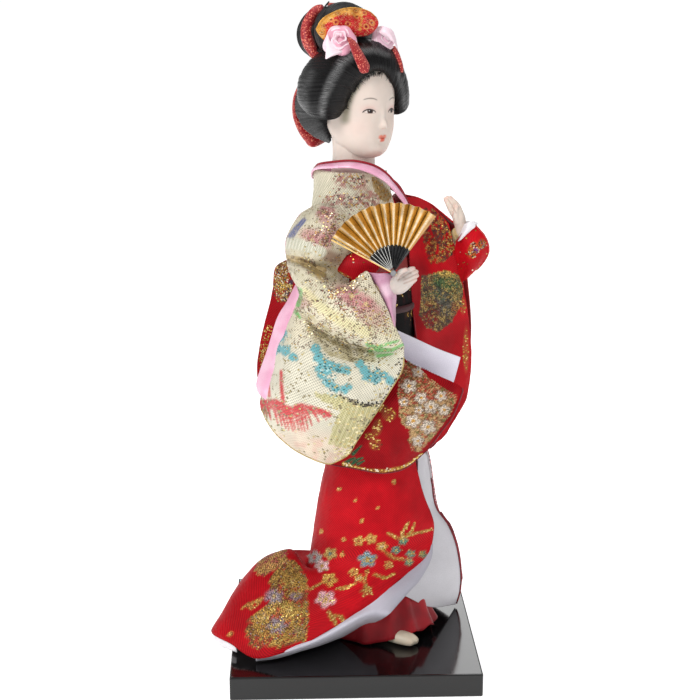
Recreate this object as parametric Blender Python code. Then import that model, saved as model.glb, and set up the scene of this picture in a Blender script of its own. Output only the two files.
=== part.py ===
"""Standing geisha doll on a square black board, about 30 cm tall.

Frame: +Z up, origin at the centre of the board's underside. The viewer of the
reference picture stands on the -Y side. Lengths below are millimetres; the
meshes are made in metres.
"""
import math

import bmesh
import bpy
import numpy as np
from mathutils import Vector

# ---------------------------------------------------------------- driving dimensions
BOARD_W = 112.0          # square board
BOARD_T = 11.0
BOARD_EDGE = 0.7
FLOOR = BOARD_T + 0.35   # lowest that anything standing on the board may reach
ROD_XY = (12.5, 0.5)
ROD_R = 1.3
ROD_HOLE_R = 1.65
HEM_ROWS = 11            # net row at which the skirt's lining starts
CLOTH = 0.9              # outer cloth, with its stiffening
LINING = 0.7
GAP = 0.35               # left between touching pieces
HEAD_TURN = 40.0         # which way the face looks, degrees from -Y towards +X
BODY_TURN = 57.0
FAN_PIVOT = (15.2, -49.5, 190.4)
FAN_R = (1.7, 12.4, 30.6)   # pivot clearance, end of the bare ribs, rim
FAN_SPREAD = (55.0, 151.5)  # degrees from +X towards +Z
FAN_PLEATS = 12

# Outlines are measured as points of the reference picture (700 units square) at a
# chosen depth y, seen from this eye point.
EYE = (-24.03, -660.5, 311.9)
EYE_TURN, EYE_DIP, EYE_REACH = 0.0348, 0.2475, 1500.0
_fw = np.array([math.sin(EYE_TURN) * math.cos(EYE_DIP), math.cos(EYE_TURN) * math.cos(EYE_DIP), -math.sin(EYE_DIP)])
_rt = np.array([math.cos(EYE_TURN), -math.sin(EYE_TURN), 0.0])
_up = np.cross(_rt, _fw)


def sight(px, py, y):
    """Where the line of sight through picture point (px, py) meets the plane at depth y, in mm."""
    d = _fw + _rt * (px - 350) / EYE_REACH - _up * (py - 350) / EYE_REACH
    return np.array(EYE) + d * ((y - EYE[1]) / d[1])


def turned(deg):
    """(forward, left) unit vectors of something that faces deg degrees from -Y towards +X."""
    a = math.radians(deg)
    f = np.array([math.sin(a), -math.cos(a), 0.0])
    return f, np.array([-f[1], f[0], 0.0])


HF, HL = turned(HEAD_TURN)
BF, BL = turned(BODY_TURN)
UP = np.array([0.0, 0.0, 1.0])

for old in list(bpy.data.objects):
    bpy.data.objects.remove(old)

FIRST_SHAPES = {}        # each object's closed shapes as first made, for cutting clearances

MATERIALS = {
    "lacquer": ((0.02, 0.02, 0.022), 0.15, 0.0), "steel": ((0.5, 0.5, 0.5), 0.4, 1.0),
    "straw": ((0.62, 0.52, 0.34), 0.9, 0.0), "skin": ((0.86, 0.78, 0.72), 0.4, 0.0),
    "hair": ((0.02, 0.02, 0.022), 0.35, 0.0), "red_brocade": ((0.62, 0.02, 0.03), 0.6, 0.0),
    "cream_brocade": ((0.74, 0.68, 0.5), 0.6, 0.0), "white_silk": ((0.76, 0.76, 0.84), 0.6, 0.0),
    "pink_satin": ((0.85, 0.42, 0.55), 0.35, 0.0), "gold_brocade": ((0.6, 0.36, 0.1), 0.45, 0.0),
    "gold_paper": ((0.8, 0.62, 0.33), 0.35, 0.0), "black_rib": ((0.02, 0.02, 0.02), 0.35, 0.0),
    "dark_red_silk": ((0.45, 0.01, 0.02), 0.5, 0.0), "rose_satin": ((0.84, 0.3, 0.42), 0.4, 0.0),
}


def material(name):
    m = bpy.data.materials.get(name)
    if m is None:
        colour, rough, metal = MATERIALS[name]
        m = bpy.data.materials.new(name)
        m.use_nodes = True
        b = m.node_tree.nodes["Principled BSDF"]
        b.inputs["Base Color"].default_value = (*colour, 1)
        b.inputs["Roughness"].default_value = rough
        b.inputs["Metallic"].default_value = metal
    return m


def keep(name, verts, faces, mat):
    """An object from points in mm, its normals made to point out."""
    mesh = bpy.data.meshes.new(name)
    mesh.from_pydata([tuple(np.asarray(v, float) / 1000.0) for v in verts], [], faces)
    bm = bmesh.new()
    bm.from_mesh(mesh)
    bmesh.ops.recalc_face_normals(bm, faces=bm.faces)
    if bm.calc_volume(signed=True) < 0:
        bmesh.ops.reverse_faces(bm, faces=bm.faces)
    bm.to_mesh(mesh)
    bm.free()
    obj = bpy.data.objects.new(name, mesh)
    bpy.context.scene.collection.objects.link(obj)
    mesh.materials.append(material(mat))
    mesh.shade_smooth()
    mesh.set_sharp_from_angle(angle=math.radians(40))
    FIRST_SHAPES[name] = [mesh.copy()]
    return obj


def ways(p, n):
    """n points on a Catmull-Rom curve through p, along the first axis of the array."""
    p = np.asarray(p, float)
    k = len(p)
    if k == 2:
        t = np.linspace(0, 1, n).reshape((-1,) + (1,) * (p.ndim - 1))
        return p[0] * (1 - t) + p[1] * t
    ext = np.concatenate([[2 * p[0] - p[1]], p, [2 * p[-1] - p[-2]]])
    t = np.linspace(0, k - 1, n)
    i = np.minimum(t.astype(int), k - 2)
    f = (t - i).reshape((-1,) + (1,) * (p.ndim - 1))
    a, b, c, d = ext[i], ext[i + 1], ext[i + 2], ext[i + 3]
    return 0.5 * (2 * b + (c - a) * f + (2 * a - 5 * b + 4 * c - d) * f ** 2 + (3 * b - a - 3 * c + d) * f ** 3)


def net(rows, nu, nv):
    """A control net of picture points (px, py, y), or of 'w' points in mm, refined to nv x nu points."""
    pts = [[sight(*c) if len(c) == 3 else np.array(c[1:], float) for c in r] for r in rows]
    return np.swapaxes(ways(np.swapaxes(ways(pts, nv), 0, 1), nu), 0, 1)


def normals(g):
    du = np.gradient(g, axis=1)
    dv = np.gradient(g, axis=0)
    n = np.cross(du, dv)
    return n / np.maximum(np.linalg.norm(n, axis=2, keepdims=True), 1e-9)


def cloth(name, g, start, thick, mat, away=None, mix=0.5, cells=None):
    """A closed sheet: from `start` mm behind the net g to `start + thick`. Behind is where `away` points.
    `cells` leaves out the cells of the net where it is False."""
    n = normals(g)
    if away is not None:
        away = np.asarray(away, float)
        if (n @ away).sum() < 0:
            n = -n
        n = n * (1 - mix) + away * mix
        n /= np.linalg.norm(n, axis=2, keepdims=True)
    a, b = g + n * start, g + n * (start + thick)
    nv, nu = g.shape[:2]
    if cells is None:
        cells = np.ones((nv - 1, nu - 1), bool)
    quads = [(i * nu + j, i * nu + j + 1, (i + 1) * nu + j + 1, (i + 1) * nu + j)
             for i in range(nv - 1) for j in range(nu - 1) if cells[i, j]]
    used = sorted({p for q in quads for p in q})
    number = {p: k for k, p in enumerate(used)}
    quads = [tuple(number[p] for p in q) for q in quads]
    off = len(used)
    edges = {(q[k], q[(k + 1) % 4]) for q in quads for k in range(4)}
    faces = quads + [tuple(off + p for p in q[::-1]) for q in quads]
    faces += [(q, p, off + p, off + q) for p, q in sorted(edges) if (q, p) not in edges]
    verts = list(a.reshape(-1, 3)[used]) + list(b.reshape(-1, 3)[used])
    return keep(name, verts, faces, mat)


def loft(name, rings, mat):
    """A closed solid through rings of equally many points, its two ends filled."""
    n = len(rings[0])
    verts = [p for r in rings for p in r]
    faces = [tuple(range(n)), tuple(range((len(rings) - 1) * n, len(rings) * n))[::-1]]
    for k in range(len(rings) - 1):
        for j in range(n):
            a, b = k * n + j, k * n + (j + 1) % n
            faces.append((a, b, b + n, a + n))
    return keep(name, verts, faces, mat)


def oval(c, u, v, a, b, n=20):
    c, u, v = (np.asarray(x, float) for x in (c, u, v))
    return [c + u * a * math.cos(2 * math.pi * k / n) + v * b * math.sin(2 * math.pi * k / n) for k in range(n)]


def tube(name, path, radii, mat, n=8, flat=1.0, side=None, steps=None):
    """A round (or flattened) bar along a smooth curve through path."""
    pts = ways(path, steps or 2 * len(path))
    rr = ways(np.asarray(radii, float).reshape(-1, 1), len(pts))[:, 0]
    tan = np.gradient(pts, axis=0)
    tan /= np.linalg.norm(tan, axis=1, keepdims=True)
    ref = np.asarray(side if side is not None else (0.31, 0.17, 0.93), float)
    rings = []
    for p, t, r in zip(pts, tan, rr):
        s = ref - t * (ref @ t)
        s /= np.linalg.norm(s)
        rings.append(oval(p, s, np.cross(t, s), r, r * flat, n))
    return loft(name, rings, mat)


def ball(name, c, axes, radii, mat, n=14, m=8):
    c = np.asarray(c, float)
    a, b, d = (np.asarray(x, float) for x in axes)
    rings = []
    for k in range(1, m):
        t = math.pi * k / m
        rings.append(oval(c - d * radii[2] * math.cos(t), a, b, radii[0] * math.sin(t), radii[1] * math.sin(t), n))
    return loft(name, rings, mat)


def shell(name, rings, thick, mat):
    """A tube wall: rings are (centre, u, v, a, b); its wall lies inside them."""
    n = 24
    outer = [p for c, u, v, a, b in rings for p in oval(c, u, v, a, b, n)]
    inner = [p for c, u, v, a, b in rings for p in oval(c, u, v, a - thick, b - thick, n)]
    off = len(outer)
    faces = []
    for k in range(len(rings) - 1):
        for j in range(n):
            a, b = k * n + j, k * n + (j + 1) % n
            faces.append((a, b, b + n, a + n))
            faces.append((off + a, off + a + n, off + b + n, off + b))
    last = (len(rings) - 1) * n
    for j in range(n):
        a, b = j, (j + 1) % n
        faces.append((b, a, off + a, off + b))
        faces.append((last + a, last + b, off + last + b, off + last + a))
    return keep(name, outer + inner, faces, mat)


def plate(name, outline, direction, thick, mat):
    """A flat outline (points in mm) pushed along direction, with both sides closed."""
    d = np.asarray(direction, float)
    d = d / np.linalg.norm(d) * thick
    n = len(outline)
    verts = [np.asarray(p, float) for p in outline] + [np.asarray(p, float) + d for p in outline]
    faces = [tuple(range(n)), tuple(range(n, 2 * n))[::-1]] + \
            [(j, (j + 1) % n, (j + 1) % n + n, j + n) for j in range(n)]
    return keep(name, verts, faces, mat)


def settled(obj):
    """The object's modifiers made real, keeping its largest closed body."""
    bpy.context.view_layer.update()
    dg = bpy.context.evaluated_depsgraph_get()
    made = bpy.data.meshes.new_from_object(obj.evaluated_get(dg))
    obj.modifiers.clear()
    obj.data = made
    bm = bmesh.new()
    bm.from_mesh(made)
    bmesh.ops.dissolve_degenerate(bm, dist=2e-6, edges=bm.edges)
    seen, groups = set(), []
    for f in bm.faces:
        if f in seen:
            continue
        stack, group = [f], []
        seen.add(f)
        while stack:
            g = stack.pop()
            group.append(g)
            for e in g.edges:
                if len(e.link_faces) == 2:
                    for o in e.link_faces:
                        if o not in seen:
                            seen.add(o)
                            stack.append(o)
        groups.append(group)
    if len(groups) > 1:
        def volume(group):
            t = 0.0
            for f in group:
                vs = [v.co for v in f.verts]
                for k in range(1, len(vs) - 1):
                    t += vs[0].dot(vs[k].cross(vs[k + 1])) / 6
            return t
        kept = set(max(groups, key=volume))
        bmesh.ops.delete(bm, geom=[f for f in bm.faces if f not in kept], context="FACES")
    bm.to_mesh(made)
    bm.free()
    return obj


def boolean(obj, other, how, self_too=False):
    m = obj.modifiers.new(how, "BOOLEAN")
    m.operation = how
    m.solver = "EXACT"
    m.use_self = self_too
    m.object = other
    return settled(obj)


def grown(shape, by):
    """An object of a closed shape with every face moved out by `by` mm."""
    mesh = shape.copy()
    bm = bmesh.new()
    bm.from_mesh(mesh)
    bm.normal_update()
    moves = [v.normal * (by / 1000.0) * min(v.calc_shell_factor(), 1.8) for v in bm.verts]
    for v, d in zip(bm.verts, moves):
        v.co += d
    bm.to_mesh(mesh)
    bm.free()
    made = bpy.data.objects.new("clearance", mesh)
    bpy.context.scene.collection.objects.link(made)
    return made


def box_of(obj):
    c = np.array([v.co for v in obj.data.vertices])
    return c.min(0), c.max(0)


def clear_of(obj, others, gap=GAP, finished=False):
    """Cuts obj back so that it stays gap mm clear of each of the others that it could touch."""
    for other in others:
        (alo, ahi), (blo, bhi) = box_of(obj), box_of(other)
        if (alo > bhi + 0.0005).any() or (blo > ahi + 0.0005).any():
            continue
        for shape in [other.data] if finished else FIRST_SHAPES[other.name]:
            cutter = grown(shape, gap)
            boolean(obj, cutter, "DIFFERENCE")
            bpy.data.objects.remove(cutter)
    return obj


def joined(obj, *others):
    for other in others:
        boolean(obj, other, "UNION")
        FIRST_SHAPES[obj.name] += FIRST_SHAPES.pop(other.name)
        bpy.data.objects.remove(other)
    return obj


def picture_path(*points):
    return [sight(*p) for p in points]


# ---------------------------------------------------------------- board, rod and body
board = plate("base_board", [(-BOARD_W / 2, -BOARD_W / 2, 0), (BOARD_W / 2, -BOARD_W / 2, 0),
                             (BOARD_W / 2, BOARD_W / 2, 0), (-BOARD_W / 2, BOARD_W / 2, 0)], UP, BOARD_T, "lacquer")
bevel = board.modifiers.new("edge", "BEVEL")
bevel.width, bevel.segments, bevel.limit_method = BOARD_EDGE / 1000, 2, "ANGLE"
settled(board)
hole = tube("hole", [(*ROD_XY, 3.0), (*ROD_XY, 30.0)], [ROD_HOLE_R] * 2, "steel", n=12, side=(1, 0, 0), steps=2)
boolean(board, hole, "DIFFERENCE")
bpy.data.objects.remove(hole)

rod = tube("support_rod", [(*ROD_XY, 3.4), (*ROD_XY, 84.0)], [ROD_R] * 2, "steel", n=12, side=(1, 0, 0), steps=2)

core = loft("body_core", [oval((x, y, z), BL, BF, a, b) for z, x, y, a, b in (
    (62, 13, 5, 14.5, 12.5), (90, 12, 5, 15.5, 13.5), (120, 11, 4, 15, 12.5), (150, 10, 3, 14, 11.5),
    (175, 7, 3, 15.5, 11.5), (195, 4, 4, 18, 10.5), (207, 2, 5, 16, 9), (215, 1, 5, 9, 7.5), (221, 0.5, 4, 7, 6.5))], "straw")
clear_of(core, [rod])

# ---------------------------------------------------------------- head and neck, one casting
head = ball("head_and_neck", (1.5, 0.5, 257), (HL, HF, UP), (15.5, 17.5, 23.5), "skin", 20, 12)
neck = loft("neck", [oval((0.5, 3, z), HL, HF, r, r) for z, r in ((221.5, 10.2), (226, 9.6), (234, 9.3), (246, 9.0))], "skin")
joined(head, neck)

# ---------------------------------------------------------------- feet with their shins
def foot(name, heel, toe, shin):
    heel, toe = np.array(heel, float), np.array(toe, float)
    d = (toe - heel) / np.linalg.norm(toe - heel)
    s = np.cross(UP, d)
    sections = []
    for t, w, h in ((0, 1.6, 2.0), (0.06, 3.2, 3.6), (0.3, 4.1, 4.6), (0.6, 4.7, 3.9), (0.82, 4.2, 2.9), (0.96, 2.6, 2.0), (1.0, 1.2, 1.0)):
        c = heel + (toe - heel) * t
        sections.append(oval((c[0], c[1], FLOOR + h), s, UP, w, h, 10))
    body = loft(name, sections, "skin")
    return joined(body, tube("shin", shin, [3.6, 3.6, 4.4, 4.6], "skin", n=8, side=(1, 0, 0)))


foot_r = foot("foot_right", (5.5, -20.5), (28.7, -27.6), [(10.5, -22, 15), (10.6, -21, 22), (10.5, -12, 42), (10.5, -6, 58)])
foot_l = foot("foot_left", (1.0, 7.6), (22.5, 8.4), [(6.0, 7.8, 15), (6.0, 8.0, 22), (6.5, 9.0, 42), (7.0, 10.5, 59)])

# ---------------------------------------------------------------- arms and hands
arm_r = tube("arm_right", [(1, -19, 203), (-12, -24.5, 192), (-19, -28, 179), (-6, -35, 176.5), (11, -41.5, 183)],
             [4.6, 4.5, 4.3, 3.7, 2.9], "straw", n=10, steps=11)
clear_of(arm_r, [core])
arm_l = tube("arm_left", [(17, 22, 201), (28, 22.5, 197), (40, 16.5, 192), (46, 9.5, 194), (48, 5.6, 198)],
             [4.4, 4.2, 3.7, 3.1, 2.7], "straw", n=10, steps=10)
clear_of(arm_l, [core])

# right hand: a loose fist round the fan's pivot, its knuckles towards +X
hand_r = loft("hand_right", [oval(c, (0.25, 0, 1), (0, 1, 0), a, b, 12) for c, a, b in (
    ((13.0, -43.0, 183.6), 3.0, 2.2), ((16, -44, 184.6), 3.9, 2.6), ((19.5, -44.8, 185.6), 4.7, 2.9),
    ((23, -45.2, 186.4), 4.9, 2.7), ((25.4, -45.4, 186.8), 4.4, 2.2), ((27.0, -45.4, 187), 3.0, 1.4))], "skin")
clear_of(hand_r, [arm_r])
hand_l = loft("hand_left", [oval(c, BF, BL, a, b, 12) for c, a, b in (
    ((48.2, 5.0, 199.0), 2.5, 2.2), ((48.2, 4.6, 202.5), 3.0, 2.0), ((47.8, 4.2, 206), 3.6, 2.0),
    ((46.8, 4, 209.5), 3.4, 1.8), ((45.2, 4, 213), 2.7, 1.4), ((44.2, 4, 215), 1.6, 0.9))], "skin")
clear_of(hand_l, [arm_l])

# ---------------------------------------------------------------- folding fan
px, py_, pz = FAN_PIVOT


def fan_point(r, deg, y):
    a = math.radians(deg)
    return np.array([px + r * math.cos(a), py_ + y, pz + r * math.sin(a)])


def pleated(r0, r1, a0, a1, amp0, amp1):
    steps = 2 * FAN_PLEATS + 1
    g = np.zeros((2, steps, 3))
    for j in range(steps):
        w = -1.0 if j % 2 else 1.0
        g[0, j] = fan_point(r0, a0 + (a1 - a0) * j / (steps - 1), w * amp0)
        g[1, j] = fan_point(r1, a0 + (a1 - a0) * j / (steps - 1), w * amp1)
    return g


leaf = cloth("fan_leaf", pleated(FAN_R[1] + 0.35, FAN_R[2], *FAN_SPREAD, 0.35, 0.9), -0.2, 0.4, "gold_paper", (0, 1, 0), 1.0)
ribs = cloth("fan_ribs", pleated(FAN_R[0], FAN_R[1], FAN_SPREAD[0] + 1.5, FAN_SPREAD[1] - 2.5, 0.12, 0.35), -0.3, 0.6, "black_rib", (0, 1, 0), 1.0)
rivet = tube("fan_rivet", [(px, py_ - 1.3, pz), (px, py_ + 1.3, pz)], [1.2, 1.2], "steel", n=14, side=(1, 0, 0), steps=2)
for name, deg in (("fan_guard_right", FAN_SPREAD[0] - 1.6), ("fan_guard_left", FAN_SPREAD[1] + 1.6)):
    a = math.radians(deg)
    d, s = np.array([math.cos(a), 0, math.sin(a)]), np.array([-math.sin(a), 0, math.cos(a)])
    c = np.array(FAN_PIVOT)
    plate(name, [c + d * 2.2 - s * 0.45 + (0, -0.4, 0), c + d * 30.6 - s * 0.5 + (0, -0.4, 0),
                 c + d * 30.6 + s * 0.3 + (0, -0.4, 0), c + d * 2.2 + s * 0.25 + (0, -0.4, 0)], (0, 1, 0), 0.8, "black_rib")
guard_r, guard_l = bpy.data.objects["fan_guard_right"], bpy.data.objects["fan_guard_left"]
clear_of(ribs, [guard_r, guard_l, rivet])
clear_of(leaf, [guard_r, guard_l])
clear_of(hand_r, [leaf, ribs, rivet, guard_r, guard_l])

# ---------------------------------------------------------------- underskirt
under = shell("underskirt", [((x, y, z), (1, 0, 0), (0, 1, 0), a, b) for z, x, y, a, b in (
    (88, 12, 5, 18.4, 17.4), (66, 12, 4, 18.2, 16.8), (48, 12.5, 2, 19.5, 17), (32, 13, -2, 22, 18.5),
    (20, 13.3, -4, 24.5, 20), (FLOOR + 0.3, 13.5, -5, 26, 20.8))], 1.0, "dark_red_silk")
clear_of(under, [foot_r, foot_l, core])

# ---------------------------------------------------------------- kimono skirt with its train
W = "w"
# one list per column, from the near front edge round by the left, the back and the right to the
# far front edge; down each column from the waist to the hem
SKIRT = [
    [(W, 27, -8, 150), (412, 440, -12), (416, 461, -13), (422, 488, -13), (432, 517, -12), (434, 534, -12), (428, 556, -17), (410, 578, -24), (387, 599, -31)],
    [(W, 20, -12, 150), (396, 442, -18), (396, 465, -20), (398, 495, -22), (402, 525, -23), (400, 545, -24), (392, 567, -28), (378, 590, -33), (362, 613, -37)],
    [(W, 11, -14, 150), (376, 443, -20), (372, 468, -22), (370, 500, -24), (368, 530, -26), (364, 552, -28), (357, 575, -32), (346, 602, -38), (333, 628, -42)],
    [(W, 2, -12, 150), (355, 443, -18), (348, 468, -19), (343, 500, -20), (339, 532, -22), (334, 560, -24), (327, 580, -28), (312, 612, -38), (296, 648, -44.5)],
    [(W, -4, -8, 150), (339, 442, -13), (334, 467, -13), (327, 500, -13), (322, 533, -14), (318, 566, -16), (302, 572, -22), (284, 610, -36), (257, 658.5, -44)],
    [(W, -8, 0, 150), (331, 441, -4), (326, 465, -4), (319, 500, -3), (313, 537, -3), (306, 572, -4), (290, 549, -6), (262, 592, -26), (231, 644, -34)],
    [(W, -8, 8, 150), (W, -9, 8, 105), (W, -11, 9, 93), (W, -14, 10, 75), (W, -17, 11, 55), (W, -21, 12, 40), (268, 556, 0), (243, 582, -12), (211.5, 631, -18)],
    [(W, -3, 15, 150), (W, -4, 16, 105), (W, -5, 17, 93), (W, -7, 19, 75), (W, -10, 21, 55), (W, -15, 22, 40), (W, -34, 14, 42), (W, -50, 12, 28), (W, -58, 8, 13.5)],
    [(W, 5, 19, 150), (W, 5, 20, 105), (W, 4, 22, 93), (W, 3, 24, 75), (W, 1, 26, 55), (W, -3, 28, 40), (W, -14, 30, 32), (W, -27, 31, 22), (W, -34, 31, 13.5)],
    [(W, 14, 20, 150), (W, 15, 22, 105), (W, 16, 24, 93), (W, 17, 27, 75), (W, 16, 29, 55), (W, 14, 31, 40), (W, 8, 34, 30), (W, 2, 36, 21), (W, -2, 37, 13.5)],
    [(W, 22, 17, 150), (W, 25, 19, 105), (W, 27, 21, 93), (W, 30, 25, 75), (W, 33, 28, 55), (W, 34, 30, 40), (W, 33, 32, 30), (W, 32, 33, 21), (W, 31, 34, 13.5)],
    [(W, 28, 9, 150), (W, 32, 12, 105), (430, 455, 14), (438, 505, 16), (450, 525, 17), (457, 545, 18), (460, 565, 18), (461, 578, 18), (458, 590, 18)],
    [(W, 29, 2, 150), (W, 33, 3, 105), (428, 465, 2), (432, 500, 3), (436, 530, 4), (436, 550, 5), (434, 570, 6), (431, 588, 6), (425, 601, 6)],
]
skirt_net = net([list(r) for r in zip(*SKIRT)], 25, 15)
skirt_net[:, :, 2] = np.maximum(skirt_net[:, :, 2], FLOOR + 0.1)
inward = normals(skirt_net)
centre_line = np.array([12.0, 4.0, 0.0])
if ((centre_line - skirt_net) * inward)[:6].sum() < 0:
    skirt_net = skirt_net[:, ::-1]
skirt = cloth("skirt_outer", skirt_net, 0.0, CLOTH, "red_brocade")
# the white lining faces the hem and the two front edges
faced = np.zeros((skirt_net.shape[0] - 1, skirt_net.shape[1] - 1), bool)
faced[HEM_ROWS:], faced[:, :3], faced[:, -3:] = True, True, True
lining = cloth("skirt_lining", skirt_net, CLOTH + 0.4, LINING, "white_silk", cells=faced)
for piece in (skirt, lining):
    for mesh in [piece.data] + FIRST_SHAPES[piece.name]:
        for v in mesh.vertices:
            v.co.z = max(v.co.z, FLOOR / 1000)
clear_of(lining, [core, under, foot_r, foot_l])
clear_of(skirt, [core, under])
clear_of(lining, [skirt], 0.3)

# ---------------------------------------------------------------- bodice, robe and collars
bodice = shell("kimono_bodice", [((x, y, z), BF, BL, a, b) for z, x, y, a, b in (
    (183, 7.5, 3, 17.5, 18.5), (192, 6, 3, 17.5, 21.5), (200, 4, 3, 17.5, 24), (207, 2.5, 3, 17.5, 22.5),
    (213, 1.5, 3, 17.2, 17.5), (219, 0.7, 3, 16.4, 14.6), (224, 0, 3, 15.8, 13.6))], 1.1, "red_brocade")
clear_of(bodice, [core, head, arm_r, arm_l])

# the cream robe lies over the near half and the back
robe_rows = []
for z, x, y, a, b in ((184, 7.2, 3, 19.6, 20.6), (192, 6, 3, 19.6, 23.4), (200, 4, 3, 19.6, 26), (207, 2.5, 3, 19.4, 24.8),
                      (213, 1.5, 3, 19, 19.6), (219, 0.7, 3, 18.2, 16.6), (224.5, 0, 3, 17.6, 15.4)):
    row = []
    for k in range(9):
        t = math.radians(4 - 244 * k / 8)
        p = np.array([x, y, z]) + BF * a * math.cos(t) + BL * b * math.sin(t)
        row.append((W, *p))
    robe_rows.append(row)
robe_net = net(robe_rows, 15, 8)
n0 = normals(robe_net)
if ((np.array([3.0, 3.0, 200.0]) - robe_net) * n0).sum() < 0:
    robe_net = robe_net[:, ::-1]
robe = cloth("robe_bodice", robe_net, 0.0, 1.1, "cream_brocade")
clear_of(robe, [bodice, arm_r, arm_l])

COLLAR_RIM = [(W, 24.0, -7.0, 211.5), (W, 19.5, -11.0, 219.5), (W, 11.5, -13.6, 227.5), (W, 1.0, -14.0, 230.2), (W, -9, -10.5, 229.6),
              (W, -16.4, -1.0, 228.6), (W, -16.6, 10.0, 228.4), (W, -9.0, 17.5, 228.8), (W, 2, 18.6, 229.0), (W, 12, 13.6, 226.5),
              (W, 20, 5.0, 219.0), (W, 25.2, -1.0, 211.0)]
COLLAR_FOOT = [(W, 25.2, -9.5, 207), (W, 21.5, -14.6, 213.5), (W, 13.0, -17.4, 221.5), (W, 1.5, -18.0, 226.2), (W, -10.5, -13.4, 226.4),
               (W, -18.6, -2.0, 225.6), (W, -18.8, 11.5, 225.4), (W, -10.0, 20.0, 225.6), (W, 3, 21.4, 225.0), (W, 14.0, 16.8, 221.0),
               (W, 22.6, 7.2, 213.0), (W, 27.0, -1.5, 206)]
collar_net = net([COLLAR_RIM, COLLAR_FOOT], 25, 2)
n0 = normals(collar_net)
if ((np.array([1.0, 3.0, 215.0]) - collar_net) * n0).sum() < 0:
    collar_net = collar_net[:, ::-1]
collar = cloth("collar_pink", collar_net, 0.0, 0.8, "pink_satin")
piping_path = [np.array(p[1:]) + UP * 0.75 for p in COLLAR_RIM]
piping = tube("collar_piping", piping_path, [0.5] * len(piping_path), "dark_red_silk", n=6, steps=25)
clear_of(collar, [head, bodice, robe])
clear_of(piping, [collar, head], 0.3)

# ---------------------------------------------------------------- obi: sash, cord and bow at the back
sash = shell("obi_sash", [((x, y, z), BF, BL, a, b) for z, x, y, a, b in (
    (151.2, 10.4, 3, 17.6, 18.6), (160, 9.8, 3, 18.4, 19.4), (172, 8.6, 3, 18.4, 19.4), (182.4, 7.6, 3, 17.6, 18.8))], 2.2, "gold_brocade")
cord = shell("obi_cord", [((9.4, 3, z), BF, BL, a, a + 1.0) for z, a in ((164.6, 19.0), (165.4, 19.9), (167.0, 19.9), (167.8, 19.0))], 0.5, "dark_red_silk")
bow_c = np.array([9.0, 3.0, 168.0]) - BF * 26.5
bow = loft("obi_bow", [oval(bow_c + UP * z, BL, BF, a, b, 14) for z, a, b in (
    (-17, 9, 3.5), (-15, 13, 5.6), (-7, 14.5, 6.2), (0, 12.5, 5.6), (8, 14.5, 6.2), (15, 13, 5.4), (17, 9, 3.4))], "red_brocade")
clear_of(sash, [core, bodice, robe, arm_r])
clear_of(cord, [sash, robe, arm_r], 0.3)
clear_of(bow, [sash, cord, robe])

# ---------------------------------------------------------------- sleeves
CREAM = [
    [(312, 206, -4), (318, 204, -12), (326, 206, -18), (336, 209, -20), (346, 214, -20), (354, 222, -19), (358, 232, -18)],
    [(299, 215, -4), (306, 217, -18), (318, 220, -27), (331, 224, -30), (343, 229, -28), (352, 236, -24), (357, 244, -19)],
    [(287, 235, -6), (296, 238, -24), (310, 241, -33), (325, 243, -35), (339, 245, -32), (349, 249, -27), (355, 254, -20)],
    [(285, 250, -8), (294, 254, -26), (308, 257, -34), (322, 259, -35), (335, 260, -32), (345, 262, -26), (350, 264, -19)],
    [(287, 259, -10), (296, 261, -24), (308, 264, -29), (320, 269, -29), (331, 275, -29), (341, 281, -28), (350, 284, -26)],
    [(287, 264, -12), (295, 268, -30), (307, 273, -37), (320, 280, -41), (334, 287, -43), (350, 288, -44), (366, 271, -41)],
    [(288, 269, -14), (296, 276, -34), (309, 284, -42), (323, 290, -47), (339, 295, -49), (357, 292, -49), (374, 284, -45)],
    [(291, 277, -16), (299, 286, -36), (312, 297, -45), (328, 305, -50), (346, 312, -52), (365, 309, -51), (384, 302, -46)],
    [(295, 284, -17), (302, 296, -35), (314, 311, -44), (330, 324, -49), (349, 333, -51), (371, 334, -50), (394, 323, -45)],
    [(297, 289, -17), (302, 302, -33), (312, 319, -40), (329, 334, -43), (350, 343, -45), (376, 347, -46), (404, 345, -43)],
    [(298, 293, -16), (301, 308, -29), (311, 323, -33), (329, 336, -35), (351, 345, -37), (378, 350, -39), (404, 350, -41)],
    [(293, 303, -16), (298, 317, -31), (311, 331, -36), (330, 345, -38), (353, 354, -40), (380, 359, -41), (404, 358, -41)],
    [(284, 325, -18), (291, 339, -34), (307, 351, -40), (330, 363, -43), (354, 370, -44), (379, 374, -44), (401, 372, -41)],
    [(274, 352, -20), (284, 366, -36), (303, 378, -43), (327, 388, -46), (350, 394, -47), (371, 396, -45), (389, 393, -41)],
    [(265, 380, -21), (277, 394, -37), (299, 407, -44), (322, 416, -46), (343, 421, -46), (361, 420, -45), (376, 414, -41)],
    [(260, 397, -22), (274, 415, -35), (297, 429, -41), (318, 437, -43), (336, 441, -43), (351, 438, -42), (362, 433, -40)],
    [(261, 408, -24), (272, 429, -31), (292, 448, -35), (311, 459, -37), (329, 464, -38), (342, 459, -38), (350, 453, -38)],
]
cream_net = net(CREAM, 11, 24)
cream = cloth("sleeve_right_outer", cream_net, 0.0, 1.6, "cream_brocade", (0, 1, 0), 0.75)

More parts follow.
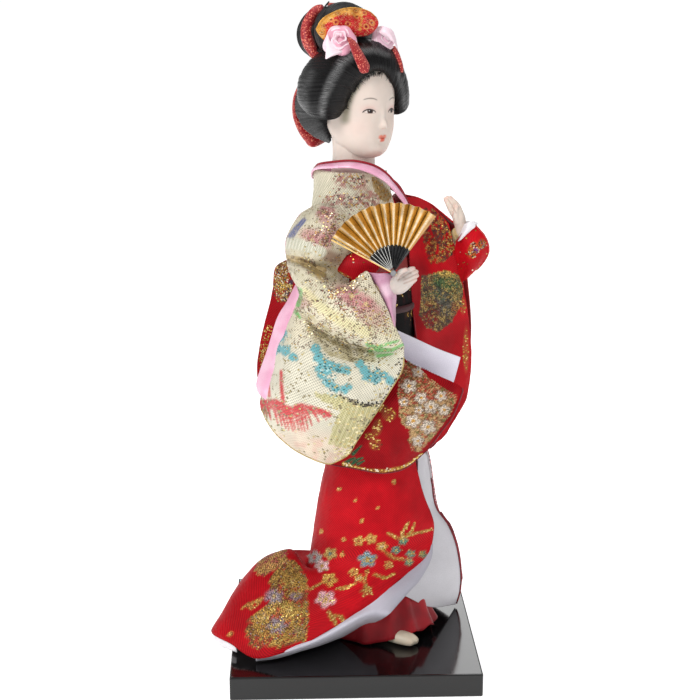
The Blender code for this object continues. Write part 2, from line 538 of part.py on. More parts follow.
WRAP = [
    [(W, -10.5, 7, 211.5), (W, -14.5, 2.5, 212), (312, 206, -2.6)],
    [(W, -14, 7, 207), (W, -19.5, 2.5, 207.5), (299, 215, -2.6)],
    [(W, -13, 5, 198), (W, -23, 1.5, 198), (287.5, 235, -4.4)],
    [(W, -11, -1, 191), (W, -22, -1, 191.5), (285.5, 250, -6.4)],
    [(W, -9, -9, 186.5), (W, -20.5, -5.5, 187), (287.5, 261, -9.4)],
    [(W, -6, -19, 182), (W, -18.5, -12, 183), (288.5, 269, -12.4)],
    [(W, -5, -24, 177.5), (W, -17, -15.5, 178.5), (292, 277.5, -14.2)],
    [(W, -6, -26, 174), (W, -16.5, -17.5, 175), (297.5, 287, -15.2)],
]
wrap = cloth("sleeve_right_back", net(WRAP, 6, 12), 0.0, 1.2, "cream_brocade", (0, -1, 0), 0.3)

PINK = [
    [(296, 284, -11), (300, 287, -17), (312, 291, -24)],
    [(287, 301, -11), (293, 305, -20), (306, 310, -28)],
    [(277, 318, -12), (286, 324, -22), (300, 331, -30)],
    [(268, 347, -13), (277, 352, -24), (292, 361, -32)],
    [(257, 380, -14), (267, 383, -26), (284, 393, -33)],
    [(257, 392, -15), (262, 397, -25), (280, 410, -31)],
]
pink = cloth("sleeve_right_pink_lining", net(PINK, 4, 7), 0.0, 0.7, "pink_satin", (0, 1, 0), 0.6)

RED_IN = [
    [(285, 260, 0), (300, 262, -8), (318, 264, -12), (335, 270, -15), (350, 278, -17), (365, 292, -19), (385, 322, -22)],
    [(275, 268, 2), (292, 285, -8), (315, 295, -13), (338, 306, -17), (360, 322, -21), (382, 340, -26), (404, 358, -30)],
    [(272, 290, 2), (290, 315, -8), (315, 330, -15), (340, 341, -20), (365, 352, -26), (398, 364, -31), (430, 372, -30)],
    [(265, 322, 0), (285, 350, -11), (315, 365, -20), (345, 373, -26), (378, 378, -32), (420, 381, -34), (460, 386, -28)],
    [(259, 350, -2), (280, 380, -16), (315, 395, -25), (350, 401, -31), (385, 403, -37), (425, 403, -36), (461, 397, -28)],
    [(257, 376, -5), (283, 405, -20), (318, 425, -28), (352, 431, -34), (385, 431, -38), (420, 425, -36), (452, 417, -28)],
    [(262, 398, -8), (290, 428, -20), (320, 447, -28), (352, 452, -33), (383, 453, -36), (412, 446, -34), (440, 433, -28)],
    [(268, 412, -10), (295, 442, -18), (325, 462, -24), (353, 468, -28), (384, 473, -31), (407, 467, -30), (429, 449, -27)],
]
red_in = cloth("sleeve_right_inner", net(RED_IN, 13, 12), 0.0, 1.6, "red_brocade", (0, 1, 0), 0.75)

PANEL = [
    [(392, 328, -22), (415, 339, -21), (438, 349, -19), (460.5, 357.5, -17)],
    [(390, 345, -23), (413, 356, -22), (436, 366, -20), (457, 370, -18)],
    [(388, 365, -24), (410, 374, -23), (432, 382, -21), (453, 384, -20)],
    [(387, 385, -25), (408, 394, -24), (428, 400, -23), (448, 400, -22)],
]
panel = cloth("sleeve_right_white_lining", net(PANEL, 6, 5), 0.0, 1.2, "white_silk", (0, 1, 0), 0.8)

LEFT = [
    [(405, 197, 8), (412, 197, 10), (420, 198, 12), (428, 203, 12), (436, 210, 11), (443, 217, 9), (449, 224, 7)],
    [(412, 214, 0), (418, 214, 1.5), (425, 215, 3), (432, 218, 5), (440, 224, 6), (447, 231, 5), (453, 240, 3)],
    [(410, 240, -3), (417, 240, -1), (425, 240, 2), (434, 242, 6), (443, 245, 7), (452, 250, 6), (459, 258, 4)],
    [(410, 270, -4), (417, 270, -2), (426, 270, 1), (436, 271, 5), (447, 272, 6), (456, 275, 6), (463, 284, 6)],
    [(412, 301, -4), (419, 301, -2), (429, 302, 1), (440, 302, 3), (451, 303, 5), (460, 304, 7), (467, 307, 9)],
    [(416, 335, -5), (424, 336, -3), (433, 337, 1), (444, 338, 5), (454, 339, 8), (464, 339, 10), (471, 339, 12)],
    [(420, 370, -2), (429, 371, 0), (437, 372, 4), (448, 373, 8), (458, 373, 10), (466, 373, 12), (471, 372, 14)],
    [(427, 405, 5), (434, 407, 6), (441, 408, 8), (448, 408, 10), (455, 407, 12), (461, 405, 13), (465, 402, 14)],
    [(428, 432, 6), (433, 436, 6), (438, 437, 8), (443, 436, 9), (447, 433, 10), (450, 427, 11), (453, 420, 12)],
    [(427, 448, 8), (430, 448, 8), (432, 447, 9), (434, 445, 9), (436, 442, 9), (438, 439, 10), (440, 435, 11)],
]
LEFT_BACK = [
    [(W, 21, 10.8, 215.2), (W, 30, 14.5, 212.6), (W, 37, 15.0, 209), (W, 43, 11.8, 204.4), (W, 47.5, 8.6, 201)],
    [(W, 19, 20, 212.5), (W, 29, 22, 207.5), (W, 37, 21, 203), (W, 44, 16.5, 200), (W, 50, 11, 198.5)],
    [(W, 17, 28.5, 204), (W, 28, 29.5, 199), (W, 38, 25.5, 194.5), (W, 46, 19, 191.5), (W, 53, 12.5, 189.5)],
    [(W, 17, 29, 186), (W, 28, 28.5, 182), (W, 38, 24.5, 178.5), (W, 47, 19, 177), (W, 53.5, 14, 177)],
    [(W, 23, 28, 156), (W, 32, 27.5, 152), (W, 41, 23.5, 149.5), (W, 49.5, 19, 148), (W, 56, 15.5, 147)],
    [(W, 31, 24, 121), (W, 37, 23.5, 117), (W, 43, 21.5, 115), (W, 48.5, 19, 115), (W, 53.5, 17.2, 116)],
    [(W, 34, 16, 98), (W, 36, 15.5, 96), (W, 38.5, 14.8, 96), (W, 40.8, 14, 98), (W, 43, 13.5, 101)],
]
MOUTH = [
    [(456, 242, 3), (461, 236, 0), (466, 229, -1), (472, 222, 0)],
    [(455, 254, 4), (466, 247, -2), (477, 240, -2), (485, 236, 1)],
    [(457, 265, 4), (469, 261, -2), (480, 256, -2), (489, 250, 2)],
    [(459, 275, 5), (468, 272, 0), (476, 268, 0), (484, 262, 3)],
    [(461, 283, 6), (465, 280, 3), (469, 277, 3), (473, 273, 4)],
]
left = cloth("sleeve_left", net(LEFT, 9, 13), 0.0, 1.8, "red_brocade", (0, 1, 0), 0.8)
left_back = cloth("sleeve_left_back", net(LEFT_BACK, 7, 11), 0.0, 1.4, "red_brocade", (0, -1, 0), 0.3)
left = joined(left, cloth("mouth", net(MOUTH, 6, 7), 0.0, 2.0, "red_brocade", (0, 1, 0), 0.8))

cuff_l = shell("cuff_left_white", [((x, y, z), BF, BL, a, b) for x, y, z, a, b in (
    (48.6, 5.0, 196.4, 3.6, 3.4), (48.8, 4.8, 199.5, 4.4, 4.0), (49.2, 4.6, 203, 5.8, 4.8), (49.6, 4.4, 205.5, 7.0, 5.2))], 0.6, "white_silk")
PINK_CUFF = [
    [(369.5, 272, -41), (378, 272.5, -44), (387, 273, -44), (395, 275, -41)],
    [(376.5, 284, -42), (382, 284.5, -45), (389, 285, -45), (395.5, 286, -42)],
    [(382.5, 293, -43), (386.5, 293.5, -45.5), (391, 294, -45), (395.5, 294.5, -42)],
    [(387.5, 302, -43), (390, 302.5, -45), (393, 303, -44.5), (395.4, 303.5, -42)],
    [(391.2, 309, -43), (392.5, 309.5, -44), (394, 310, -44), (395.3, 310.5, -42)],
]
cuff_r = cloth("cuff_right_pink", net(PINK_CUFF, 5, 7), 0.0, 0.7, "pink_satin", (0, 1, 0), 1.0)

clear_of(cream, [robe, bodice, core, arm_r, hand_r, guard_l, leaf])
clear_of(wrap, [cream, robe, bodice, arm_r, sash, cord])
clear_of(cuff_r, [arm_r, hand_r, guard_l, leaf, ribs])
clear_of(cuff_r, [cream], 0.3, finished=True)
clear_of(pink, [cream, wrap, arm_r, robe, bodice])
clear_of(red_in, [cream, wrap, pink, arm_r, robe, bodice, sash, cord, core, skirt, lining])
clear_of(panel, [cream, red_in, sash, cord, skirt, lining, cuff_r, hand_r])
clear_of(cuff_l, [arm_l, hand_l])
clear_of(left, [arm_l, hand_l, cuff_l, core, bodice, robe, sash, cord, panel, red_in, skirt, lining, collar, piping])
clear_of(left_back, [left, arm_l, hand_l, cuff_l, core, bodice, robe, sash, cord, skirt, lining, collar, piping])
clear_of(bow, [pink, red_in, wrap, left_back])

# ---------------------------------------------------------------- wig
wig = ball("wig_main", np.array([0.5, 1.0, 266.5]), (HL, HF, UP), (25.0, 20.0, 18.0), "hair", 24, 14)
window = ball("window", np.array([0.5, 1.0, 246.0]) + HF * 21, (HL, HF, UP), (14.2, 15.5, 26.5), "hair", 20, 12)
boolean(wig, window, "DIFFERENCE")
bpy.data.objects.remove(window)
clear_of(wig, [head])
nape = ball("wig_nape", (-11.5, 14.0, 252.0), (HL, HF, UP), (15.0, 8.0, 14.5), "hair", 16, 9)
clear_of(nape, [head, wig])
bun_f = ball("wig_bun_front", (-3.5, 3.5, 286.5), (HL, HF, UP), (15.0, 7.6, 11.6), "hair", 16, 9)
clear_of(bun_f, [wig])
bun_r = ball("wig_bun_rear", (-12.0, 14.2, 285.5), (HL, HF, UP), (13.0, 7.2, 11.0), "hair", 16, 9)
clear_of(bun_r, [wig, bun_f])

# ---------------------------------------------------------------- hair ornaments
rb_c = np.array([-8.2, 9.2, 285.6])
ribbon_bun = shell("ribbon_bun", [(rb_c + HF * f, HL, UP, a, b) for f, a, b in (
    (-2.4, 14.6, 12.0), (-1.0, 15.9, 13.2), (1.0, 15.9, 13.2), (2.4, 14.8, 12.1))], 2.6, "dark_red_silk")
clear_of(ribbon_bun, [wig, bun_f, bun_r])
near = [(298, 90, 10), (294.5, 104, 13), (295.5, 117, 16), (301, 129, 18), (309, 139, 20)]
far_side = [(-2.5, 26.0, 240.5), (5.0, 27.0, 246.0), (9.0, 26.5, 253.0), (10.5, 25.0, 259.0)]
ribbon_nape = tube("ribbon_nape", picture_path(*near, (318, 143.5, 21.5)) + [np.array(p) for p in far_side],
                   [1.2, 1.5, 1.7, 2.0, 2.3, 2.4, 2.3, 2.0, 1.6, 1.2], "dark_red_silk", n=8, steps=16)
clear_of(ribbon_nape, [nape, wig, head])


def strip(name, path, half, thick, mat):
    """A flat ribbon on the front of the wig, as wide as 2 half and thick mm deep."""
    pts = ways(path, 6)
    t = np.gradient(pts, axis=0)
    t /= np.linalg.norm(t, axis=1, keepdims=True)
    s = np.cross(t, HF)
    s /= np.linalg.norm(s, axis=1, keepdims=True)
    g = np.stack([pts + s * half * k for k in (-1, 0, 1)], axis=1)
    return cloth(name, g, -0.2, thick, mat, -HF, 0.8)


ribbon_near = strip("ribbon_front_near", picture_path((355, 40, -15.5), (360, 52, -20), (365.5, 64, -23.0), (368.5, 72, -23.5)), 2.2, 4.0, "dark_red_silk")
ribbon_far = strip("ribbon_front_far", picture_path((391, 43, -3.0), (397, 53, -5.0), (401.5, 63, -7), (403, 72, -7.5)), 2.2, 4.0, "dark_red_silk")
clear_of(ribbon_near, [wig])
clear_of(ribbon_far, [wig])
BOW = [(316.5, 29, 0), (320, 22, 0), (325, 17, 0), (337, 10.8, 0), (347, 8.2, 0), (357, 8, 0), (369, 11.5, 0), (377, 18, 0), (379.5, 24, 0),
       (374, 31, 0), (367, 35, 0), (352, 36, 0), (338, 40, 0), (326, 39, 0)]
hair_bow = plate("hair_bow_brocade", [sight(a, b, -8.6) for a, b, _ in BOW], (0, 1, 0), 3.0, "gold_brocade")
clear_of(hair_bow, [wig, bun_f])
rose_n = ball("rose_near", sight(341, 38, -15), (np.array([1, 0, 0]), np.array([0, 1, 0]), UP), (7.6, 4.6, 6.6), "rose_satin", 14, 8)
rose_f = ball("rose_far", sight(384, 37, -3), (np.array([1, 0, 0]), np.array([0, 1, 0]), UP), (6.6, 4.6, 6.2), "rose_satin", 14, 8)
clear_of(rose_n, [wig, hair_bow, bun_f, ribbon_near])
clear_of(rose_f, [wig, hair_bow, bun_f, ribbon_far, ribbon_near])
pin = tube("hair_pin", picture_path((324, 14, 4.5), (329, 1.4, 1.5)), [0.45, 0.3], "steel", n=8, steps=4)
clear_of(pin, [bun_f, hair_bow, ribbon_bun])

bpy.context.view_layer.update()
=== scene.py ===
import math

import bmesh
import bpy
import numpy as np
from mathutils import Matrix, Vector


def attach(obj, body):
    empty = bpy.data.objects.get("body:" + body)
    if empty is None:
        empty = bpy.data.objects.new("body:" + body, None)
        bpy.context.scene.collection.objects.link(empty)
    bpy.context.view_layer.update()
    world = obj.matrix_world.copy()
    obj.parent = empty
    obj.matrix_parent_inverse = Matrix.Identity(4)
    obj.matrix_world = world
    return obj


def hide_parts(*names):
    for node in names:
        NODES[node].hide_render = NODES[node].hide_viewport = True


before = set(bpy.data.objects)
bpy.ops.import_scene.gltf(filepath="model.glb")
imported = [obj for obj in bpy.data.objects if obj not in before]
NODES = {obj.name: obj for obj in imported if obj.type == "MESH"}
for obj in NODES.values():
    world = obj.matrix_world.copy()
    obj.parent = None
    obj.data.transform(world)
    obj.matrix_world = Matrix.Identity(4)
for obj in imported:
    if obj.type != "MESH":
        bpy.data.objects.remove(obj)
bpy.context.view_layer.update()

# ------------------------------------------------------------------ measures
# Lengths are millimetres until a mesh is made. Points of the cloth are given as
# points of the 700 x 700 picture at a depth y, seen from this eye point.
EYE = np.array([-24.03, -660.5, 311.9])
TURN, DIP, REACH = 0.0348, 0.2475, 1500.0
FW = np.array([math.sin(TURN) * math.cos(DIP), math.cos(TURN) * math.cos(DIP), -math.sin(DIP)])
RT = np.array([math.cos(TURN), -math.sin(TURN), 0.0])
UPV = np.cross(RT, FW)
UP = np.array([0.0, 0.0, 1.0])
FLOOR = 11.35


def turned(deg):
    a = math.radians(deg)
    f = np.array([math.sin(a), -math.cos(a), 0.0])
    return f, np.array([-f[1], f[0], 0.0])


HF, HL = turned(40.0)
BF, BL = turned(57.0)
HEAD = np.array([1.5, 0.5, 0.0])


def sight(px, py, y):
    d = FW + RT * (px - 350) / REACH - UPV * (py - 350) / REACH
    return EYE + d * ((y - EYE[1]) / d[1])


def picture(P):
    """Where the points P (..., 3) fall in the picture."""
    v = np.asarray(P, float) - EYE
    z = v @ FW
    return 350 + REACH * (v @ RT) / z, 350 - REACH * (v @ UPV) / z


def head(l, f, z):
    return HEAD + HL * l + HF * f + UP * z


def ways(p, n):
    p = np.asarray(p, float)
    k = len(p)
    if k == 2:
        t = np.linspace(0, 1, n).reshape((-1,) + (1,) * (p.ndim - 1))
        return p[0] * (1 - t) + p[1] * t
    ext = np.concatenate([[2 * p[0] - p[1]], p, [2 * p[-1] - p[-2]]])
    t = np.linspace(0, k - 1, n)
    i = np.minimum(t.astype(int), k - 2)
    f = (t - i).reshape((-1,) + (1,) * (p.ndim - 1))
    a, b, c, d = ext[i], ext[i + 1], ext[i + 2], ext[i + 3]
    return 0.5 * (2 * b + (c - a) * f + (2 * a - 5 * b + 4 * c - d) * f ** 2 + (3 * b - a - 3 * c + d) * f ** 3)


def points(rows):
    return [[sight(*c) if len(c) == 3 else np.array(c[1:], float) for c in r] for r in rows]


def net(rows, nu, nv):
    return np.swapaxes(ways(np.swapaxes(ways(points(rows), nv), 0, 1), nu), 0, 1)


def normals(g):
    n = np.cross(np.gradient(g, axis=1), np.gradient(g, axis=0))
    return n / np.maximum(np.linalg.norm(n, axis=2, keepdims=True), 1e-9)


def smooth01(x, a, b):
    t = np.clip((x - a) / (b - a), 0, 1)
    return t * t * (3 - 2 * t)


def hashed(i, j, seed):
    h = np.sin(i * 127.1 + j * 311.7 + seed * 74.7) * 43758.5453
    return h - np.floor(h)


def noise(x, y, seed=0.0):
    xi, yi = np.floor(x), np.floor(y)
    fx, fy = x - xi, y - yi
    fx, fy = fx * fx * (3 - 2 * fx), fy * fy * (3 - 2 * fy)
    a, b = hashed(xi, yi, seed), hashed(xi + 1, yi, seed)
    c, d = hashed(xi, yi + 1, seed), hashed(xi + 1, yi + 1, seed)
    return (a * (1 - fx) + b * fx) * (1 - fy) + (c * (1 - fx) + d * fx) * fy


def fbm(x, y, seed=0.0, octaves=3):
    out, amp, tot = 0.0, 1.0, 0.0
    for k in range(octaves):
        out = out + amp * noise(x * 2 ** k, y * 2 ** k, seed + 13 * k)
        tot += amp
        amp *= 0.5
    return out / tot


def rgb(r, g, b):
    c = np.array([r, g, b], float) / 255.0
    return np.where(c <= 0.04045, c / 12.92, ((c + 0.055) / 1.055) ** 2.4)


# ------------------------------------------------------------------ meshes
def build(name, V, F, mats, fmat=None, uv=None, paint=None, also=(), smooth=True, values=None):
    me = bpy.data.meshes.new(name)
    me.from_pydata((np.asarray(V, float) / 1000.0).tolist(), [], [list(map(int, f)) for f in F])
    for m in mats:
        me.materials.append(m)
    me.polygons.foreach_set("use_smooth", [smooth] * len(me.polygons))
    if fmat is not None:
        me.polygons.foreach_set("material_index", np.asarray(fmat, np.int32))
    li = np.empty(len(me.loops), np.int32)
    me.loops.foreach_get("vertex_index", li)
    if uv is not None:
        layer = me.uv_layers.new(name="cloth")
        layer.data.foreach_set("uv", np.asarray(uv, np.float32)[li].ravel())
    if paint is not None:
        a = me.attributes.new("paint", "FLOAT_COLOR", "POINT")
        rgba = np.ones((len(V), 4), np.float32)
        rgba[:, :3] = paint
        a.data.foreach_set("color", rgba.ravel())
    for key, arr in (values or {}).items():
        a = me.attributes.new(key, "FLOAT", "POINT")
        a.data.foreach_set("value", np.asarray(arr, np.float32).ravel())
    me.update()
    o = bpy.data.objects.new(name, me)
    bpy.context.scene.collection.objects.link(o)
    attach(o, "root")
    if also:
        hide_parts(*also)
    return o


def quads(nv, nu, start=0, flip=False, wrap_u=False):
    i, j = np.meshgrid(np.arange(nv - 1), np.arange(nu if wrap_u else nu - 1), indexing="ij")
    k = (j + 1) % nu
    a, b, c, d = i * nu + j, i * nu + k, (i + 1) * nu + k, (i + 1) * nu + j
    q = np.stack([a, d, c, b] if flip else [a, b, c, d], axis=-1).reshape(-1, 4)
    return q + start


def arclength(g):
    """Cloth coordinates in mm for each point of a net."""
    mid = g[g.shape[0] // 2]
    u = np.concatenate([[0], np.cumsum(np.linalg.norm(np.diff(mid, axis=0), axis=1))])
    col = g[:, g.shape[1] // 2]
    v = np.concatenate([[0], np.cumsum(np.linalg.norm(np.diff(col, axis=0), axis=1))])
    U, V = np.meshgrid(u, v)
    return U, V


def flat_size(g):
    rows = np.linalg.norm(np.diff(g, axis=1), axis=2).sum(1).mean()
    cols = np.linalg.norm(np.diff(g, axis=0), axis=2).sum(0).mean()
    a, b = g[1:, 1:] - g[:-1, :-1], g[1:, :-1] - g[:-1, 1:]
    area = np.linalg.norm(np.cross(a, b), axis=2).sum() / 2
    return (max(rows / 1000, 0.01), max(cols / 1000, 0.01)), area / 1e6


def behind(g, away, mix):
    n = normals(g)
    away = np.asarray(away, float)
    if (n * away).sum() < 0:
        n = -n
    n = n * (1 - mix) + away * mix
    return n / np.linalg.norm(n, axis=2, keepdims=True)


SHEETS = {}


def cloth(name, g, thick, away, mats, paint, back=None, also=(), mix=0.4, start=0.0):
    """A sheet with a front (g), a back and a turned rim. mats is (front, back)."""
    n = behind(g, away, mix)
    nv, nu = g.shape[:2]
    A, B = g + n * start, g + n * (start + thick)
    U, V = arclength(g)
    uv = np.stack([U, V], axis=-1).reshape(-1, 2)
    front = quads(nv, nu)
    fn = normals(g)
    flip = (fn * np.asarray(away, float)).sum() > 0
    if flip:
        front = front[:, ::-1]
    bk = front[:, ::-1] + nv * nu
    rim = list(range(nu)) + [i * nu + nu - 1 for i in range(1, nv)] + \
        [(nv - 1) * nu + j for j in range(nu - 2, -1, -1)] + [i * nu for i in range(nv - 2, 0, -1)]
    rim = np.array(rim)
    nxt = np.roll(rim, -1)
    off = nv * nu
    r = np.stack([nxt, rim, off + rim, off + nxt], axis=-1)
    if flip:
        r = r[:, ::-1]
    col = paint.reshape(-1, 3)
    bc = np.broadcast_to(back, col.shape) if back is not None else col
    o = build(name, np.concatenate([A.reshape(-1, 3), B.reshape(-1, 3)]), np.concatenate([front, bk, r]), mats,
              [0] * len(front) + [1] * len(bk) + [0] * len(r), np.concatenate([uv, uv]), np.concatenate([col, bc]), also)
    size, area = flat_size(g)
    area = min(area, size[0] * size[1])
    area = max(area, 0.31 * size[0] * size[1])
    SHEETS[name] = (g, -n)
    return o


def tube(name, path, r, mats, n=8, steps=None, colour=None, also=(), flat=1.0, side=None, closed=False, taper=None):
    pts = ways(path, steps or 6 * len(path)) if steps != 0 else np.asarray(path, float)
    t = np.gradient(pts, axis=0)
    t /= np.linalg.norm(t, axis=1, keepdims=True)
    ref = np.asarray(side if side is not None else (0.31, 0.17, 0.93), float)
    s = ref - t * (t @ ref)[:, None]
    s /= np.linalg.norm(s, axis=1, keepdims=True)
    b = np.cross(t, s)
    rr = np.full(len(pts), float(r)) if np.isscalar(r) else ways(np.asarray(r, float).reshape(-1, 1), len(pts))[:, 0]
    a = np.linspace(0, 2 * math.pi, n, endpoint=False)
    V = pts[:, None] + s[:, None] * (np.cos(a)[None, :, None] * rr[:, None, None]) + b[:, None] * (np.sin(a)[None, :, None] * rr[:, None, None] * flat)
    m = len(pts)
    F = list(quads(m, n, wrap_u=True)) + [list(range(n))[::-1], list(range((m - 1) * n, m * n))]
    L = np.concatenate([[0], np.cumsum(np.linalg.norm(np.diff(pts, axis=0), axis=1))])
    uv = np.stack([np.broadcast_to(a * rr.mean(), (m, n)), np.broadcast_to(L[:, None], (m, n))], axis=-1).reshape(-1, 2)
    col = np.broadcast_to(colour if colour is not None else (1, 1, 1), (m * n, 3))
    return build(name, V.reshape(-1, 3), F, mats, None, uv, col, also)


# ------------------------------------------------------------------ materials
class Shade:
    def __init__(self, name):
        self.m = bpy.data.materials.new(name)
        self.m.use_nodes = True
        self.t = self.m.node_tree
        self.b = self.t.nodes["Principled BSDF"]

    def n(self, kind, **kw):
        node = self.t.nodes.new(kind)
        for k, v in kw.items():
            setattr(node, k, v)
        return node

    def put(self, socket, value):
        if isinstance(value, bpy.types.NodeSocket):
            self.t.links.new(value, socket)
        elif hasattr(value, "__len__") and len(value) == 3 and socket.type == "RGBA":
            socket.default_value = (*value, 1)
        else:
            socket.default_value = value

    def do(self, op, a, b=None, c=None, clamp=False):
        node = self.n("ShaderNodeMath", operation=op, use_clamp=clamp)
        for k, v in enumerate((a, b, c)):
            if v is not None:
                self.put(node.inputs[k], v)
        return node.outputs[0]

    def mix(self, fac, a, b, how="MIX"):
        node = self.n("ShaderNodeMix", data_type="RGBA", blend_type=how)
        node.clamp_factor = True
        self.put(node.inputs[0], fac)
        self.put(node.inputs[6], a)
        self.put(node.inputs[7], b)
        return node.outputs[2]

    def ramp(self, x, lo, hi, a=0.0, b=1.0):
        node = self.n("ShaderNodeMapRange", interpolation_type="SMOOTHSTEP")
        for k, v in enumerate((x, lo, hi, a, b)):
            self.put(node.inputs[k], v)
        return node.outputs[0]

    def noise(self, vec, scale, detail=3.0, rough=0.55):
        node = self.n("ShaderNodeTexNoise")
        self.put(node.inputs["Vector"], vec)
        node.inputs["Scale"].default_value = scale
        node.inputs["Detail"].default_value = detail
        node.inputs["Roughness"].default_value = rough
        return node.outputs["Fac"]

    def paint(self):
        node = self.n("ShaderNodeAttribute", attribute_name="paint")
        return node.outputs["Color"]

    def value(self, name):
        return self.n("ShaderNodeAttribute", attribute_name=name).outputs["Fac"]

    def uv(self):
        node = self.n("ShaderNodeUVMap", uv_map="cloth")
        sep = self.n("ShaderNodeSeparateXYZ")
        self.t.links.new(node.outputs[0], sep.inputs[0])
        return node.outputs[0], sep.outputs[0], sep.outputs[1]

    def place(self):
        return self.n("ShaderNodeTexCoord").outputs["Object"]

    def bump(self, height, strength, dist=0.0002):
        node = self.n("ShaderNodeBump")
        node.inputs["Strength"].default_value = strength
        node.inputs["Distance"].default_value = dist
        self.put(node.inputs["Height"], height)
        self.t.links.new(node.outputs[0], self.b.inputs["Normal"])

    def set(self, **kw):
        for k, v in kw.items():
            self.put(self.b.inputs[k.replace("_", " ")], v)


def weave(name, kind, pitch, dark=0.7, rough=0.6, sheen=0.15, bump=0.35, spec=0.3, mottle=0.12, tone=None, brocade=False):
    """Woven cloth coloured by the mesh's paint. kind: grid, rib, twill, satin or plain."""
    s = Shade(name)
    vec, u, v = s.uv()
    w = 2 * math.pi / pitch
    if kind == "grid":
        a = s.do("SINE", s.do("MULTIPLY", u, w))
        b = s.do("SINE", s.do("MULTIPLY", v, w))
        h = s.do("MULTIPLY_ADD", s.do("MULTIPLY", a, b), 0.5, 0.5)
    elif kind == "rib":
        b = s.do("SINE", s.do("MULTIPLY", v, w))
        a = s.do("SINE", s.do("MULTIPLY", u, w * 1.9))
        h = s.do("MULTIPLY_ADD", s.do("ADD", s.do("MULTIPLY", b, 0.75), s.do("MULTIPLY", a, 0.25)), 0.5, 0.5)
    elif kind == "twill":
        h = s.do("MULTIPLY_ADD", s.do("SINE", s.do("MULTIPLY", s.do("ADD", u, s.do("MULTIPLY", v, 0.85)), w)), 0.5, 0.5)
    elif kind == "satin":
        stretch = s.n("ShaderNodeMapping")
        stretch.inputs["Scale"].default_value = (0.25, 3.0, 1.0)
        s.t.links.new(vec, stretch.inputs[0])
        h = s.noise(stretch.outputs[0], 1.6, 4.0)
    else:
        a = s.do("SINE", s.do("MULTIPLY", u, w))
        b = s.do("SINE", s.do("MULTIPLY", v, w))
        h = s.do("MULTIPLY_ADD", s.do("MULTIPLY", a, b), 0.5, 0.5)
    wide = s.noise(vec, 0.09, 4.0)
    fine = s.noise(vec, 2.2, 2.0)
    base = s.paint()
    k = s.ramp(h, 0.12, 0.62, dark, 1.0)
    k = s.do("MULTIPLY", k, s.ramp(wide, 0.3, 0.7, 1 - mottle, 1 + mottle * 0.5))
    k = s.do("MULTIPLY", k, s.ramp(fine, 0.25, 0.75, 0.93, 1.05))
    grey = s.n("ShaderNodeCombineColor")
    for c in range(3):
        s.put(grey.inputs[c], k)
    col = s.mix(1.0, base, grey.outputs[0], "MULTIPLY")
    if brocade:
        # where the paint isn't plain red, single threads show darker and brighter
        green = s.n("ShaderNodeSeparateColor")
        s.t.links.new(base, green.inputs[0])
        fancy = s.ramp(green.outputs[1], 0.03, 0.10)
        thread = s.noise(vec, 1.5, 1.0)
        gain = s.ramp(thread, 0.38, 0.62, 0.38, 1.5)
        grey2 = s.n("ShaderNodeCombineColor")
        for c in range(3):
            s.put(grey2.inputs[c], gain)
        col = s.mix(fancy, col, s.mix(1.0, col, grey2.outputs[0], "MULTIPLY"))
    if tone is not None:
        col = s.mix(s.ramp(h, 0.0, 0.5, 0.35, 0.0), col, tone)
    s.set(Base_Color=col)
    s.put(s.b.inputs["Roughness"], s.ramp(fine, 0.2, 0.8, rough - 0.07, rough + 0.07))
    s.b.inputs["Specular IOR Level"].default_value = spec
    s.b.inputs["Sheen Weight"].default_value = sheen
    s.b.inputs["Sheen Roughness"].default_value = 0.4
    s.bump(s.do("ADD", s.do("MULTIPLY", h, 0.8), s.do("MULTIPLY", fine, 0.4)), bump)
    return s.m


M_CREAM = weave("cream_brocade_cloth", "grid", 1.3, dark=0.6, rough=0.5, sheen=0.03, bump=0.6, spec=0.35, tone=rgb(120, 112, 84))
M_RED = weave("red_brocade_cloth", "twill", 1.15, dark=0.6, rough=0.55, sheen=0.0, bump=0.5, spec=0.08, brocade=True)
M_RED_FINE = weave("red_brocade_fine", "twill", 0.9, dark=0.76, rough=0.5, sheen=0.0, bump=0.35, spec=0.1, brocade=True)
M_WHITE = weave("white_silk_cloth", "plain", 0.5, dark=0.93, rough=0.6, sheen=0.2, bump=0.12, spec=0.25, mottle=0.05)
M_PINK = weave("pink_satin_cloth", "satin", 1.0, dark=0.93, rough=0.32, sheen=0.1, bump=0.1, spec=0.5, mottle=0.08)
M_DARKRED = weave("dark_red_silk_cloth", "plain", 0.5, dark=0.86, rough=0.5, sheen=0.15, bump=0.2, spec=0.35)
M_OBI = weave("obi_brocade_cloth", "grid", 0.8, dark=0.7, rough=0.6, sheen=0.0, bump=0.5, spec=0.12)


def thread_mat(name, metallic, rough, spec=0.5):
    s = Shade(name)
    vec = s.place()
    f = s.noise(vec, 900.0, 2.0)
    col = s.mix(s.ramp(f, 0.3, 0.7), s.paint(), s.mix(1.0, s.paint(), (0.55, 0.5, 0.45), "MULTIPLY"))
    s.set(Base_Color=col)
    s.put(s.b.inputs["Roughness"], s.ramp(f, 0.2, 0.8, rough - 0.08, rough + 0.12))
    s.b.inputs["Metallic"].default_value = metallic
    s.b.inputs["Specular IOR Level"].default_value = spec
    s.bump(f, 0.3)
    return s.m


M_GOLDTHREAD = thread_mat("gold_thread", 0.75, 0.36)
M_SILKTHREAD = thread_mat("silk_thread", 0.0, 0.5, 0.4)


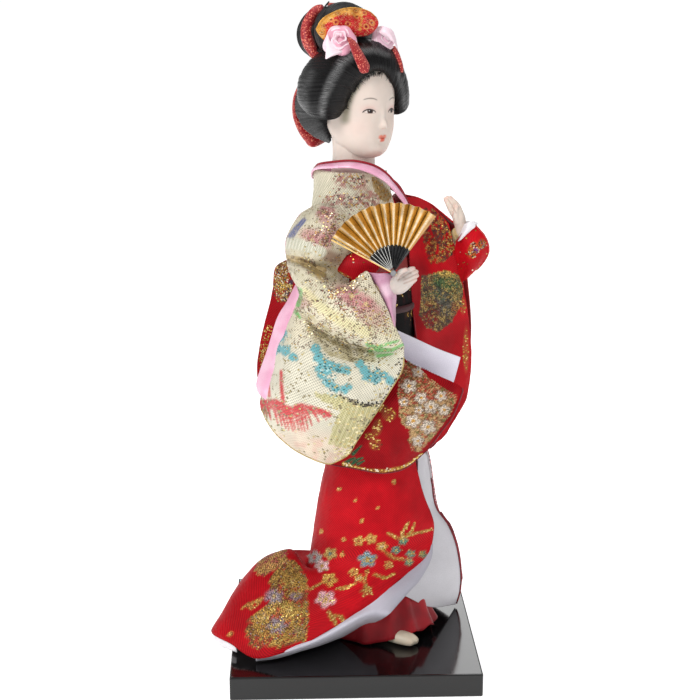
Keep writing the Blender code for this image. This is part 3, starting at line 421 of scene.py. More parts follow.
def lacquer():
    s = Shade("black_lacquer")
    vec = s.place()
    wide, fine = s.noise(vec, 30.0, 4.0), s.noise(vec, 1500.0, 2.0)
    geo = s.n("ShaderNodeNewGeometry")
    sep = s.n("ShaderNodeSeparateXYZ")
    s.t.links.new(geo.outputs["Normal"], sep.inputs[0])
    # upward faces get a lighter base colour than the sides: painted light on the board's top
    top = s.ramp(sep.outputs[2], 0.6, 0.95)
    side = s.mix(s.ramp(wide, 0.3, 0.7), rgb(4, 4, 4), rgb(10, 10, 10))
    s.set(Base_Color=s.mix(top, side, rgb(14, 13, 14)))
    s.put(s.b.inputs["Roughness"], s.do("ADD", s.ramp(wide, 0.2, 0.8, 0.07, 0.13), s.ramp(top, 0.0, 1.0, 0.3, 0.0)))
    s.b.inputs["Specular IOR Level"].default_value = 0.5
    s.bump(s.do("ADD", s.do("MULTIPLY", wide, 0.4), s.do("MULTIPLY", fine, 0.08)), 0.08, 0.0001)
    return s.m


def plain_mat(name, a, b, rough, metallic=0.0, scale=400.0, bump=0.15, spec=0.5, stretch=None):
    s = Shade(name)
    vec = s.place()
    if stretch:
        mp = s.n("ShaderNodeMapping")
        mp.inputs["Scale"].default_value = stretch
        s.t.links.new(vec, mp.inputs[0])
        vec = mp.outputs[0]
    f = s.noise(vec, scale, 4.0)
    s.set(Base_Color=s.mix(s.ramp(f, 0.3, 0.7), a, b))
    s.put(s.b.inputs["Roughness"], s.ramp(f, 0.2, 0.8, max(rough - 0.08, 0.02), rough + 0.08))
    s.b.inputs["Metallic"].default_value = metallic
    s.b.inputs["Specular IOR Level"].default_value = spec
    s.bump(f, bump, 0.0002)
    return s.m


def skin_mat():
    s = Shade("painted_skin")
    vec = s.place()
    f = s.noise(vec, 220.0, 4.0)
    fine = s.noise(vec, 2500.0, 2.0)
    shade = s.ramp(f, 0.3, 0.7, 0.965, 1.01)
    grey = s.n("ShaderNodeCombineColor")
    for c in range(3):
        s.put(grey.inputs[c], shade)
    s.set(Base_Color=s.mix(1.0, s.paint(), grey.outputs[0], "MULTIPLY"))
    s.put(s.b.inputs["Roughness"], s.ramp(fine, 0.2, 0.8, 0.4, 0.5))
    s.b.inputs["Specular IOR Level"].default_value = 0.4
    s.b.inputs["Subsurface Weight"].default_value = 0.12
    s.b.inputs["Subsurface Radius"].default_value = (0.002, 0.001, 0.0007)
    s.b.inputs["Subsurface Scale"].default_value = 0.6
    s.bump(s.do("ADD", s.do("MULTIPLY", f, 0.3), s.do("MULTIPLY", fine, 0.2)), 0.05, 0.0001)
    return s.m


def hair_mat():
    s = Shade("black_hair")
    vec, u, v = s.uv()
    mp = s.n("ShaderNodeMapping")
    mp.inputs["Scale"].default_value = (9.0, 0.22, 1.0)
    s.t.links.new(vec, mp.inputs[0])
    strand = s.noise(mp.outputs[0], 1.0, 6.0, 0.65)
    mp2 = s.n("ShaderNodeMapping")
    mp2.inputs["Scale"].default_value = (2.2, 0.12, 1.0)
    s.t.links.new(vec, mp2.inputs[0])
    lock = s.noise(mp2.outputs[0], 1.0, 3.0)
    # the paint holds painted highlights, added to the black base colour along the lit strands
    lit = s.n("ShaderNodeCombineColor")
    for c in range(3):
        s.put(lit.inputs[c], s.ramp(strand, 0.42, 0.6, 0.0, 2.1))
    shine = s.mix(1.0, s.paint(), lit.outputs[0], "MULTIPLY")
    s.set(Base_Color=s.mix(1.0, s.mix(s.ramp(strand, 0.3, 0.75), rgb(2, 2, 3), rgb(18, 17, 18)), shine, "ADD"))
    s.put(s.b.inputs["Roughness"], s.ramp(lock, 0.25, 0.75, 0.24, 0.38))
    s.b.inputs["Specular IOR Level"].default_value = 0.19
    s.b.inputs["Anisotropic"].default_value = 0.75
    tan = s.n("ShaderNodeTangent", direction_type="UV_MAP", uv_map="cloth")
    s.t.links.new(tan.outputs[0], s.b.inputs["Tangent"])
    s.bump(s.do("ADD", s.do("MULTIPLY", strand, 0.8), s.do("MULTIPLY", lock, 0.6)), 0.55, 0.0003)
    return s.m


def kanoko_mat():
    """Red ribbon with raised glittering dots."""
    s = Shade("dotted_red_ribbon")
    vec, u, v = s.uv()
    vor = s.n("ShaderNodeTexVoronoi")
    s.t.links.new(vec, vor.inputs["Vector"])
    vor.inputs["Scale"].default_value = 1.3
    vor.inputs["Randomness"].default_value = 0.75
    d = vor.outputs["Distance"]
    f = s.noise(vec, 3.0, 3.0)
    dots = s.ramp(d, 0.42, 0.2)
    col = s.mix(dots, rgb(150, 8, 20), rgb(214, 30, 40))
    col = s.mix(s.do("MULTIPLY", s.ramp(d, 0.5, 0.24), s.ramp(f, 0.34, 0.44)), col, rgb(250, 140, 112))
    s.set(Base_Color=col)
    s.put(s.b.inputs["Roughness"], s.ramp(f, 0.2, 0.8, 0.34, 0.5))
    s.b.inputs["Sheen Weight"].default_value = 0.1
    s.bump(s.do("ADD", dots, s.do("MULTIPLY", f, 0.3)), 0.6, 0.0004)
    return s.m


def gold_leaf_mat():
    s = Shade("gold_paper")
    vec = s.place()
    f = s.noise(vec, 300.0, 4.0)
    fine = s.noise(vec, 2400.0, 2.0)
    shade = s.n("ShaderNodeCombineColor")
    for c in range(3):
        s.put(shade.inputs[c], s.ramp(f, 0.3, 0.7, 0.86, 1.08))
    s.set(Base_Color=s.mix(1.0, s.paint(), shade.outputs[0], "MULTIPLY"))
    s.put(s.b.inputs["Roughness"], s.ramp(f, 0.2, 0.8, 0.22, 0.34))
    s.b.inputs["Metallic"].default_value = 0.35
    s.bump(s.do("ADD", s.do("MULTIPLY", f, 0.5), s.do("MULTIPLY", fine, 0.2)), 0.15, 0.0002)
    return s.m


M_LACQUER = lacquer()
M_STEEL = plain_mat("steel_wire", rgb(120, 120, 122), rgb(150, 150, 152), 0.35, 1.0, 600.0, 0.1)
M_STRAW = plain_mat("bound_straw", rgb(176, 150, 100), rgb(206, 184, 138), 0.85, 0.0, 300.0, 0.6, 0.2, (1, 1, 0.1))
M_SKIN = skin_mat()
M_HAIR = hair_mat()
M_KANOKO = kanoko_mat()
M_GOLD = gold_leaf_mat()
M_RIB = plain_mat("black_rib_lacquer", rgb(16, 16, 17), rgb(30, 30, 32), 0.32, 0.0, 500.0, 0.1)
# light grey for the rib edges that catch the light: a painted highlight
M_RIB_HIGHLIGHT = plain_mat("rib_edge_painted_highlight", rgb(196, 196, 192), rgb(226, 226, 222), 0.4, 0.3, 500.0, 0.1)
M_PIPING = thread_mat("edge_piping", 0.25, 0.45)

for name, mat in (("base_board", M_LACQUER), ("support_rod", M_STEEL), ("fan_rivet", M_STEEL), ("hair_pin", M_STEEL),
                  ("body_core", M_STRAW), ("arm_right", M_STRAW), ("arm_left", M_STRAW)):
    for k in range(len(NODES[name].material_slots)):
        NODES[name].material_slots[k].material = mat

# ------------------------------------------------------------------ painting
RNG = np.random.default_rng(11)


def blob(X, Y, cx, cy, rx, ry=None, rot=0.0, soft=0.25):
    """1 inside an ellipse of the picture, 0 outside."""
    ry = rx if ry is None else ry
    a = math.radians(rot)
    dx, dy = X - cx, Y - cy
    u, v = (dx * math.cos(a) + dy * math.sin(a)) / rx, (-dx * math.sin(a) + dy * math.cos(a)) / ry
    return 1 - smooth01(np.hypot(u, v), 1 - soft, 1 + soft)


def petals(X, Y, cx, cy, r, n=5, rot=0.0, squash=1.0, hollow=0.35, soft=0.12):
    dx, dy = X - cx, (Y - cy) / squash
    a = np.arctan2(dy, dx) - math.radians(rot)
    d = np.hypot(dx, dy) / r
    edge = 0.62 + 0.38 * np.abs(np.cos(a * n / 2))
    return (1 - smooth01(d / edge, 1 - soft, 1 + soft)) * smooth01(d, hollow * 0.6, hollow)


def stroke(X, Y, pts, w, soft=0.4):
    """1 within w of a polyline; w may be a (start, end) pair."""
    pts = np.asarray(pts, float)
    w0, w1 = (w, w) if np.isscalar(w) else w
    best = np.zeros(X.shape)
    n = len(pts) - 1
    for k in range(n):
        a, b = pts[k], pts[k + 1]
        d = b - a
        t = np.clip(((X - a[0]) * d[0] + (Y - a[1]) * d[1]) / max(d @ d, 1e-9), 0, 1)
        dist = np.hypot(X - a[0] - d[0] * t, Y - a[1] - d[1] * t)
        ww = w0 + (w1 - w0) * (k + t) / n
        best = np.maximum(best, 1 - smooth01(dist / np.maximum(ww, 1e-6), 1 - soft, 1 + soft))
    return best


def inside(X, Y, poly):
    poly = np.asarray(poly, float)
    hit = np.zeros(X.shape, bool)
    j = len(poly) - 1
    for i in range(len(poly)):
        xi, yi, xj, yj = *poly[i], *poly[j]
        hit ^= ((yi > Y) != (yj > Y)) & (X < (xj - xi) * (Y - yi) / (yj - yi + 1e-12) + xi)
        j = i
    return hit.astype(float)


def over(col, mask, colour, amount=1.0):
    m = np.clip(mask * amount, 0, 1)[..., None]
    return col * (1 - m) + np.asarray(colour) * m


def between(arr, i, j):
    """Values of a net at fractional rows i and columns j."""
    i0, j0 = np.clip(i.astype(int), 0, arr.shape[0] - 2), np.clip(j.astype(int), 0, arr.shape[1] - 2)
    fi, fj = i - i0, j - j0
    if arr.ndim == 3:
        fi, fj = fi[:, None], fj[:, None]
    return (arr[i0, j0] * (1 - fi) * (1 - fj) + arr[i0, j0 + 1] * (1 - fi) * fj + arr[i0 + 1, j0] * fi * (1 - fj) + arr[i0 + 1, j0 + 1] * fi * fj)


def stitches(name, jobs):
    """Threads that show on the cloth's face, laid in the rows of its weave.

    Each job: (sheet, mask, share of the places that get a thread, place width, place height, colours, gold?).
    The mask is a value per point of the sheet or a function of picture points; so are the colours."""
    for gold in (True, False):
        V, F, C, U = [], [], [], []
        total = 0
        for sheet, mask, share, pu, pv, colours, is_gold in jobs:
            if is_gold != gold:
                continue
            g, out = SHEETS[sheet]
            GU, GV = arclength(g)
            us, vs = np.arange(pu, GU[0, -1] - pu, pu), np.arange(pv, GV[-1, 0] - pv, pv)
            if not len(us) or not len(vs):
                continue
            uu, vv = np.meshgrid(us, vs)
            uu = uu + (np.arange(len(vs)) % 2)[:, None] * pu * 0.5
            keep_ = uu < GU[0, -1] - 0.3
            uu, vv = uu[keep_], vv[keep_]
            j, i = np.interp(uu, GU[0], np.arange(g.shape[1])), np.interp(vv, GV[:, 0], np.arange(g.shape[0]))
            pos = between(g, i, j)
            X_, Y_ = picture(pos)
            m_ = mask(X_, Y_) if callable(mask) else between(np.asarray(mask, float), i, j)
            take = RNG.random(len(m_)) < m_ * share
            if not take.any():
                continue
            i, j, pos, X_, Y_ = i[take], j[take], pos[take], X_[take], Y_[take]
            nn = between(out, i, j)
            nn /= np.linalg.norm(nn, axis=1, keepdims=True)
            du = between(g, i, np.minimum(j + 1, g.shape[1] - 1)) - between(g, i, np.maximum(j - 1, 0))
            du /= np.maximum(np.linalg.norm(du, axis=1, keepdims=True), 1e-9)
            dv = np.cross(nn, du)
            n_ = len(pos)
            wu, wv = pu * 0.46 * RNG.uniform(0.75, 1.05, (n_, 1)), pv * 0.40 * RNG.uniform(0.8, 1.1, (n_, 1))
            tilt = RNG.normal(0, 0.05, (n_, 1))
            quad = [pos + du * wu * x + dv * wv * y + nn * (0.05 + tilt * x * 0.5) for x, y in ((-1, -1), (1, -1), (1, 1), (-1, 1))]
            mid = [pos + dv * wv * y + nn * 0.15 for y in (-1, 1)]
            V.append(np.stack([quad[0], mid[0], quad[1], quad[2], mid[1], quad[3]], axis=1).reshape(-1, 3))
            k = total + 6 * np.arange(n_)[:, None]
            total += 6 * n_
            F.append(np.concatenate([k + np.array([0, 1, 4, 5]), k + np.array([1, 2, 3, 4])]))
            if callable(colours):
                cols = colours(X_, Y_)
            else:
                cols = np.array(colours)[RNG.integers(0, len(colours), n_)]
            C.append(np.repeat(cols * RNG.uniform(0.85, 1.1, (n_, 1)), 6, axis=0))
            U.append(np.tile(np.array([[0, 0], [.5, 0], [1, 0], [1, 1], [.5, 1], [0, 1.]]), (n_, 1)))
        if V:
            build(name + ("_gold_threads" if gold else "_silk_threads"), np.concatenate(V), np.concatenate(F),
                  [M_GOLDTHREAD if gold else M_SILKTHREAD], None, np.concatenate(U), np.concatenate(C))


GOLDS = [rgb(214, 178, 92), rgb(196, 152, 66), rgb(236, 208, 132), rgb(168, 122, 48)]
DARKS = [rgb(40, 32, 28), rgb(58, 48, 38), rgb(24, 22, 22), rgb(84, 70, 48)]
PALE = [rgb(232, 220, 196), rgb(216, 204, 172), rgb(240, 228, 206)]

W = "w"
# ------------------------------------------------------------------ cream sleeve
CREAM = [
    [(312, 206, -4), (318, 204, -12), (326, 206, -18), (336, 209, -20), (346, 214, -20), (354, 222, -19), (358, 232, -18)],
    [(299, 215, -4), (306, 217, -18), (318, 220, -27), (331, 224, -30), (343, 229, -28), (352, 236, -24), (357, 244, -19)],
    [(287, 235, -6), (296, 238, -24), (310, 241, -33), (325, 243, -35), (339, 245, -32), (349, 249, -27), (355, 254, -20)],
    [(285, 250, -8), (294, 254, -26), (308, 257, -34), (322, 259, -35), (335, 260, -32), (345, 262, -26), (350, 264, -19)],
    [(287, 259, -10), (296, 261, -24), (308, 264, -29), (320, 269, -29), (331, 275, -29), (341, 281, -28), (350, 284, -26)],
    [(287, 264, -12), (295, 268, -30), (307, 273, -37), (320, 280, -41), (334, 287, -43), (350, 288, -44), (366, 271, -41)],
    [(288, 269, -14), (296, 276, -34), (309, 284, -42), (323, 290, -47), (339, 295, -49), (357, 292, -49), (374, 284, -45)],
    [(291, 277, -16), (299, 286, -36), (312, 297, -45), (328, 305, -50), (346, 312, -52), (365, 309, -51), (384, 302, -46)],
    [(295, 284, -17), (302, 296, -35), (314, 311, -44), (330, 324, -49), (349, 333, -51), (371, 334, -50), (394, 323, -45)],
    [(297, 289, -17), (302, 302, -33), (312, 319, -40), (329, 334, -43), (350, 343, -45), (376, 347, -46), (404, 345, -43)],
    [(298, 293, -16), (301, 308, -29), (311, 323, -33), (329, 336, -35), (351, 345, -37), (378, 350, -39), (404, 350, -41)],
    [(293, 303, -16), (298, 317, -31), (311, 331, -36), (330, 345, -38), (353, 354, -40), (380, 359, -41), (404, 358, -41)],
    [(284, 325, -18), (291, 339, -34), (307, 351, -40), (330, 363, -43), (354, 370, -44), (379, 374, -44), (401, 372, -41)],
    [(274, 352, -20), (284, 366, -36), (303, 378, -43), (327, 388, -46), (350, 394, -47), (371, 396, -45), (389, 393, -41)],
    [(265, 380, -21), (277, 394, -37), (299, 407, -44), (322, 416, -46), (343, 421, -46), (361, 420, -45), (376, 414, -41)],
    [(260, 397, -22), (274, 415, -35), (297, 429, -41), (318, 437, -43), (336, 441, -43), (351, 438, -42), (362, 433, -40)],
    [(261, 408, -24), (272, 429, -31), (292, 448, -35), (311, 459, -37), (329, 464, -38), (342, 459, -38), (350, 453, -38)],
]


def rumple(g, amount, size, seed, also=0.0):
    """Small folds: the net moved along its normals by noise of that size in mm."""
    U, V = arclength(g)
    h = (fbm(U / size, V / size, seed, 3) - 0.5) * 2 * amount
    if also:
        h += (noise(U / 2.3 + 0.4 * V, V / 9.0, seed + 5) - 0.5) * also
    edge = np.ones(g.shape[:2])
    return g + behind(g, (0, -1, 0), 0.0) * (h * edge)[..., None]


g = net(CREAM, 104, 210)
g = rumple(g, 0.55, 9.0, 3)
X, Y = picture(g)
U, V = arclength(g)


def paint_cream(X, Y, U, V):
    col = np.broadcast_to(rgb(226, 216, 190), X.shape + (3,)).copy()
    n1 = fbm(X / 9, Y / 9, 1)
    col = over(col, smooth01(n1, 0.45, 0.7), rgb(206, 198, 168), 0.6)
    # paler, greyer lower part
    col = over(col, smooth01(Y, 330, 360) * (1 - smooth01(Y, 425, 450)), rgb(224, 219, 201), 0.75)
    # pinkish flowers of the shoulder and forearm, flecked with brown
    for cx, cy, rx, ry, a, s in ((327, 214, 9, 10, 30, .8), (317, 239, 17, 8, 25, .85), (331, 231, 8, 9, 0, .7), (338, 202, 9, 6, 0, .4),
                                 (362, 303, 27, 10, 38, 0.85), (350, 297, 15, 8, 30, .8), (372, 318, 15, 9, 35, .75), (305, 300, 7, 10, 50, .6)):
        m = blob(X + 3 * (noise(X / 3, Y / 3, 4) - .5) * 2, Y, cx, cy, rx, ry, a, 0.35)
        col = over(col, m, rgb(206, 150, 146), s)
    for cx, cy, r in ((324, 212, 7), (312, 240, 7), (326, 238, 6), (352, 296, 8), (366, 304, 8), (376, 316, 7), (341, 291, 6)):
        col = over(col, petals(X, Y, cx, cy, r, 5, cx * 7, 0.85, 0.3), rgb(190, 118, 122), 0.75)
        col = over(col, blob(X, Y, cx, cy, r * 0.3), rgb(216, 190, 130), 0.8)
    # painted shade: brown-tan in the fold below the elbow band
    col = over(col, blob(X, Y, 331, 257, 11, 6, 20, 0.5), rgb(150, 108, 84), 0.75)
    # long blue leaf
    m = stroke(X, Y, [(289, 239), (296, 229), (304, 220)], (3.4, 2.2), 0.3)
    col = over(col, m * (0.6 + 0.4 * (noise(U / 0.5, V / 0.5, 2) > 0.4)), rgb(86, 96, 152), 0.95)
    # gathered band at the elbow; its ribs are pale lit ridges painted over a greyer ground, painted light and shade of
    # the gathers
    m = stroke(X, Y, [(285, 243), (297, 244), (309, 247), (321, 252)], 5.6, 0.2)
    ribs = 0.5 + 0.5 * np.sin(X * 2 * math.pi / 3.3 + Y * 0.5)
    col = over(col, m, rgb(196, 196, 172), 0.9)
    col = over(col, m * ribs, rgb(236, 232, 214), 0.9)
    # gold-brown painted shade along the fold
    m = stroke(X, Y, [(287, 258), (299, 260), (312, 267), (322, 276)], (3.2, 4.5), 0.35)
    col = over(col, m, rgb(182, 152, 92), 0.85)
    # pale yellow of the forearm's fold
    m = stroke(X, Y, [(305, 292), (322, 308), (345, 323), (368, 332)], (4.5, 6.0), 0.6)
    col = over(col, m, rgb(226, 216, 164), 0.8)
    m = blob(X, Y, 380, 326, 22, 11, 35, 0.4)
    col = over(col, m, rgb(214, 204, 168), 0.55)
    # olive zone under the fold: partly the cloth's own olive, partly painted shade under the fold
    m = inside(X, Y, [(308, 312), (325, 326), (350, 342), (372, 350), (378, 362), (352, 362), (330, 356), (316, 344), (306, 330)])
    col = over(col, m * smooth01(fbm(X / 6, Y / 6, 8), 0.2, 0.6), rgb(172, 158, 112), 0.75)
    # green sprigs
    for pts, w in (([(368, 344), (378, 350), (392, 350), (404, 344)], (2.6, 1.4)), ([(370, 350), (384, 345), (398, 341)], (2.2, 1.0)),
                   ([(378, 356), (392, 354)], (1.8, 1.0)), ([(299, 291), (300, 298), (298, 305)], (3.4, 2.2)), ([(296, 312), (300, 318)], (2.0, 1.2))):
        col = over(col, stroke(X, Y, pts, w, 0.35), rgb(126, 196, 116), 0.9)
    # teal clouds
    clouds = (
        ((281.7, 328, 5.0), (280.7, 338, 4.2), (277.5, 348.5, 4.8), (285.5, 350.5, 5.0), (293, 357, 4.4), (284, 333, 3.5), (275.5, 351, 3.0)),
        ((315.5, 348.6, 5.0), (318.4, 357, 5.2), (324, 363.5, 5.4), (331.5, 366.5, 5.0), (339, 368.4, 4.8), (346.5, 370.2, 4.4),
         (322, 375, 4.5), (327.8, 382.5, 4.8), (335.3, 388, 4.6), (345, 389, 4.4), (327.8, 370.3, 4.5), (318, 369, 3.4), (349, 386.5, 3.0)),
        ((359.7, 363.7, 4.6), (364.4, 370.3, 5.0), (370, 377, 5.0), (376.7, 379.7, 4.6), (384.2, 375, 4.2), (389.8, 380.6, 4.4), (376.7, 373, 3.6), (365, 378, 3.0)),
    )
    wob = (noise(X / 1.6, Y / 1.6, 6) - 0.5) * 2.4
    for group in clouds:
        m = np.zeros(X.shape)
        for cx, cy, r in group:
            m = np.maximum(m, blob(X + wob, Y + wob, cx, cy, r, soft=0.16))
        col = over(col, m, rgb(96, 176, 186), 0.95)
        rim = np.clip(m * (1 - m) * 4, 0, 1)
        col = over(col, rim, rgb(78, 128, 128), 0.35)
    # the crane's wing: a long red back, two stems and hanging feathers
    red = rgb(204, 44, 56)
    m = stroke(X, Y, [(262, 405), (275, 404), (284, 409), (296, 412), (309, 409), (322, 412), (329, 415)], (5.5, 3.0), 0.3)
    m = np.maximum(m, blob(X, Y, 300, 407, 8, 3.6, -8))
    for x0, y0, x1, y1 in ((268, 408, 271, 420), (274, 408, 278, 424), (281, 411, 286, 428), (288, 412, 293, 431), (295, 413, 299, 430),
                           (301, 413, 305, 432), (307, 412, 312, 425), (313, 411, 319, 422), (319, 411, 326, 419), (262, 402, 265, 414),
                           (265, 406, 267, 417), (278, 410, 282, 426), (285, 411, 289, 430), (291, 413, 296, 432), (298, 413, 302, 431), (304, 412, 308, 429)):
        m = np.maximum(m, stroke(X, Y, [(x0, y0), (x1, y1)], (1.7, 0.7), 0.35))
    m = np.maximum(m, stroke(X, Y, [(267.5, 372), (268.5, 384), (269.5, 396)], (0.9, 1.5), 0.35))
    m = np.maximum(m, stroke(X, Y, [(281, 371), (281.5, 386), (283, 402)], (1.5, 2.1), 0.35))
    col = over(col, m * (0.75 + 0.25 * (noise(X / .8, Y / .8, 5) > 0.35)), red, 0.95)
    # striped gold-beige folded paper shape
    shape = inside(X + wob * .4, Y + wob * .4, [(315, 393), (335, 395), (350, 399), (362, 404), (377, 404), (380, 409), (366, 430), (355, 447),
                                               (343, 448), (327, 444), (333, 428), (340, 411), (328, 403), (316, 398)])
    col = over(col, shape, rgb(186, 178, 122), 0.9)
    stripe = 0.5 + 0.5 * np.sin((X * 0.92 + Y * 0.38) * 2 * math.pi / 4.6)
    col = over(col, shape * smooth01(stripe, 0.55, 0.8), rgb(214, 206, 160), 0.8)
    m = stroke(X, Y, [(340, 395), (352, 401), (364, 405), (378, 404)], 0.9) * (noise(X / 1.3, Y / 1.3, 3) > 0.45)
    col = over(col, m, rgb(56, 48, 40), 0.9)
    # pinkish hem
    m = smooth01(Y, 424, 440) * (1 - shape)
    col = over(col, m, rgb(230, 208, 190), 0.55)
    col = over(col, m * smooth01(fbm(X / 5, Y / 5, 12), 0.5, 0.7), rgb(224, 176, 160), 0.5)
    return col


col = paint_cream(X, Y, U, V)
cloth("sleeve_cream", g, 0.9, (0, 1, 0), [M_CREAM, M_PINK], col, rgb(228, 160, 186), ["sleeve_right_outer"],
      0.6)

lump = fbm(X / 5, Y / 5, 21)
fleck = smooth01(lump, 0.5, 0.62)
upper = (1 - smooth01(Y, 345, 352)) * (0.06 + 0.5 * fleck)
band = stroke(X, Y, [(285, 243), (321, 252)], 8)
zone = blob(X, Y, 372, 318, 24, 10, 38) + blob(X, Y, 343, 301, 18, 7, 35) + blob(X, Y, 318, 237, 15, 8, 25) + blob(X, Y, 331, 222, 8, 12) * .6
# olive threads in the zone under the fold, partly painted shade
olive = blob(X, Y, 345, 347, 34, 10, 28)
lower = smooth01(Y, 352, 360) * smooth01(fbm(X / 5, Y / 5, 30), 0.55, 0.7)
cl = np.zeros(X.shape)
for cx, cy, r in ((281, 340, 10), (322, 362, 10), (336, 372, 12), (373, 374, 12), (335, 388, 9)):
    cl = np.maximum(cl, blob(X, Y, cx, cy, r))
edge_r = smooth01(U, U.max() * 0.93, U.max() * 0.99)
stitches("sleeve_cream", [
    ("sleeve_cream", upper * (1 - band), 0.5, 0.75, 0.5, [rgb(120, 106, 84), rgb(142, 124, 98), rgb(92, 78, 62), rgb(156, 114, 100)], False),
    ("sleeve_cream", zone * (0.35 + fleck * .6), 0.55, 0.75, 0.5, [rgb(140, 88, 80), rgb(166, 104, 100), rgb(96, 70, 58), rgb(196, 136, 132)], False),
    ("sleeve_cream", olive, 0.3, 0.9, 0.65, [rgb(92, 82, 58), rgb(110, 98, 62), rgb(132, 120, 84)], False),
    ("sleeve_cream", lower, 0.3, 1.1, 0.9, [rgb(150, 140, 108), rgb(172, 162, 130)], False),
    ("sleeve_cream", cl * 0.6, 0.4, 0.9, 0.7, [rgb(44, 96, 100), rgb(64, 120, 124), rgb(190, 226, 224)], False),
    ("sleeve_cream", edge_r * smooth01(Y, 352, 362), 0.3, 0.9, 0.7, DARKS, False),
    ("sleeve_cream", stroke(X, Y, [(340, 395), (352, 401), (364, 405), (378, 404)], 1.6), 0.8, 1.1, 0.9, DARKS, False),
    ("sleeve_cream", zone * .5 + upper * 0.35, 0.35, 0.85, 0.62, GOLDS[:3] + PALE, True),
    ("sleeve_cream", 0.10 + 0.25 * smooth01(Y, 392, 404) * smooth01(X, 320, 345), 0.5, 1.2, 0.9, [rgb(232, 222, 182), rgb(214, 198, 140)], True),
])
e1 = g[143:, -1][::3]
e2 = g[-1, ::-1][::3]
tube("sleeve_cream_edge", np.concatenate([e1, e2[1:]]) + np.array([0, 0.1, 0]), 0.33, [M_PIPING], 8, 0, rgb(196, 172, 108))

# the back of the sleeve, round the arm
WRAP = [
    [(W, -10.5, 7, 211.5), (W, -14.5, 2.5, 212), (312, 206, -3.2)],
    [(W, -14, 7, 207), (W, -19.5, 2.5, 207.5), (299, 215, -3.2)],
    [(W, -13, 5, 198), (W, -23, 1.5, 198), (287, 235, -5.2)],
    [(W, -11, -1, 191), (W, -22, -1, 191.5), (285, 250, -7.2)],
    [(W, -9, -9, 186.5), (W, -20.5, -5.5, 187), (287, 261, -10.0)],
    [(W, -6, -19, 182), (W, -18.5, -12, 183), (288, 269, -13.2)],
    [(W, -5, -24, 177.5), (W, -17, -15.5, 178.5), (291.5, 277.5, -15.2)],
    [(W, -6, -26, 174), (W, -16.5, -17.5, 175), (297, 287, -16.2)],
]
g = rumple(net(WRAP, 50, 90), 0.4, 8.0, 31)
U, V = arclength(g)
n2 = fbm(U / 6, V / 6, 17)
col = np.broadcast_to(rgb(222, 212, 184), U.shape + (3,)).copy()
col = over(col, smooth01(n2, 0.5, 0.66), rgb(206, 152, 146), 0.7)
cloth("sleeve_cream_back", g, 0.7, (0, -1, 0), [M_CREAM, M_PINK], col, rgb(228, 160, 186), ["sleeve_right_back"],
      0.3)

# ------------------------------------------------------------------ pink lining at the sleeve's back edge
PINK = [
    [(295.5, 284, -11), (300, 287, -17), (312, 291, -24)],
    [(287, 301, -11), (293, 305, -20), (306, 310, -28)],
    [(277, 318, -12), (286, 324, -22), (300, 331, -30)],
    [(268, 347, -13), (277, 352, -24), (292, 361, -32)],
    [(256.8, 380, -14), (267, 383, -26), (284, 393, -33)],
    [(257, 391, -15), (262, 397, -25), (280, 410, -31)],
]
g = net(PINK, 30, 90)
X, Y = picture(g)
col = np.broadcast_to(rgb(233, 168, 196), X.shape + (3,)).copy()
col = over(col, smooth01(fbm(X / 10, Y / 14, 3), 0.4, 0.65), rgb(240, 192, 212), 0.7)
cloth("sleeve_pink_lining", g, 0.6, (0, 1, 0), [M_PINK, M_PINK], col, rgb(228, 160, 186), ["sleeve_right_pink_lining"],
      0.5)

# ------------------------------------------------------------------ red inner sleeve
RED_IN = [
    [(285, 260, 0), (300, 262, -8), (318, 264, -12), (335, 270, -15), (350, 278, -17), (365, 292, -19), (385, 322, -22)],
    [(275, 268, 2), (292, 285, -8), (315, 295, -13), (338, 306, -17), (360, 322, -21), (382, 340, -26), (404, 358, -30)],
    [(272, 290, 2), (290, 315, -8), (315, 330, -15), (340, 341, -20), (365, 352, -26), (398, 364, -31), (430, 372, -30)],
    [(265, 322, 0), (285, 350, -11), (315, 365, -20), (345, 373, -26), (378, 378, -32), (420, 381, -34), (460, 386, -28)],
    [(259, 350, -2), (280, 380, -16), (315, 395, -25), (350, 401, -31), (385, 403, -37), (425, 403, -36), (461, 397, -28)],
    [(257, 376, -5), (283, 405, -20), (318, 425, -28), (352, 431, -34), (385, 431, -38), (420, 425, -36), (452, 417, -28)],
    [(262, 398, -8), (290, 428, -20), (320, 447, -28), (352, 452, -33), (383, 453, -36), (412, 446, -34), (440, 433, -28)],
    [(268, 412, -10), (295, 442, -18), (325, 462, -24), (353, 468, -28), (384, 473, -31), (407, 467, -30), (429, 449, -27)],
]
g = rumple(net(RED_IN, 152, 134), 0.5, 12.0, 41)
X, Y = picture(g)
U, V = arclength(g)
RED = rgb(206, 16, 30)
RED_DEEP = rgb(168, 8, 22)


def red_base(X, Y, seed):
    col = np.broadcast_to(RED, X.shape + (3,)).copy()
    return over(col, smooth01(fbm(X / 22, Y / 22, seed), 0.4, 0.7), RED_DEEP, 0.45)


col = red_base(X, Y, 2) * 0.56
BROCADE = [(401, 363), (414, 362), (428, 377), (443, 388), (457.5, 396), (456, 402), (448, 418), (434, 436), (420, 452), (412, 450), (408, 440),
           (410, 430), (402, 424), (399, 411), (398, 392)]
ROSETTES = [(409, 386, 8.5), (421, 398, 7), (431, 407, 8), (428, 427, 8.5), (413, 421, 8), (441, 396, 6.5), (418, 372, 6.5), (444, 410, 6.5), (418, 441, 6.5),
            (404, 402, 5.5), (419, 410, 5)]


def in_brocade(x, y):
    return inside(x + 2 * (noise(x / 2, y / 2, 3) - .5), y, BROCADE)


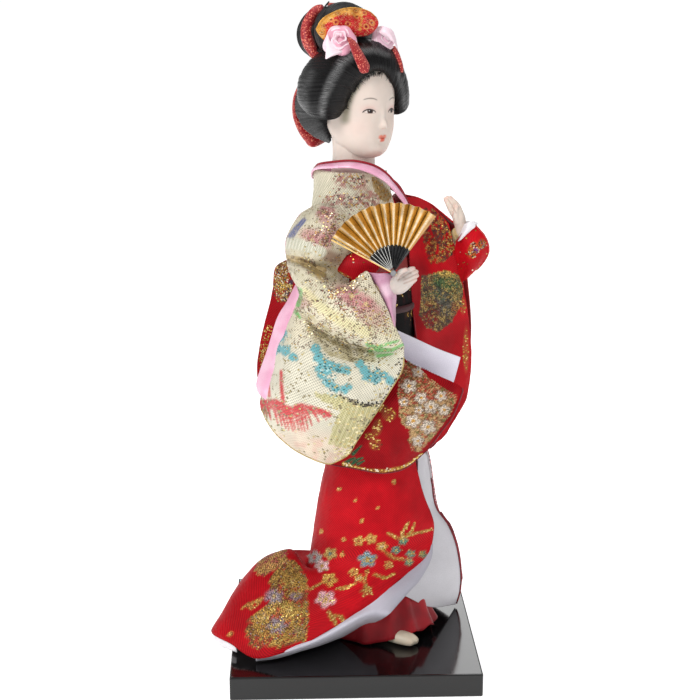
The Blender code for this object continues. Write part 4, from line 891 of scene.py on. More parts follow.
def brocade_colours(x, y):
    c_ = np.broadcast_to(rgb(196, 160, 112), x.shape + (3,)).copy()
    diag = 0.5 + 0.5 * np.sin((x + y * 0.9) * 2 * math.pi / 3.0)
    c_ = over(c_, (diag > 0.55) * (y < 400), rgb(176, 30, 36), 0.85)
    c_ = over(c_, fbm(x / 2.4, y / 2.4, 9) > 0.6, rgb(168, 52, 44), 0.85)
    c_ = over(c_, fbm(x / 2.0, y / 2.0, 19) > 0.62, rgb(120, 82, 48), 0.8)
    c_ = over(c_, fbm(x / 3, y / 3, 12) > 0.66, rgb(92, 110, 56), 0.7)
    for cx, cy, r in ROSETTES:
        p_ = petals(x, y, cx, cy, r, 5, cx * 11, 0.9, 0.25, 0.2)
        d_ = np.hypot(x - cx, (y - cy) / 0.9) / r
        a_ = np.arctan2((y - cy) / 0.9, x - cx) - math.radians(cx * 11)
        rim_ = np.exp(-((p_ - 0.45) / 0.3) ** 2) * (d_ < 1.15) + (np.abs(np.sin(a_ * 2.5)) < 0.2) * (d_ < 0.8)
        c_ = over(c_, p_, rgb(226, 214, 198), 0.9)
        c_ = over(c_, np.clip(rim_, 0, 1), rgb(96, 58, 34), 0.7)
        c_ = over(c_, d_ < 0.24, rgb(214, 160, 70), 0.95)
    return c_


m = in_brocade(X, Y)
col = col * (1 - m[..., None]) + brocade_colours(X, Y) * m[..., None]
small = np.maximum.reduce([blob(X, Y, 377, 428, 5, 9, 10), blob(X, Y, 375, 444, 6, 6), blob(X, Y, 389, 415, 7, 6), blob(X, Y, 383, 409, 5, 4),
                           blob(X, Y, 370, 436, 5, 4), blob(X, Y, 432, 452, 5, 3)])
col = over(col, small, rgb(140, 78, 44), 0.65)
for pts, w in (([(345, 464), (350, 460), (355, 458)], (2.4, 0.9)), ([(349, 466), (354, 463)], (2.2, 1.2)), ([(354, 462), (359, 459), (363, 458)], (2.0, 0.8)),
               ([(353, 454), (357, 450), (361, 446)], (1.9, 0.9)), ([(358, 464), (364, 461)], (1.8, 0.8)), ([(346, 469), (350, 466)], (2.0, 1.2))):
    col = over(col, stroke(X, Y, pts, w, 0.35), rgb(38, 96, 66), 0.92)
left_motif = np.maximum(blob(X, Y, 279, 276, 10, 16, 10), blob(X, Y, 284, 292, 9, 10))
col = over(col, left_motif, rgb(170, 70, 46), 0.7)
col = over(col, stroke(X, Y, [(284, 299), (289, 289), (291, 282)], 2.4), rgb(60, 54, 70), 0.9)
col = over(col, blob(X, Y, 282, 286, 5, 3, 30), rgb(228, 190, 90), 0.8)
hem_line = stroke(X, Y, [(344, 464), (353, 467.5), (366, 470.5), (384, 471.5), (403, 467.5), (413, 461.5), (421, 455)], (2.2, 1.6), 0.4)
col = over(col, hem_line, rgb(170, 126, 60), 0.7)
cloth("sleeve_red_inner", g, 1.0, (0, 1, 0), [M_RED, M_WHITE], col, rgb(214, 214, 226), ["sleeve_right_inner"],
      0.6)
def leftish(x, y):
    return np.clip(blob(x, y, 279, 276, 10, 16, 10) + blob(x, y, 284, 292, 9, 10), 0, 1)


stitches("sleeve_red_inner", [
    ("sleeve_red_inner", in_brocade, 0.3, 0.8, 0.55, brocade_colours, True),
    ("sleeve_red_inner", in_brocade, 0.2, 0.8, 0.55, brocade_colours, False),
    ("sleeve_red_inner", small, 0.45, 0.9, 0.7, GOLDS + [rgb(120, 40, 30)], True),
    ("sleeve_red_inner", hem_line, 0.6, 0.9, 0.7, GOLDS[:3] + PALE[:1], True),
    ("sleeve_red_inner", left_motif, 0.45, 0.9, 0.7, GOLDS, True),
    ("sleeve_red_inner", left_motif, 0.35, 0.9, 0.7, DARKS + PALE + [rgb(90, 60, 110)], False),
    ("sleeve_red_inner", blob(X, Y, 268, 345, 7, 22, 8) + blob(X, Y, 262, 355, 5, 14), 0.3, 0.9, 0.7, GOLDS, True),
])
edge = np.concatenate([g[-1, 41:][::4], g[:, -1][::-1][4:74:4]])
tube("sleeve_red_inner_edge", edge, 0.34, [M_PIPING], 8, 0, rgb(120, 20, 34))

# ------------------------------------------------------------------ white lining of the red sleeve
PANEL = [
    [(396, 330, -22.5), (415, 338.5, -21), (438, 349, -19), (460.5, 357.5, -17)],
    [(394, 346, -23), (413, 355, -22), (436, 365, -20), (457.5, 369, -18)],
    [(391, 365, -24), (410, 374, -23), (432, 381, -21), (453.5, 383, -20)],
    [(387, 385, -25), (408, 394, -24), (428, 400, -23), (448, 400, -22)],
]
g = net(PANEL, 60, 50)
X, Y = picture(g)
col = np.broadcast_to(rgb(228, 224, 236), X.shape + (3,)).copy()
col = over(col, 1 - smooth01((Y - 330) - (X - 396) * 0.43, 0, 10), rgb(238, 236, 244), 0.6)
cloth("sleeve_white_lining", g, 0.9, (0, 1, 0), [M_WHITE, M_WHITE], col, rgb(206, 204, 220), ["sleeve_right_white_lining"],
      0.8)

# ------------------------------------------------------------------ left sleeve
LEFT = [
    [(405, 197, 8), (412, 197, 10), (420, 198, 12), (428, 203, 12), (436, 210, 11), (443, 217, 9), (449, 224, 7)],
    [(412, 214, 0), (418, 214, 1.5), (425, 215, 3), (432, 218, 5), (440, 224, 6), (447, 231, 5), (453, 240, 3)],
    [(410, 240, -3), (417, 240, -1), (425, 240, 2), (434, 242, 6), (443, 245, 7), (452, 250, 6), (459, 258, 4)],
    [(410, 270, -4), (417, 270, -2), (426, 270, 1), (436, 271, 5), (447, 272, 6), (456, 275, 6), (463, 284, 6)],
    [(412, 301, -4), (419, 301, -2), (429, 302, 1), (440, 302, 3), (451, 303, 5), (460, 304, 7), (467, 307, 9)],
    [(416, 335, -5), (424, 336, -3), (433, 337, 1), (444, 338, 5), (454, 339, 8), (464, 339, 10), (471, 339, 12)],
    [(420, 370, -2), (429, 371, 0), (437, 372, 4), (448, 373, 8), (458, 373, 10), (466, 373, 12), (471, 372, 14)],
    [(427, 405, 5), (434, 407, 6), (441, 408, 8), (448, 408, 10), (455, 407, 12), (461, 405, 13), (465, 402, 14)],
    [(428, 432, 6), (433, 436, 6), (438, 437, 8), (443, 436, 9), (447, 433, 10), (450, 427, 11), (453, 420, 12)],
    [(427, 448, 8), (430, 448, 8), (432, 447, 9), (434, 445, 9), (436, 442, 9), (438, 439, 10), (440, 435, 11)],
]
LEFT_BACK = [
    [(W, 21, 10.8, 215.2), (W, 30, 14.5, 212.6), (W, 37, 15.0, 209), (W, 43, 11.8, 204.4), (W, 47.5, 8.6, 201)],
    [(W, 19, 20, 212.5), (W, 29, 22, 207.5), (W, 37, 21, 203), (W, 44, 16.5, 200), (W, 50, 11, 198.5)],
    [(W, 17, 28.5, 204), (W, 28, 29.5, 199), (W, 38, 25.5, 194.5), (W, 46, 19, 191.5), (W, 53, 12.5, 189.5)],
    [(W, 17, 29, 186), (W, 28, 28.5, 182), (W, 38, 24.5, 178.5), (W, 47, 19, 177), (W, 53.5, 14, 177)],
    [(W, 23, 28, 156), (W, 32, 27.5, 152), (W, 41, 23.5, 149.5), (W, 49.5, 19, 148), (W, 56, 15.5, 147)],
    [(W, 31, 24, 121), (W, 37, 23.5, 117), (W, 43, 21.5, 115), (W, 48.5, 19, 115), (W, 53.5, 17.2, 116)],
    [(W, 34, 16, 98), (W, 36, 15.5, 96), (W, 38.5, 14.8, 96), (W, 40.8, 14, 98), (W, 43, 13.5, 101)],
]
MOUTH = [
    [(456, 242, 3), (461, 236, 0), (466, 229, -1), (472, 222, 0)],
    [(455, 254, 4), (466, 247, -2), (477, 240, -2), (485, 236, 1)],
    [(457, 265, 4), (469, 261, -2), (480, 256, -2), (489, 250, 2)],
    [(459, 275, 5), (468, 272, 0), (476, 268, 0), (484, 262, 3)],
    [(461, 283, 6), (465, 280, 3), (469, 277, 3), (473, 273, 4)],
]
g = rumple(net(LEFT, 60, 170), 0.45, 9.0, 51)
X, Y = picture(g)
U, V = arclength(g)
col = red_base(X, Y, 5) * 0.84
fan = inside(X + 1.5 * (noise(X / 2, Y / 2, 3) - .5), Y, [(421, 276), (430, 274), (446, 270), (460, 276), (463, 290), (462, 304), (452, 322), (440, 331), (428, 329), (419, 316), (421, 296)])
top = inside(X, Y, [(424, 208), (434, 209), (446, 222), (454, 240), (453, 254), (444, 262), (430, 264), (424, 244), (421, 226)])
# painted shadow: deep red along the sleeve's edge next to the body, in the fold between bodice and sleeve
col = over(col, smooth01(Y, 262, 300) * 0 + (1 - smooth01(X, 424, 434)) * smooth01(Y, 250, 268) * (1 - smooth01(Y, 322, 336)), rgb(120, 8, 18), 0.6)
col = over(col, top * smooth01(fbm(X / 3, Y / 3, 3), 0.38, 0.5), rgb(86, 44, 34), 0.75)
col = over(col, top * smooth01(fbm(X / 2.5, Y / 2.5, 13), 0.52, 0.6), rgb(170, 126, 70), 0.7)
col = over(col, fan, rgb(92, 84, 66), 0.85)
for cx, cy, rx, ry, ang, c in ((446, 274, 12, 4.5, 12, rgb(206, 178, 92)), (447, 284, 15, 7, 14, rgb(72, 104, 64)), (455, 296, 5, 10, 0, rgb(150, 128, 76)),
                               (438, 298, 9, 10, 0, rgb(82, 88, 78)), (447, 306, 8, 12, 10, rgb(98, 96, 84)), (430, 308, 9, 9, 0, rgb(120, 46, 40)),
                               (430, 321, 10, 7, 10, rgb(140, 34, 34)), (443, 324, 8, 6, -20, rgb(96, 74, 56)), (456, 310, 5, 8, 0, rgb(150, 92, 52))):
    col = over(col, blob(X, Y, cx, cy, rx, ry, ang, soft=0.35) * fan, c, 0.85)
col = over(col, fan * smooth01(fbm(X / 2.2, Y / 2.2, 23), 0.55, 0.63), rgb(184, 156, 92), 0.7)
col = over(col, fan * (fbm(X / 2.6, Y / 2.6, 29) > 0.64), rgb(40, 44, 40), 0.7)
far_low = blob(X, Y, 466, 350, 3, 22) + blob(X, Y, 463, 306, 3, 8)
col = over(col, far_low, rgb(190, 96, 60), 0.5)
cloth("sleeve_left_front", g, 1.1, (0, 1, 0), [M_RED_FINE, M_WHITE], col, rgb(214, 210, 220), ["sleeve_left"], 0.7)
edge_left = (1 - smooth01(U, 0, 1.2)) * smooth01(Y, 330, 345)
mesh_gold = fan * smooth01(np.abs(np.sin((X + Y) * 0.9)), 0.2, 0.5)
stitches("sleeve_left", [
    ("sleeve_left_front", top * smooth01(fbm(X / 3, Y / 3, 3), .4, .5), 0.25, 0.8, 0.6, [rgb(60, 34, 28), rgb(96, 30, 28)], False),
    ("sleeve_left_front", top * smooth01(fbm(X / 3, Y / 3, 6), .4, .5), 0.22, 0.8, 0.6, GOLDS[:2] + GOLDS[3:], True),
    ("sleeve_left_front", mesh_gold, 0.14, 0.8, 0.6, [rgb(186, 160, 96), rgb(150, 124, 66)], True),
    ("sleeve_left_front", fan * (Y < 300), 0.2, 0.8, 0.6, [rgb(52, 88, 56), rgb(70, 108, 72), rgb(40, 50, 42)], False),
    ("sleeve_left_front", fan * (Y >= 300), 0.2, 0.8, 0.6, [rgb(72, 72, 62), rgb(50, 44, 44), rgb(112, 44, 40), rgb(104, 100, 88)], False),
    ("sleeve_left_front", far_low + blob(X, Y, 452, 240, 6, 14) * .5, 0.35, 0.95, 0.7, GOLDS, True),
])
tube("sleeve_left_edge", np.concatenate([g[81:, 0][::5], g[-1][::12]]) - np.array([0, 0.2, 0]), 0.42, [M_PIPING], 8, 0, rgb(150, 18, 34))

gm = rumple(net(MOUTH, 40, 60), 0.3, 6.0, 52)
X, Y = picture(gm)
col = red_base(X, Y, 6)
spots = blob(X, Y, 473, 250, 5, 8, 20) + blob(X, Y, 482, 244, 4, 5)
col = over(col, spots, rgb(180, 110, 50), 0.6)
col = over(col, blob(X, Y, 476, 250, 2.6, 2.2), rgb(120, 60, 130), 0.9)
cloth("sleeve_left_mouth", gm, 0.9, (0, 1, 0), [M_RED_FINE, M_WHITE], col, rgb(224, 222, 228), (), 0.7)
stitches("sleeve_left_mouth", [("sleeve_left_mouth", spots + 0.06, 0.5, 0.9, 0.7, GOLDS + PALE, True),
                               ("sleeve_left_mouth", spots, 0.3, 0.9, 0.7, DARKS + [rgb(110, 60, 120)], False)])
tube("sleeve_left_mouth_edge", np.concatenate([gm[0][::6], gm[1:, -1][::6]]), 0.4, [M_PIPING], 8, 0, rgb(196, 60, 60))

g = rumple(net(LEFT_BACK, 44, 84), 0.5, 11.0, 53)
X, Y = picture(g)
cloth("sleeve_left_rear", g, 0.9, (0, -1, 0), [M_RED_FINE, M_WHITE], red_base(X * 1.3, Y, 7), rgb(150, 14, 24), ["sleeve_left_back"], 0.3)

# ------------------------------------------------------------------ cuffs
def ring_cloth(name, sections, thick, nu, nv, mats, paint, also, folds=0.0, count=9, seed=0, arc=(0.0, 360.0), shape=None):
    """A closed round of cloth; sections: (centre, side, up, a, b)."""
    rows = []
    t = np.radians(np.linspace(arc[0], arc[1], nu))
    cs = ways([c for c, *_ in sections], nv)
    ab = ways([(a, b) for *_, a, b in sections], nv)
    s, u = (np.asarray(v, float) for v in sections[0][1:3])
    ph = noise(np.cos(t) * 2.2 + 5, np.sin(t) * 2.2 + 5, seed) * 4
    g = cs[:, None] + s * (np.cos(t)[None, :, None] * ab[:, 0][:, None, None]) + u * (np.sin(t)[None, :, None] * ab[:, 1][:, None, None])
    if folds:
        k = np.linspace(0.2, 1, nv)[:, None]
        wave = np.sin(t * count + ph)[None, :] * folds * k
        out = s * np.cos(t)[None, :, None] + u * np.sin(t)[None, :, None]
        g = g + out * wave[..., None]
    if shape is not None:
        g = shape(g)
    centre = cs.mean(0)
    n = normals(g)
    sign = 1 if ((centre - g) * n).sum() > 0 else -1
    n = n * sign
    seam = n[:, 0] + n[:, -1]
    n[:, 0] = n[:, -1] = seam / np.linalg.norm(seam, axis=1, keepdims=True)
    A, B = g, g + n * thick
    U, V = arclength(g)
    uv = np.stack([U, V], axis=-1).reshape(-1, 2)
    front = quads(nv, nu, flip=sign > 0)
    back = front[:, ::-1] + nv * nu
    e0 = np.arange(nu)
    e1 = (nv - 1) * nu + np.arange(nu)
    rim = []
    for e, f in ((e0, sign > 0), (e1, sign < 0)):
        q = np.stack([e[:-1], e[1:], e[1:] + nv * nu, e[:-1] + nv * nu], axis=-1)
        rim.append(q if f else q[:, ::-1])
    col = paint(U, V).reshape(-1, 3) if callable(paint) else np.broadcast_to(paint, (nv * nu, 3))
    F = np.concatenate([front, back] + rim)
    o = build(name, np.concatenate([A.reshape(-1, 3), B.reshape(-1, 3)]), F, mats, [0] * len(front) + [1] * len(back) + [0] * sum(len(r) for r in rim),
              np.concatenate([uv, uv]), np.concatenate([col, col]), also)
    bm = bmesh.new()
    bm.from_mesh(o.data)
    bmesh.ops.remove_doubles(bm, verts=bm.verts, dist=1e-6)
    bm.to_mesh(o.data)
    bm.free()
    SHEETS[name] = (g, -n)
    return g


ring_cloth("cuff_white", [(np.array(c), BF, BL, a, b) for c, a, b in (((50.4, 6.4, 193.8), 3.4, 3.0), ((50.9, 6.4, 196.8), 3.8, 3.3),
           ((51.6, 6.4, 199.6), 4.2, 3.6), ((52.3, 6.4, 202.0), 4.8, 4.0))], 0.5, 60, 24, [M_WHITE, M_WHITE], rgb(238, 236, 240),
           ["cuff_left_white"], 0.25, 5, 3)
VCUFF = [
    [(463.5, 224.5, 2.5), (466.5, 223.0, -1.2), (470.5, 221.5, -1.8), (475.0, 221.0, 0)],
    [(461.5, 229.5, 2.5), (465, 229.0, -2.0), (469.5, 227.5, -2.6), (475.4, 226.5, -1.0)],
    [(459.2, 235.5, 2.5), (462, 235.5, -2.0), (466.0, 233.5, -2.4), (471, 230.5, -1.4)],
    [(457.2, 241.5, 3), (459, 241.0, -1.2), (461.5, 239.5, -1.6), (464.5, 237.0, -0.8)],
]
g = net(VCUFF, 30, 30)
cloth("cuff_white_fold", g, 0.6, (0, 1, 0), [M_WHITE, M_WHITE], np.broadcast_to(rgb(240, 238, 242), g.shape).copy(), None, (),
      0.7)
PINK_CUFF = [
    [(367.5, 272.5, -40), (377, 273.5, -44.5), (387, 273.5, -45), (396, 277, -41)],
    [(373.5, 283, -42), (381, 285, -46), (389, 286, -46), (396.2, 287, -42)],
    [(379.5, 294, -43), (385.5, 296, -46), (391, 297, -46), (396.2, 298, -42)],
    [(386.5, 308, -43.5), (390, 309, -46), (393, 310, -45.5), (396.0, 311, -42)],
    [(392.2, 321, -44), (393.4, 322, -45.5), (394.8, 323, -45), (396.0, 324, -42)],
    [(394.6, 328.5, -44), (395.0, 329, -44.6), (395.5, 329.5, -44.4), (395.9, 330, -42.6)],
]
g = rumple(net(PINK_CUFF, 40, 40), 0.25, 5.0, 61)
X, Y = picture(g)
# the paler blob on the pink cuff is a painted highlight on the satin
cloth("cuff_pink", g, 0.6, (0, 1, 0), [M_PINK, M_PINK], over(over(np.broadcast_to(rgb(198, 148, 172), g.shape).copy(), smooth01(fbm(X / 6, Y / 6, 4), .4, .6), rgb(184, 130, 156), .5), blob(X, Y, 387, 290, 6, 10, 70, 0.6), rgb(226, 194, 208), .8),
      None, ["cuff_right_pink"], 0.9)

# ------------------------------------------------------------------ skirt
SKIRT = [
    [(W, 27, -8, 150), (412, 440, -12), (416, 461, -13), (422, 488, -13), (432, 517, -12), (434, 534, -12), (428, 556, -17), (410, 578, -24), (387, 599, -31)],
    [(W, 20, -12, 150), (396, 442, -18), (396, 465, -20), (398, 495, -22), (402, 525, -23), (400, 545, -24), (392, 567, -28), (378, 590, -33), (362, 613, -37)],
    [(W, 11, -14, 150), (376, 443, -20), (372, 468, -22), (370, 500, -24), (368, 530, -26), (364, 552, -28), (357, 575, -32), (346, 602, -38), (333, 628, -42)],
    [(W, 2, -12, 150), (355, 443, -18), (348, 468, -19), (343, 500, -20), (339, 532, -22), (334, 560, -24), (327, 580, -28), (312, 612, -38), (296, 648, -44.5)],
    [(W, -4, -8, 150), (339, 442, -13), (334, 467, -13), (327, 500, -13), (322, 533, -14), (318, 566, -16), (302, 572, -22), (284, 610, -36), (257, 658.5, -44)],
    [(W, -8, 0, 150), (331, 441, -4), (326, 465, -4), (319, 500, -3), (313, 537, -3), (306, 572, -4), (290, 549, -6), (262, 592, -26), (231, 644, -34)],
    [(W, -8, 8, 150), (W, -9, 8, 105), (W, -11, 9, 93), (W, -14, 10, 75), (W, -17, 11, 55), (W, -21, 12, 40), (268, 556, 0), (243, 582, -12), (211.5, 631, -18)],
    [(W, -3, 15, 150), (W, -4, 16, 105), (W, -5, 17, 93), (W, -7, 19, 75), (W, -10, 21, 55), (W, -15, 22, 40), (W, -34, 14, 42), (W, -50, 12, 28), (W, -58, 8, 13.5)],
    [(W, 5, 19, 150), (W, 5, 20, 105), (W, 4, 22, 93), (W, 3, 24, 75), (W, 1, 26, 55), (W, -3, 28, 40), (W, -14, 30, 32), (W, -27, 31, 22), (W, -34, 31, 13.5)],
    [(W, 14, 20, 150), (W, 15, 22, 105), (W, 16, 24, 93), (W, 17, 27, 75), (W, 16, 29, 55), (W, 14, 31, 40), (W, 8, 34, 30), (W, 2, 36, 21), (W, -2, 37, 13.5)],
    [(W, 22, 17, 150), (W, 25, 19, 105), (W, 27, 21, 93), (W, 30, 25, 75), (W, 33, 28, 55), (W, 34, 30, 40), (W, 33, 32, 30), (W, 32, 33, 21), (W, 31, 34, 13.5)],
    [(W, 28, 9, 150), (W, 32, 12, 105), (430, 455, 14), (438, 505, 16), (450, 525, 17), (457, 545, 18), (460, 565, 18), (461, 578, 18), (458, 590, 18)],
]
g = net([list(r) for r in zip(*SKIRT)], 196, 118)
g = rumple(g, 0.6, 14.0, 71)
g[:, :, 2] = np.maximum(g[:, :, 2], FLOOR + 0.35)
X, Y = picture(g)
U, V = arclength(g)
col = red_base(X, Y, 9) * (0.8 + 0.16 * smooth01(X, 315, 350))[..., None]
K = 1 / 5.41


def zoomed(*p):
    """Points given on an enlarged part of the picture (5.41 times, from 200, 430)."""
    return [(200 + a * K, 430 + b * K) for a, b in p]


front = (np.arange(g.shape[1])[None, :] < 112) * np.ones((g.shape[0], 1))
train = inside(X + 1.6 * (noise(X / 2, Y / 2, 3) - .5), Y + 1.6 * (noise(X / 2, Y / 2, 8) - .5),
               zoomed((510, 700), (575, 790), (585, 900), (590, 1000), (575, 1140), (430, 1175), (290, 1185), (245, 1100), (260, 1020), (340, 960), (400, 900), (370, 820), (440, 700)))
train_top = inside(X, Y, zoomed((290, 760), (330, 680), (400, 640), (470, 650), (470, 720), (400, 760), (340, 790)))
col = over(col, train * front, rgb(178, 144, 74), 0.92)
col = over(col, train * front * smooth01(fbm(X / 4.5, Y / 4.5, 14), 0.53, 0.6), rgb(176, 40, 44), 0.8)
col = over(col, train * front * (fbm(X / 2.2, Y / 2.2, 44) > 0.57), rgb(104, 70, 44), 0.75)
for cx, cy, r, c in ((400, 900, 40, rgb(150, 140, 150)), (420, 1060, 44, rgb(138, 126, 136)), (330, 1090, 34, rgb(168, 120, 60)), (500, 820, 38, rgb(170, 130, 66)),
                     (480, 980, 40, rgb(176, 138, 72)), (540, 1090, 30, rgb(150, 120, 90)), (345, 1010, 28, rgb(190, 150, 90)), (520, 900, 26, rgb(140, 120, 130))):
    (px_, py_), = zoomed((cx, cy))
    col = over(col, petals(X, Y, px_, py_, r * K * 1.3, 6, cx, 0.8, 0.22, 0.25) * front, c, 0.9)
    col = over(col, blob(X, Y, px_, py_, r * K * 0.3) * front, rgb(206, 176, 110), 0.9)
col = over(col, train_top * front, rgb(190, 152, 92), 0.85)
col = over(col, train_top * front * (fbm(X / 3, Y / 3, 15) > 0.52), rgb(150, 52, 70), 0.8)
FLOWERS = [((905, 700), 50, rgb(130, 165, 172), rgb(216, 176, 90)), ((680, 915), 54, rgb(232, 186, 190), rgb(214, 170, 90)), ((620, 690), 40, rgb(170, 176, 172), rgb(206, 60, 60)),
           ((660, 735), 40, rgb(226, 190, 190), rgb(200, 150, 80)), ((705, 670), 38, rgb(178, 150, 90), rgb(90, 120, 116)), ((700, 810), 42, rgb(206, 160, 80), rgb(150, 50, 44)),
           ((860, 600), 30, rgb(206, 160, 84), rgb(160, 40, 40)), ((925, 590), 32, rgb(212, 168, 92), rgb(160, 40, 40)), ((985, 630), 30, rgb(206, 160, 84), rgb(220, 200, 170)),
           ((830, 770), 26, rgb(210, 164, 84), rgb(150, 40, 40)), ((862, 802), 26, rgb(206, 160, 84), rgb(230, 210, 180)), ((900, 870), 34, rgb(168, 90, 52), rgb(214, 170, 90)),
           ((1100, 600), 26, rgb(84, 150, 126), rgb(214, 176, 90)), ((1060, 650), 26, rgb(80, 140, 130), rgb(214, 176, 90)), ((1140, 670), 26, rgb(92, 150, 136), rgb(214, 176, 90)),
           ((1205, 672), 24, rgb(84, 146, 120), rgb(214, 176, 90)), ((1130, 715), 24, rgb(84, 150, 126), rgb(214, 176, 90)), ((1020, 730), 24, rgb(206, 160, 90), rgb(150, 40, 40)),
           ((755, 320), 13, rgb(214, 172, 96), rgb(214, 172, 96)), ((1050, 280), 13, rgb(214, 172, 96), rgb(214, 172, 96)), ((875, 490), 13, rgb(214, 172, 96), rgb(214, 172, 96)),
           ((775, 590), 13, rgb(214, 172, 96), rgb(214, 172, 96)), ((770, 675), 14, rgb(214, 172, 96), rgb(214, 172, 96)), ((655, 550), 14, rgb(214, 172, 96), rgb(214, 172, 96)),
           ((960, 420), 12, rgb(214, 172, 96), rgb(214, 172, 96)), ((840, 380), 11, rgb(214, 172, 96), rgb(214, 172, 96)), ((160, 1110), 14, rgb(214, 172, 96), rgb(214, 172, 96))]
flower = np.zeros(X.shape)
for (cx, cy), r, c, core_c in FLOWERS:
    (px_, py_), = zoomed((cx, cy))
    m = petals(X, Y, px_, py_, r * K * 1.05, 5, cx * 3, 0.85, 0.2, 0.14) * front
    col = over(col, m, c, 0.95)
    col = over(col, blob(X, Y, px_, py_, r * K * 0.25) * front, core_c, 0.95)
    flower = np.maximum(flower, m)
STEMS = [((1020, 560), (1080, 590), (1160, 560), (1250, 540)), ((1090, 590), (1100, 540), (1130, 500)), ((1120, 575), (1150, 540), (1160, 505)), ((980, 640), (1040, 690), (1100, 700)),
         ((690, 980), (720, 1020), (740, 1060)), ((700, 1000), (760, 1010), (785, 1040)), ((650, 830), (600, 860), (560, 850)), ((905, 760), (890, 820), (900, 860)),
         ((300, 930), (340, 905), (300, 960), (235, 955), (300, 930)), ((740, 860), (800, 850), (840, 830)), ((940, 780), (1000, 800), (1050, 780))]
stem = np.zeros(X.shape)
for s_ in STEMS:
    stem = np.maximum(stem, stroke(X, Y, zoomed(*s_), 1.1, 0.4) * front)
col = over(col, stem, rgb(196, 150, 80), 0.85)
inner = (np.array([12.0, 4.0, 0.0]) - g) * (np.arange(g.shape[0]) < 54)[:, None, None]
cloth("skirt_red", g, 1.0, inner, [M_RED, M_WHITE], col, rgb(222, 214, 216), ["skirt_outer"], 0.0)
stitches("skirt_red", [
    ("skirt_red", train * front * (0.35 + smooth01(fbm(X / 4, Y / 4, 18), .4, .6)), 0.3, 0.85, 0.6, GOLDS[:2] + [rgb(190, 170, 96), rgb(150, 130, 60), rgb(120, 90, 40)], True),
    ("skirt_red", train * front, 0.08, 0.85, 0.6, [rgb(150, 136, 128), rgb(120, 30, 34), rgb(70, 60, 40)], False),
    ("skirt_red", train_top * front, 0.22, 0.85, 0.6, GOLDS, True),
    ("skirt_red", flower, 0.16, 0.8, 0.6, GOLDS[:3], True),
    ("skirt_red", stem, 0.5, 0.8, 0.6, GOLDS, True),
])
e_near = g[:, 0] if abs(X[60, 0] - 420) < abs(X[60, -1] - 420) else g[:, -1]
e_far = g[:, -1] if e_near is not g[:, -1] and not np.allclose(e_near, g[:, -1]) else g[:, 0]
tube("skirt_far_edge", e_far[47::5] + np.array([0.3, -0.5, 0]), 0.42, [M_PIPING], 8, 0, rgb(140, 22, 40))


def level(px, py, z):
    """The point of the picture that lies at height z."""
    d = FW + RT * (px - 350) / REACH - UPV * (py - 350) / REACH
    return (W, *(EYE + d * ((z - EYE[2]) / d[2])))


# the turned white edge below the red hem
FOLD = [
    [(431, 541, -13.0), (432, 543, -13.4), (433, 546, -13), (430, 548, -9)],
    [(427, 553, -16.0), (429, 556, -17.5), (431.5, 559, -16.5), (426, 560, -10)],
    [(415, 566, -21), (419, 572, -24.0), (421.4, 578.5, -23), (413, 579, -15)],
    [(401, 579, -27), (406, 587, -30), (410.7, 590.5, -28.5), (402, 592, -20)],
    [(384, 592, -31), (392, 599, -33.5), (398.6, 604.0, -32.5), (388, 600, -26)],
    [(369, 601, -34), (378, 610, -36.5), (385.5, 617.0, -35.8), (375, 612, -31)],
    [(352, 612, -37.0), (359, 620, -39.5), level(364, 627.6, 13.2), level(355, 623, 12)],
    [(333, 623, -39.0), (339, 631, -42.2), level(341, 637.8, 12.8), level(336, 633, 12)],
    [(313, 635, -41.0), (318, 641.5, -43.4), level(320, 645.8, 12.5), level(315, 641, 12)],
    [(297, 643, -43), (299, 648.5, -44.6), level(300, 651.8, 12.3), level(297, 648, 12)],
    [(277, 651, -43.5), (278, 655, -44.6), level(278, 658.2, 12.2), level(277, 655, 12)],
    [(256, 657.5, -42.6), (256, 659, -43.4), level(256, 661.2, 12.1), level(257, 659, 12)],
]
g = rumple(net(FOLD, 26, 150), 0.25, 10.0, 77)
g[:, :, 2] = np.maximum(g[:, :, 2], FLOOR + 0.15)
# painted shade: the turned white edge is greyer towards its right end
cloth("skirt_white_fold", g, 0.7, (0, 1, 0), [M_WHITE, M_WHITE], over(np.broadcast_to(rgb(196, 193, 204), g.shape).copy(), smooth01(picture(g)[0], 368, 398), rgb(158, 155, 166), 0.85), None, ["skirt_lining"],
      0.5)
TIP = [
    [(210.5, 630, -17.5), (213, 636, -20), level(215, 641, 12.6)],
    [(217, 633, -22), (220, 641, -26), level(222, 647, 12.2)],
    [(225, 638.5, -27.5), (227, 643, -29.6), level(228, 649.2, 12.2)],
    [(235, 645.5, -32.5), (236, 648.5, -34), level(237, 652.5, 12.2)],
]
g = net(TIP, 12, 34)
g[:, :, 2] = np.maximum(g[:, :, 2], FLOOR + 0.15)
cloth("skirt_white_tip", g, 0.7, (0, 1, 0), [M_WHITE, M_WHITE], np.broadcast_to(rgb(230, 226, 230), g.shape).copy(), None, (), 0.5)
LAPEL = [
    [(418, 450, 5), (424, 452, 9), (427.4, 455, 13.2)],
    [(418, 478, 3), (425, 480, 7), (431.2, 482, 14.6)],
    [(418, 505, 2), (427, 507, 7), (435.6, 507, 15.4)],
    [(420, 524, 2), (434, 526, 8), (448, 525, 16.2)],
    [(420, 545, -3), (438, 546, 6), (456, 545, 17)],
    [(413, 571, -13.5), (438, 573, -1), (460.2, 570.5, 17.2)],
    [(407, 589, -19.5), (434, 594, -6), (459.8, 591, 17.2)],
    [(405, 596, -21.5), (430.5, 607.0, -7.5), (455.5, 604.5, 17)],
]
g = rumple(net(LAPEL, 40, 84), 0.35, 16.0, 79)
X, Y = picture(g)
cloth("skirt_white_lapel", g, 0.8, (0, 1, 0), [M_WHITE, M_WHITE], np.broadcast_to(rgb(206, 204, 209), g.shape).copy(), None, (),
      0.6)
tube("skirt_lapel_edge", g[:, -1][10::4] + np.array([0.25, -0.1, 0]), 0.4, [M_PIPING], 8, 0, rgb(146, 26, 42))

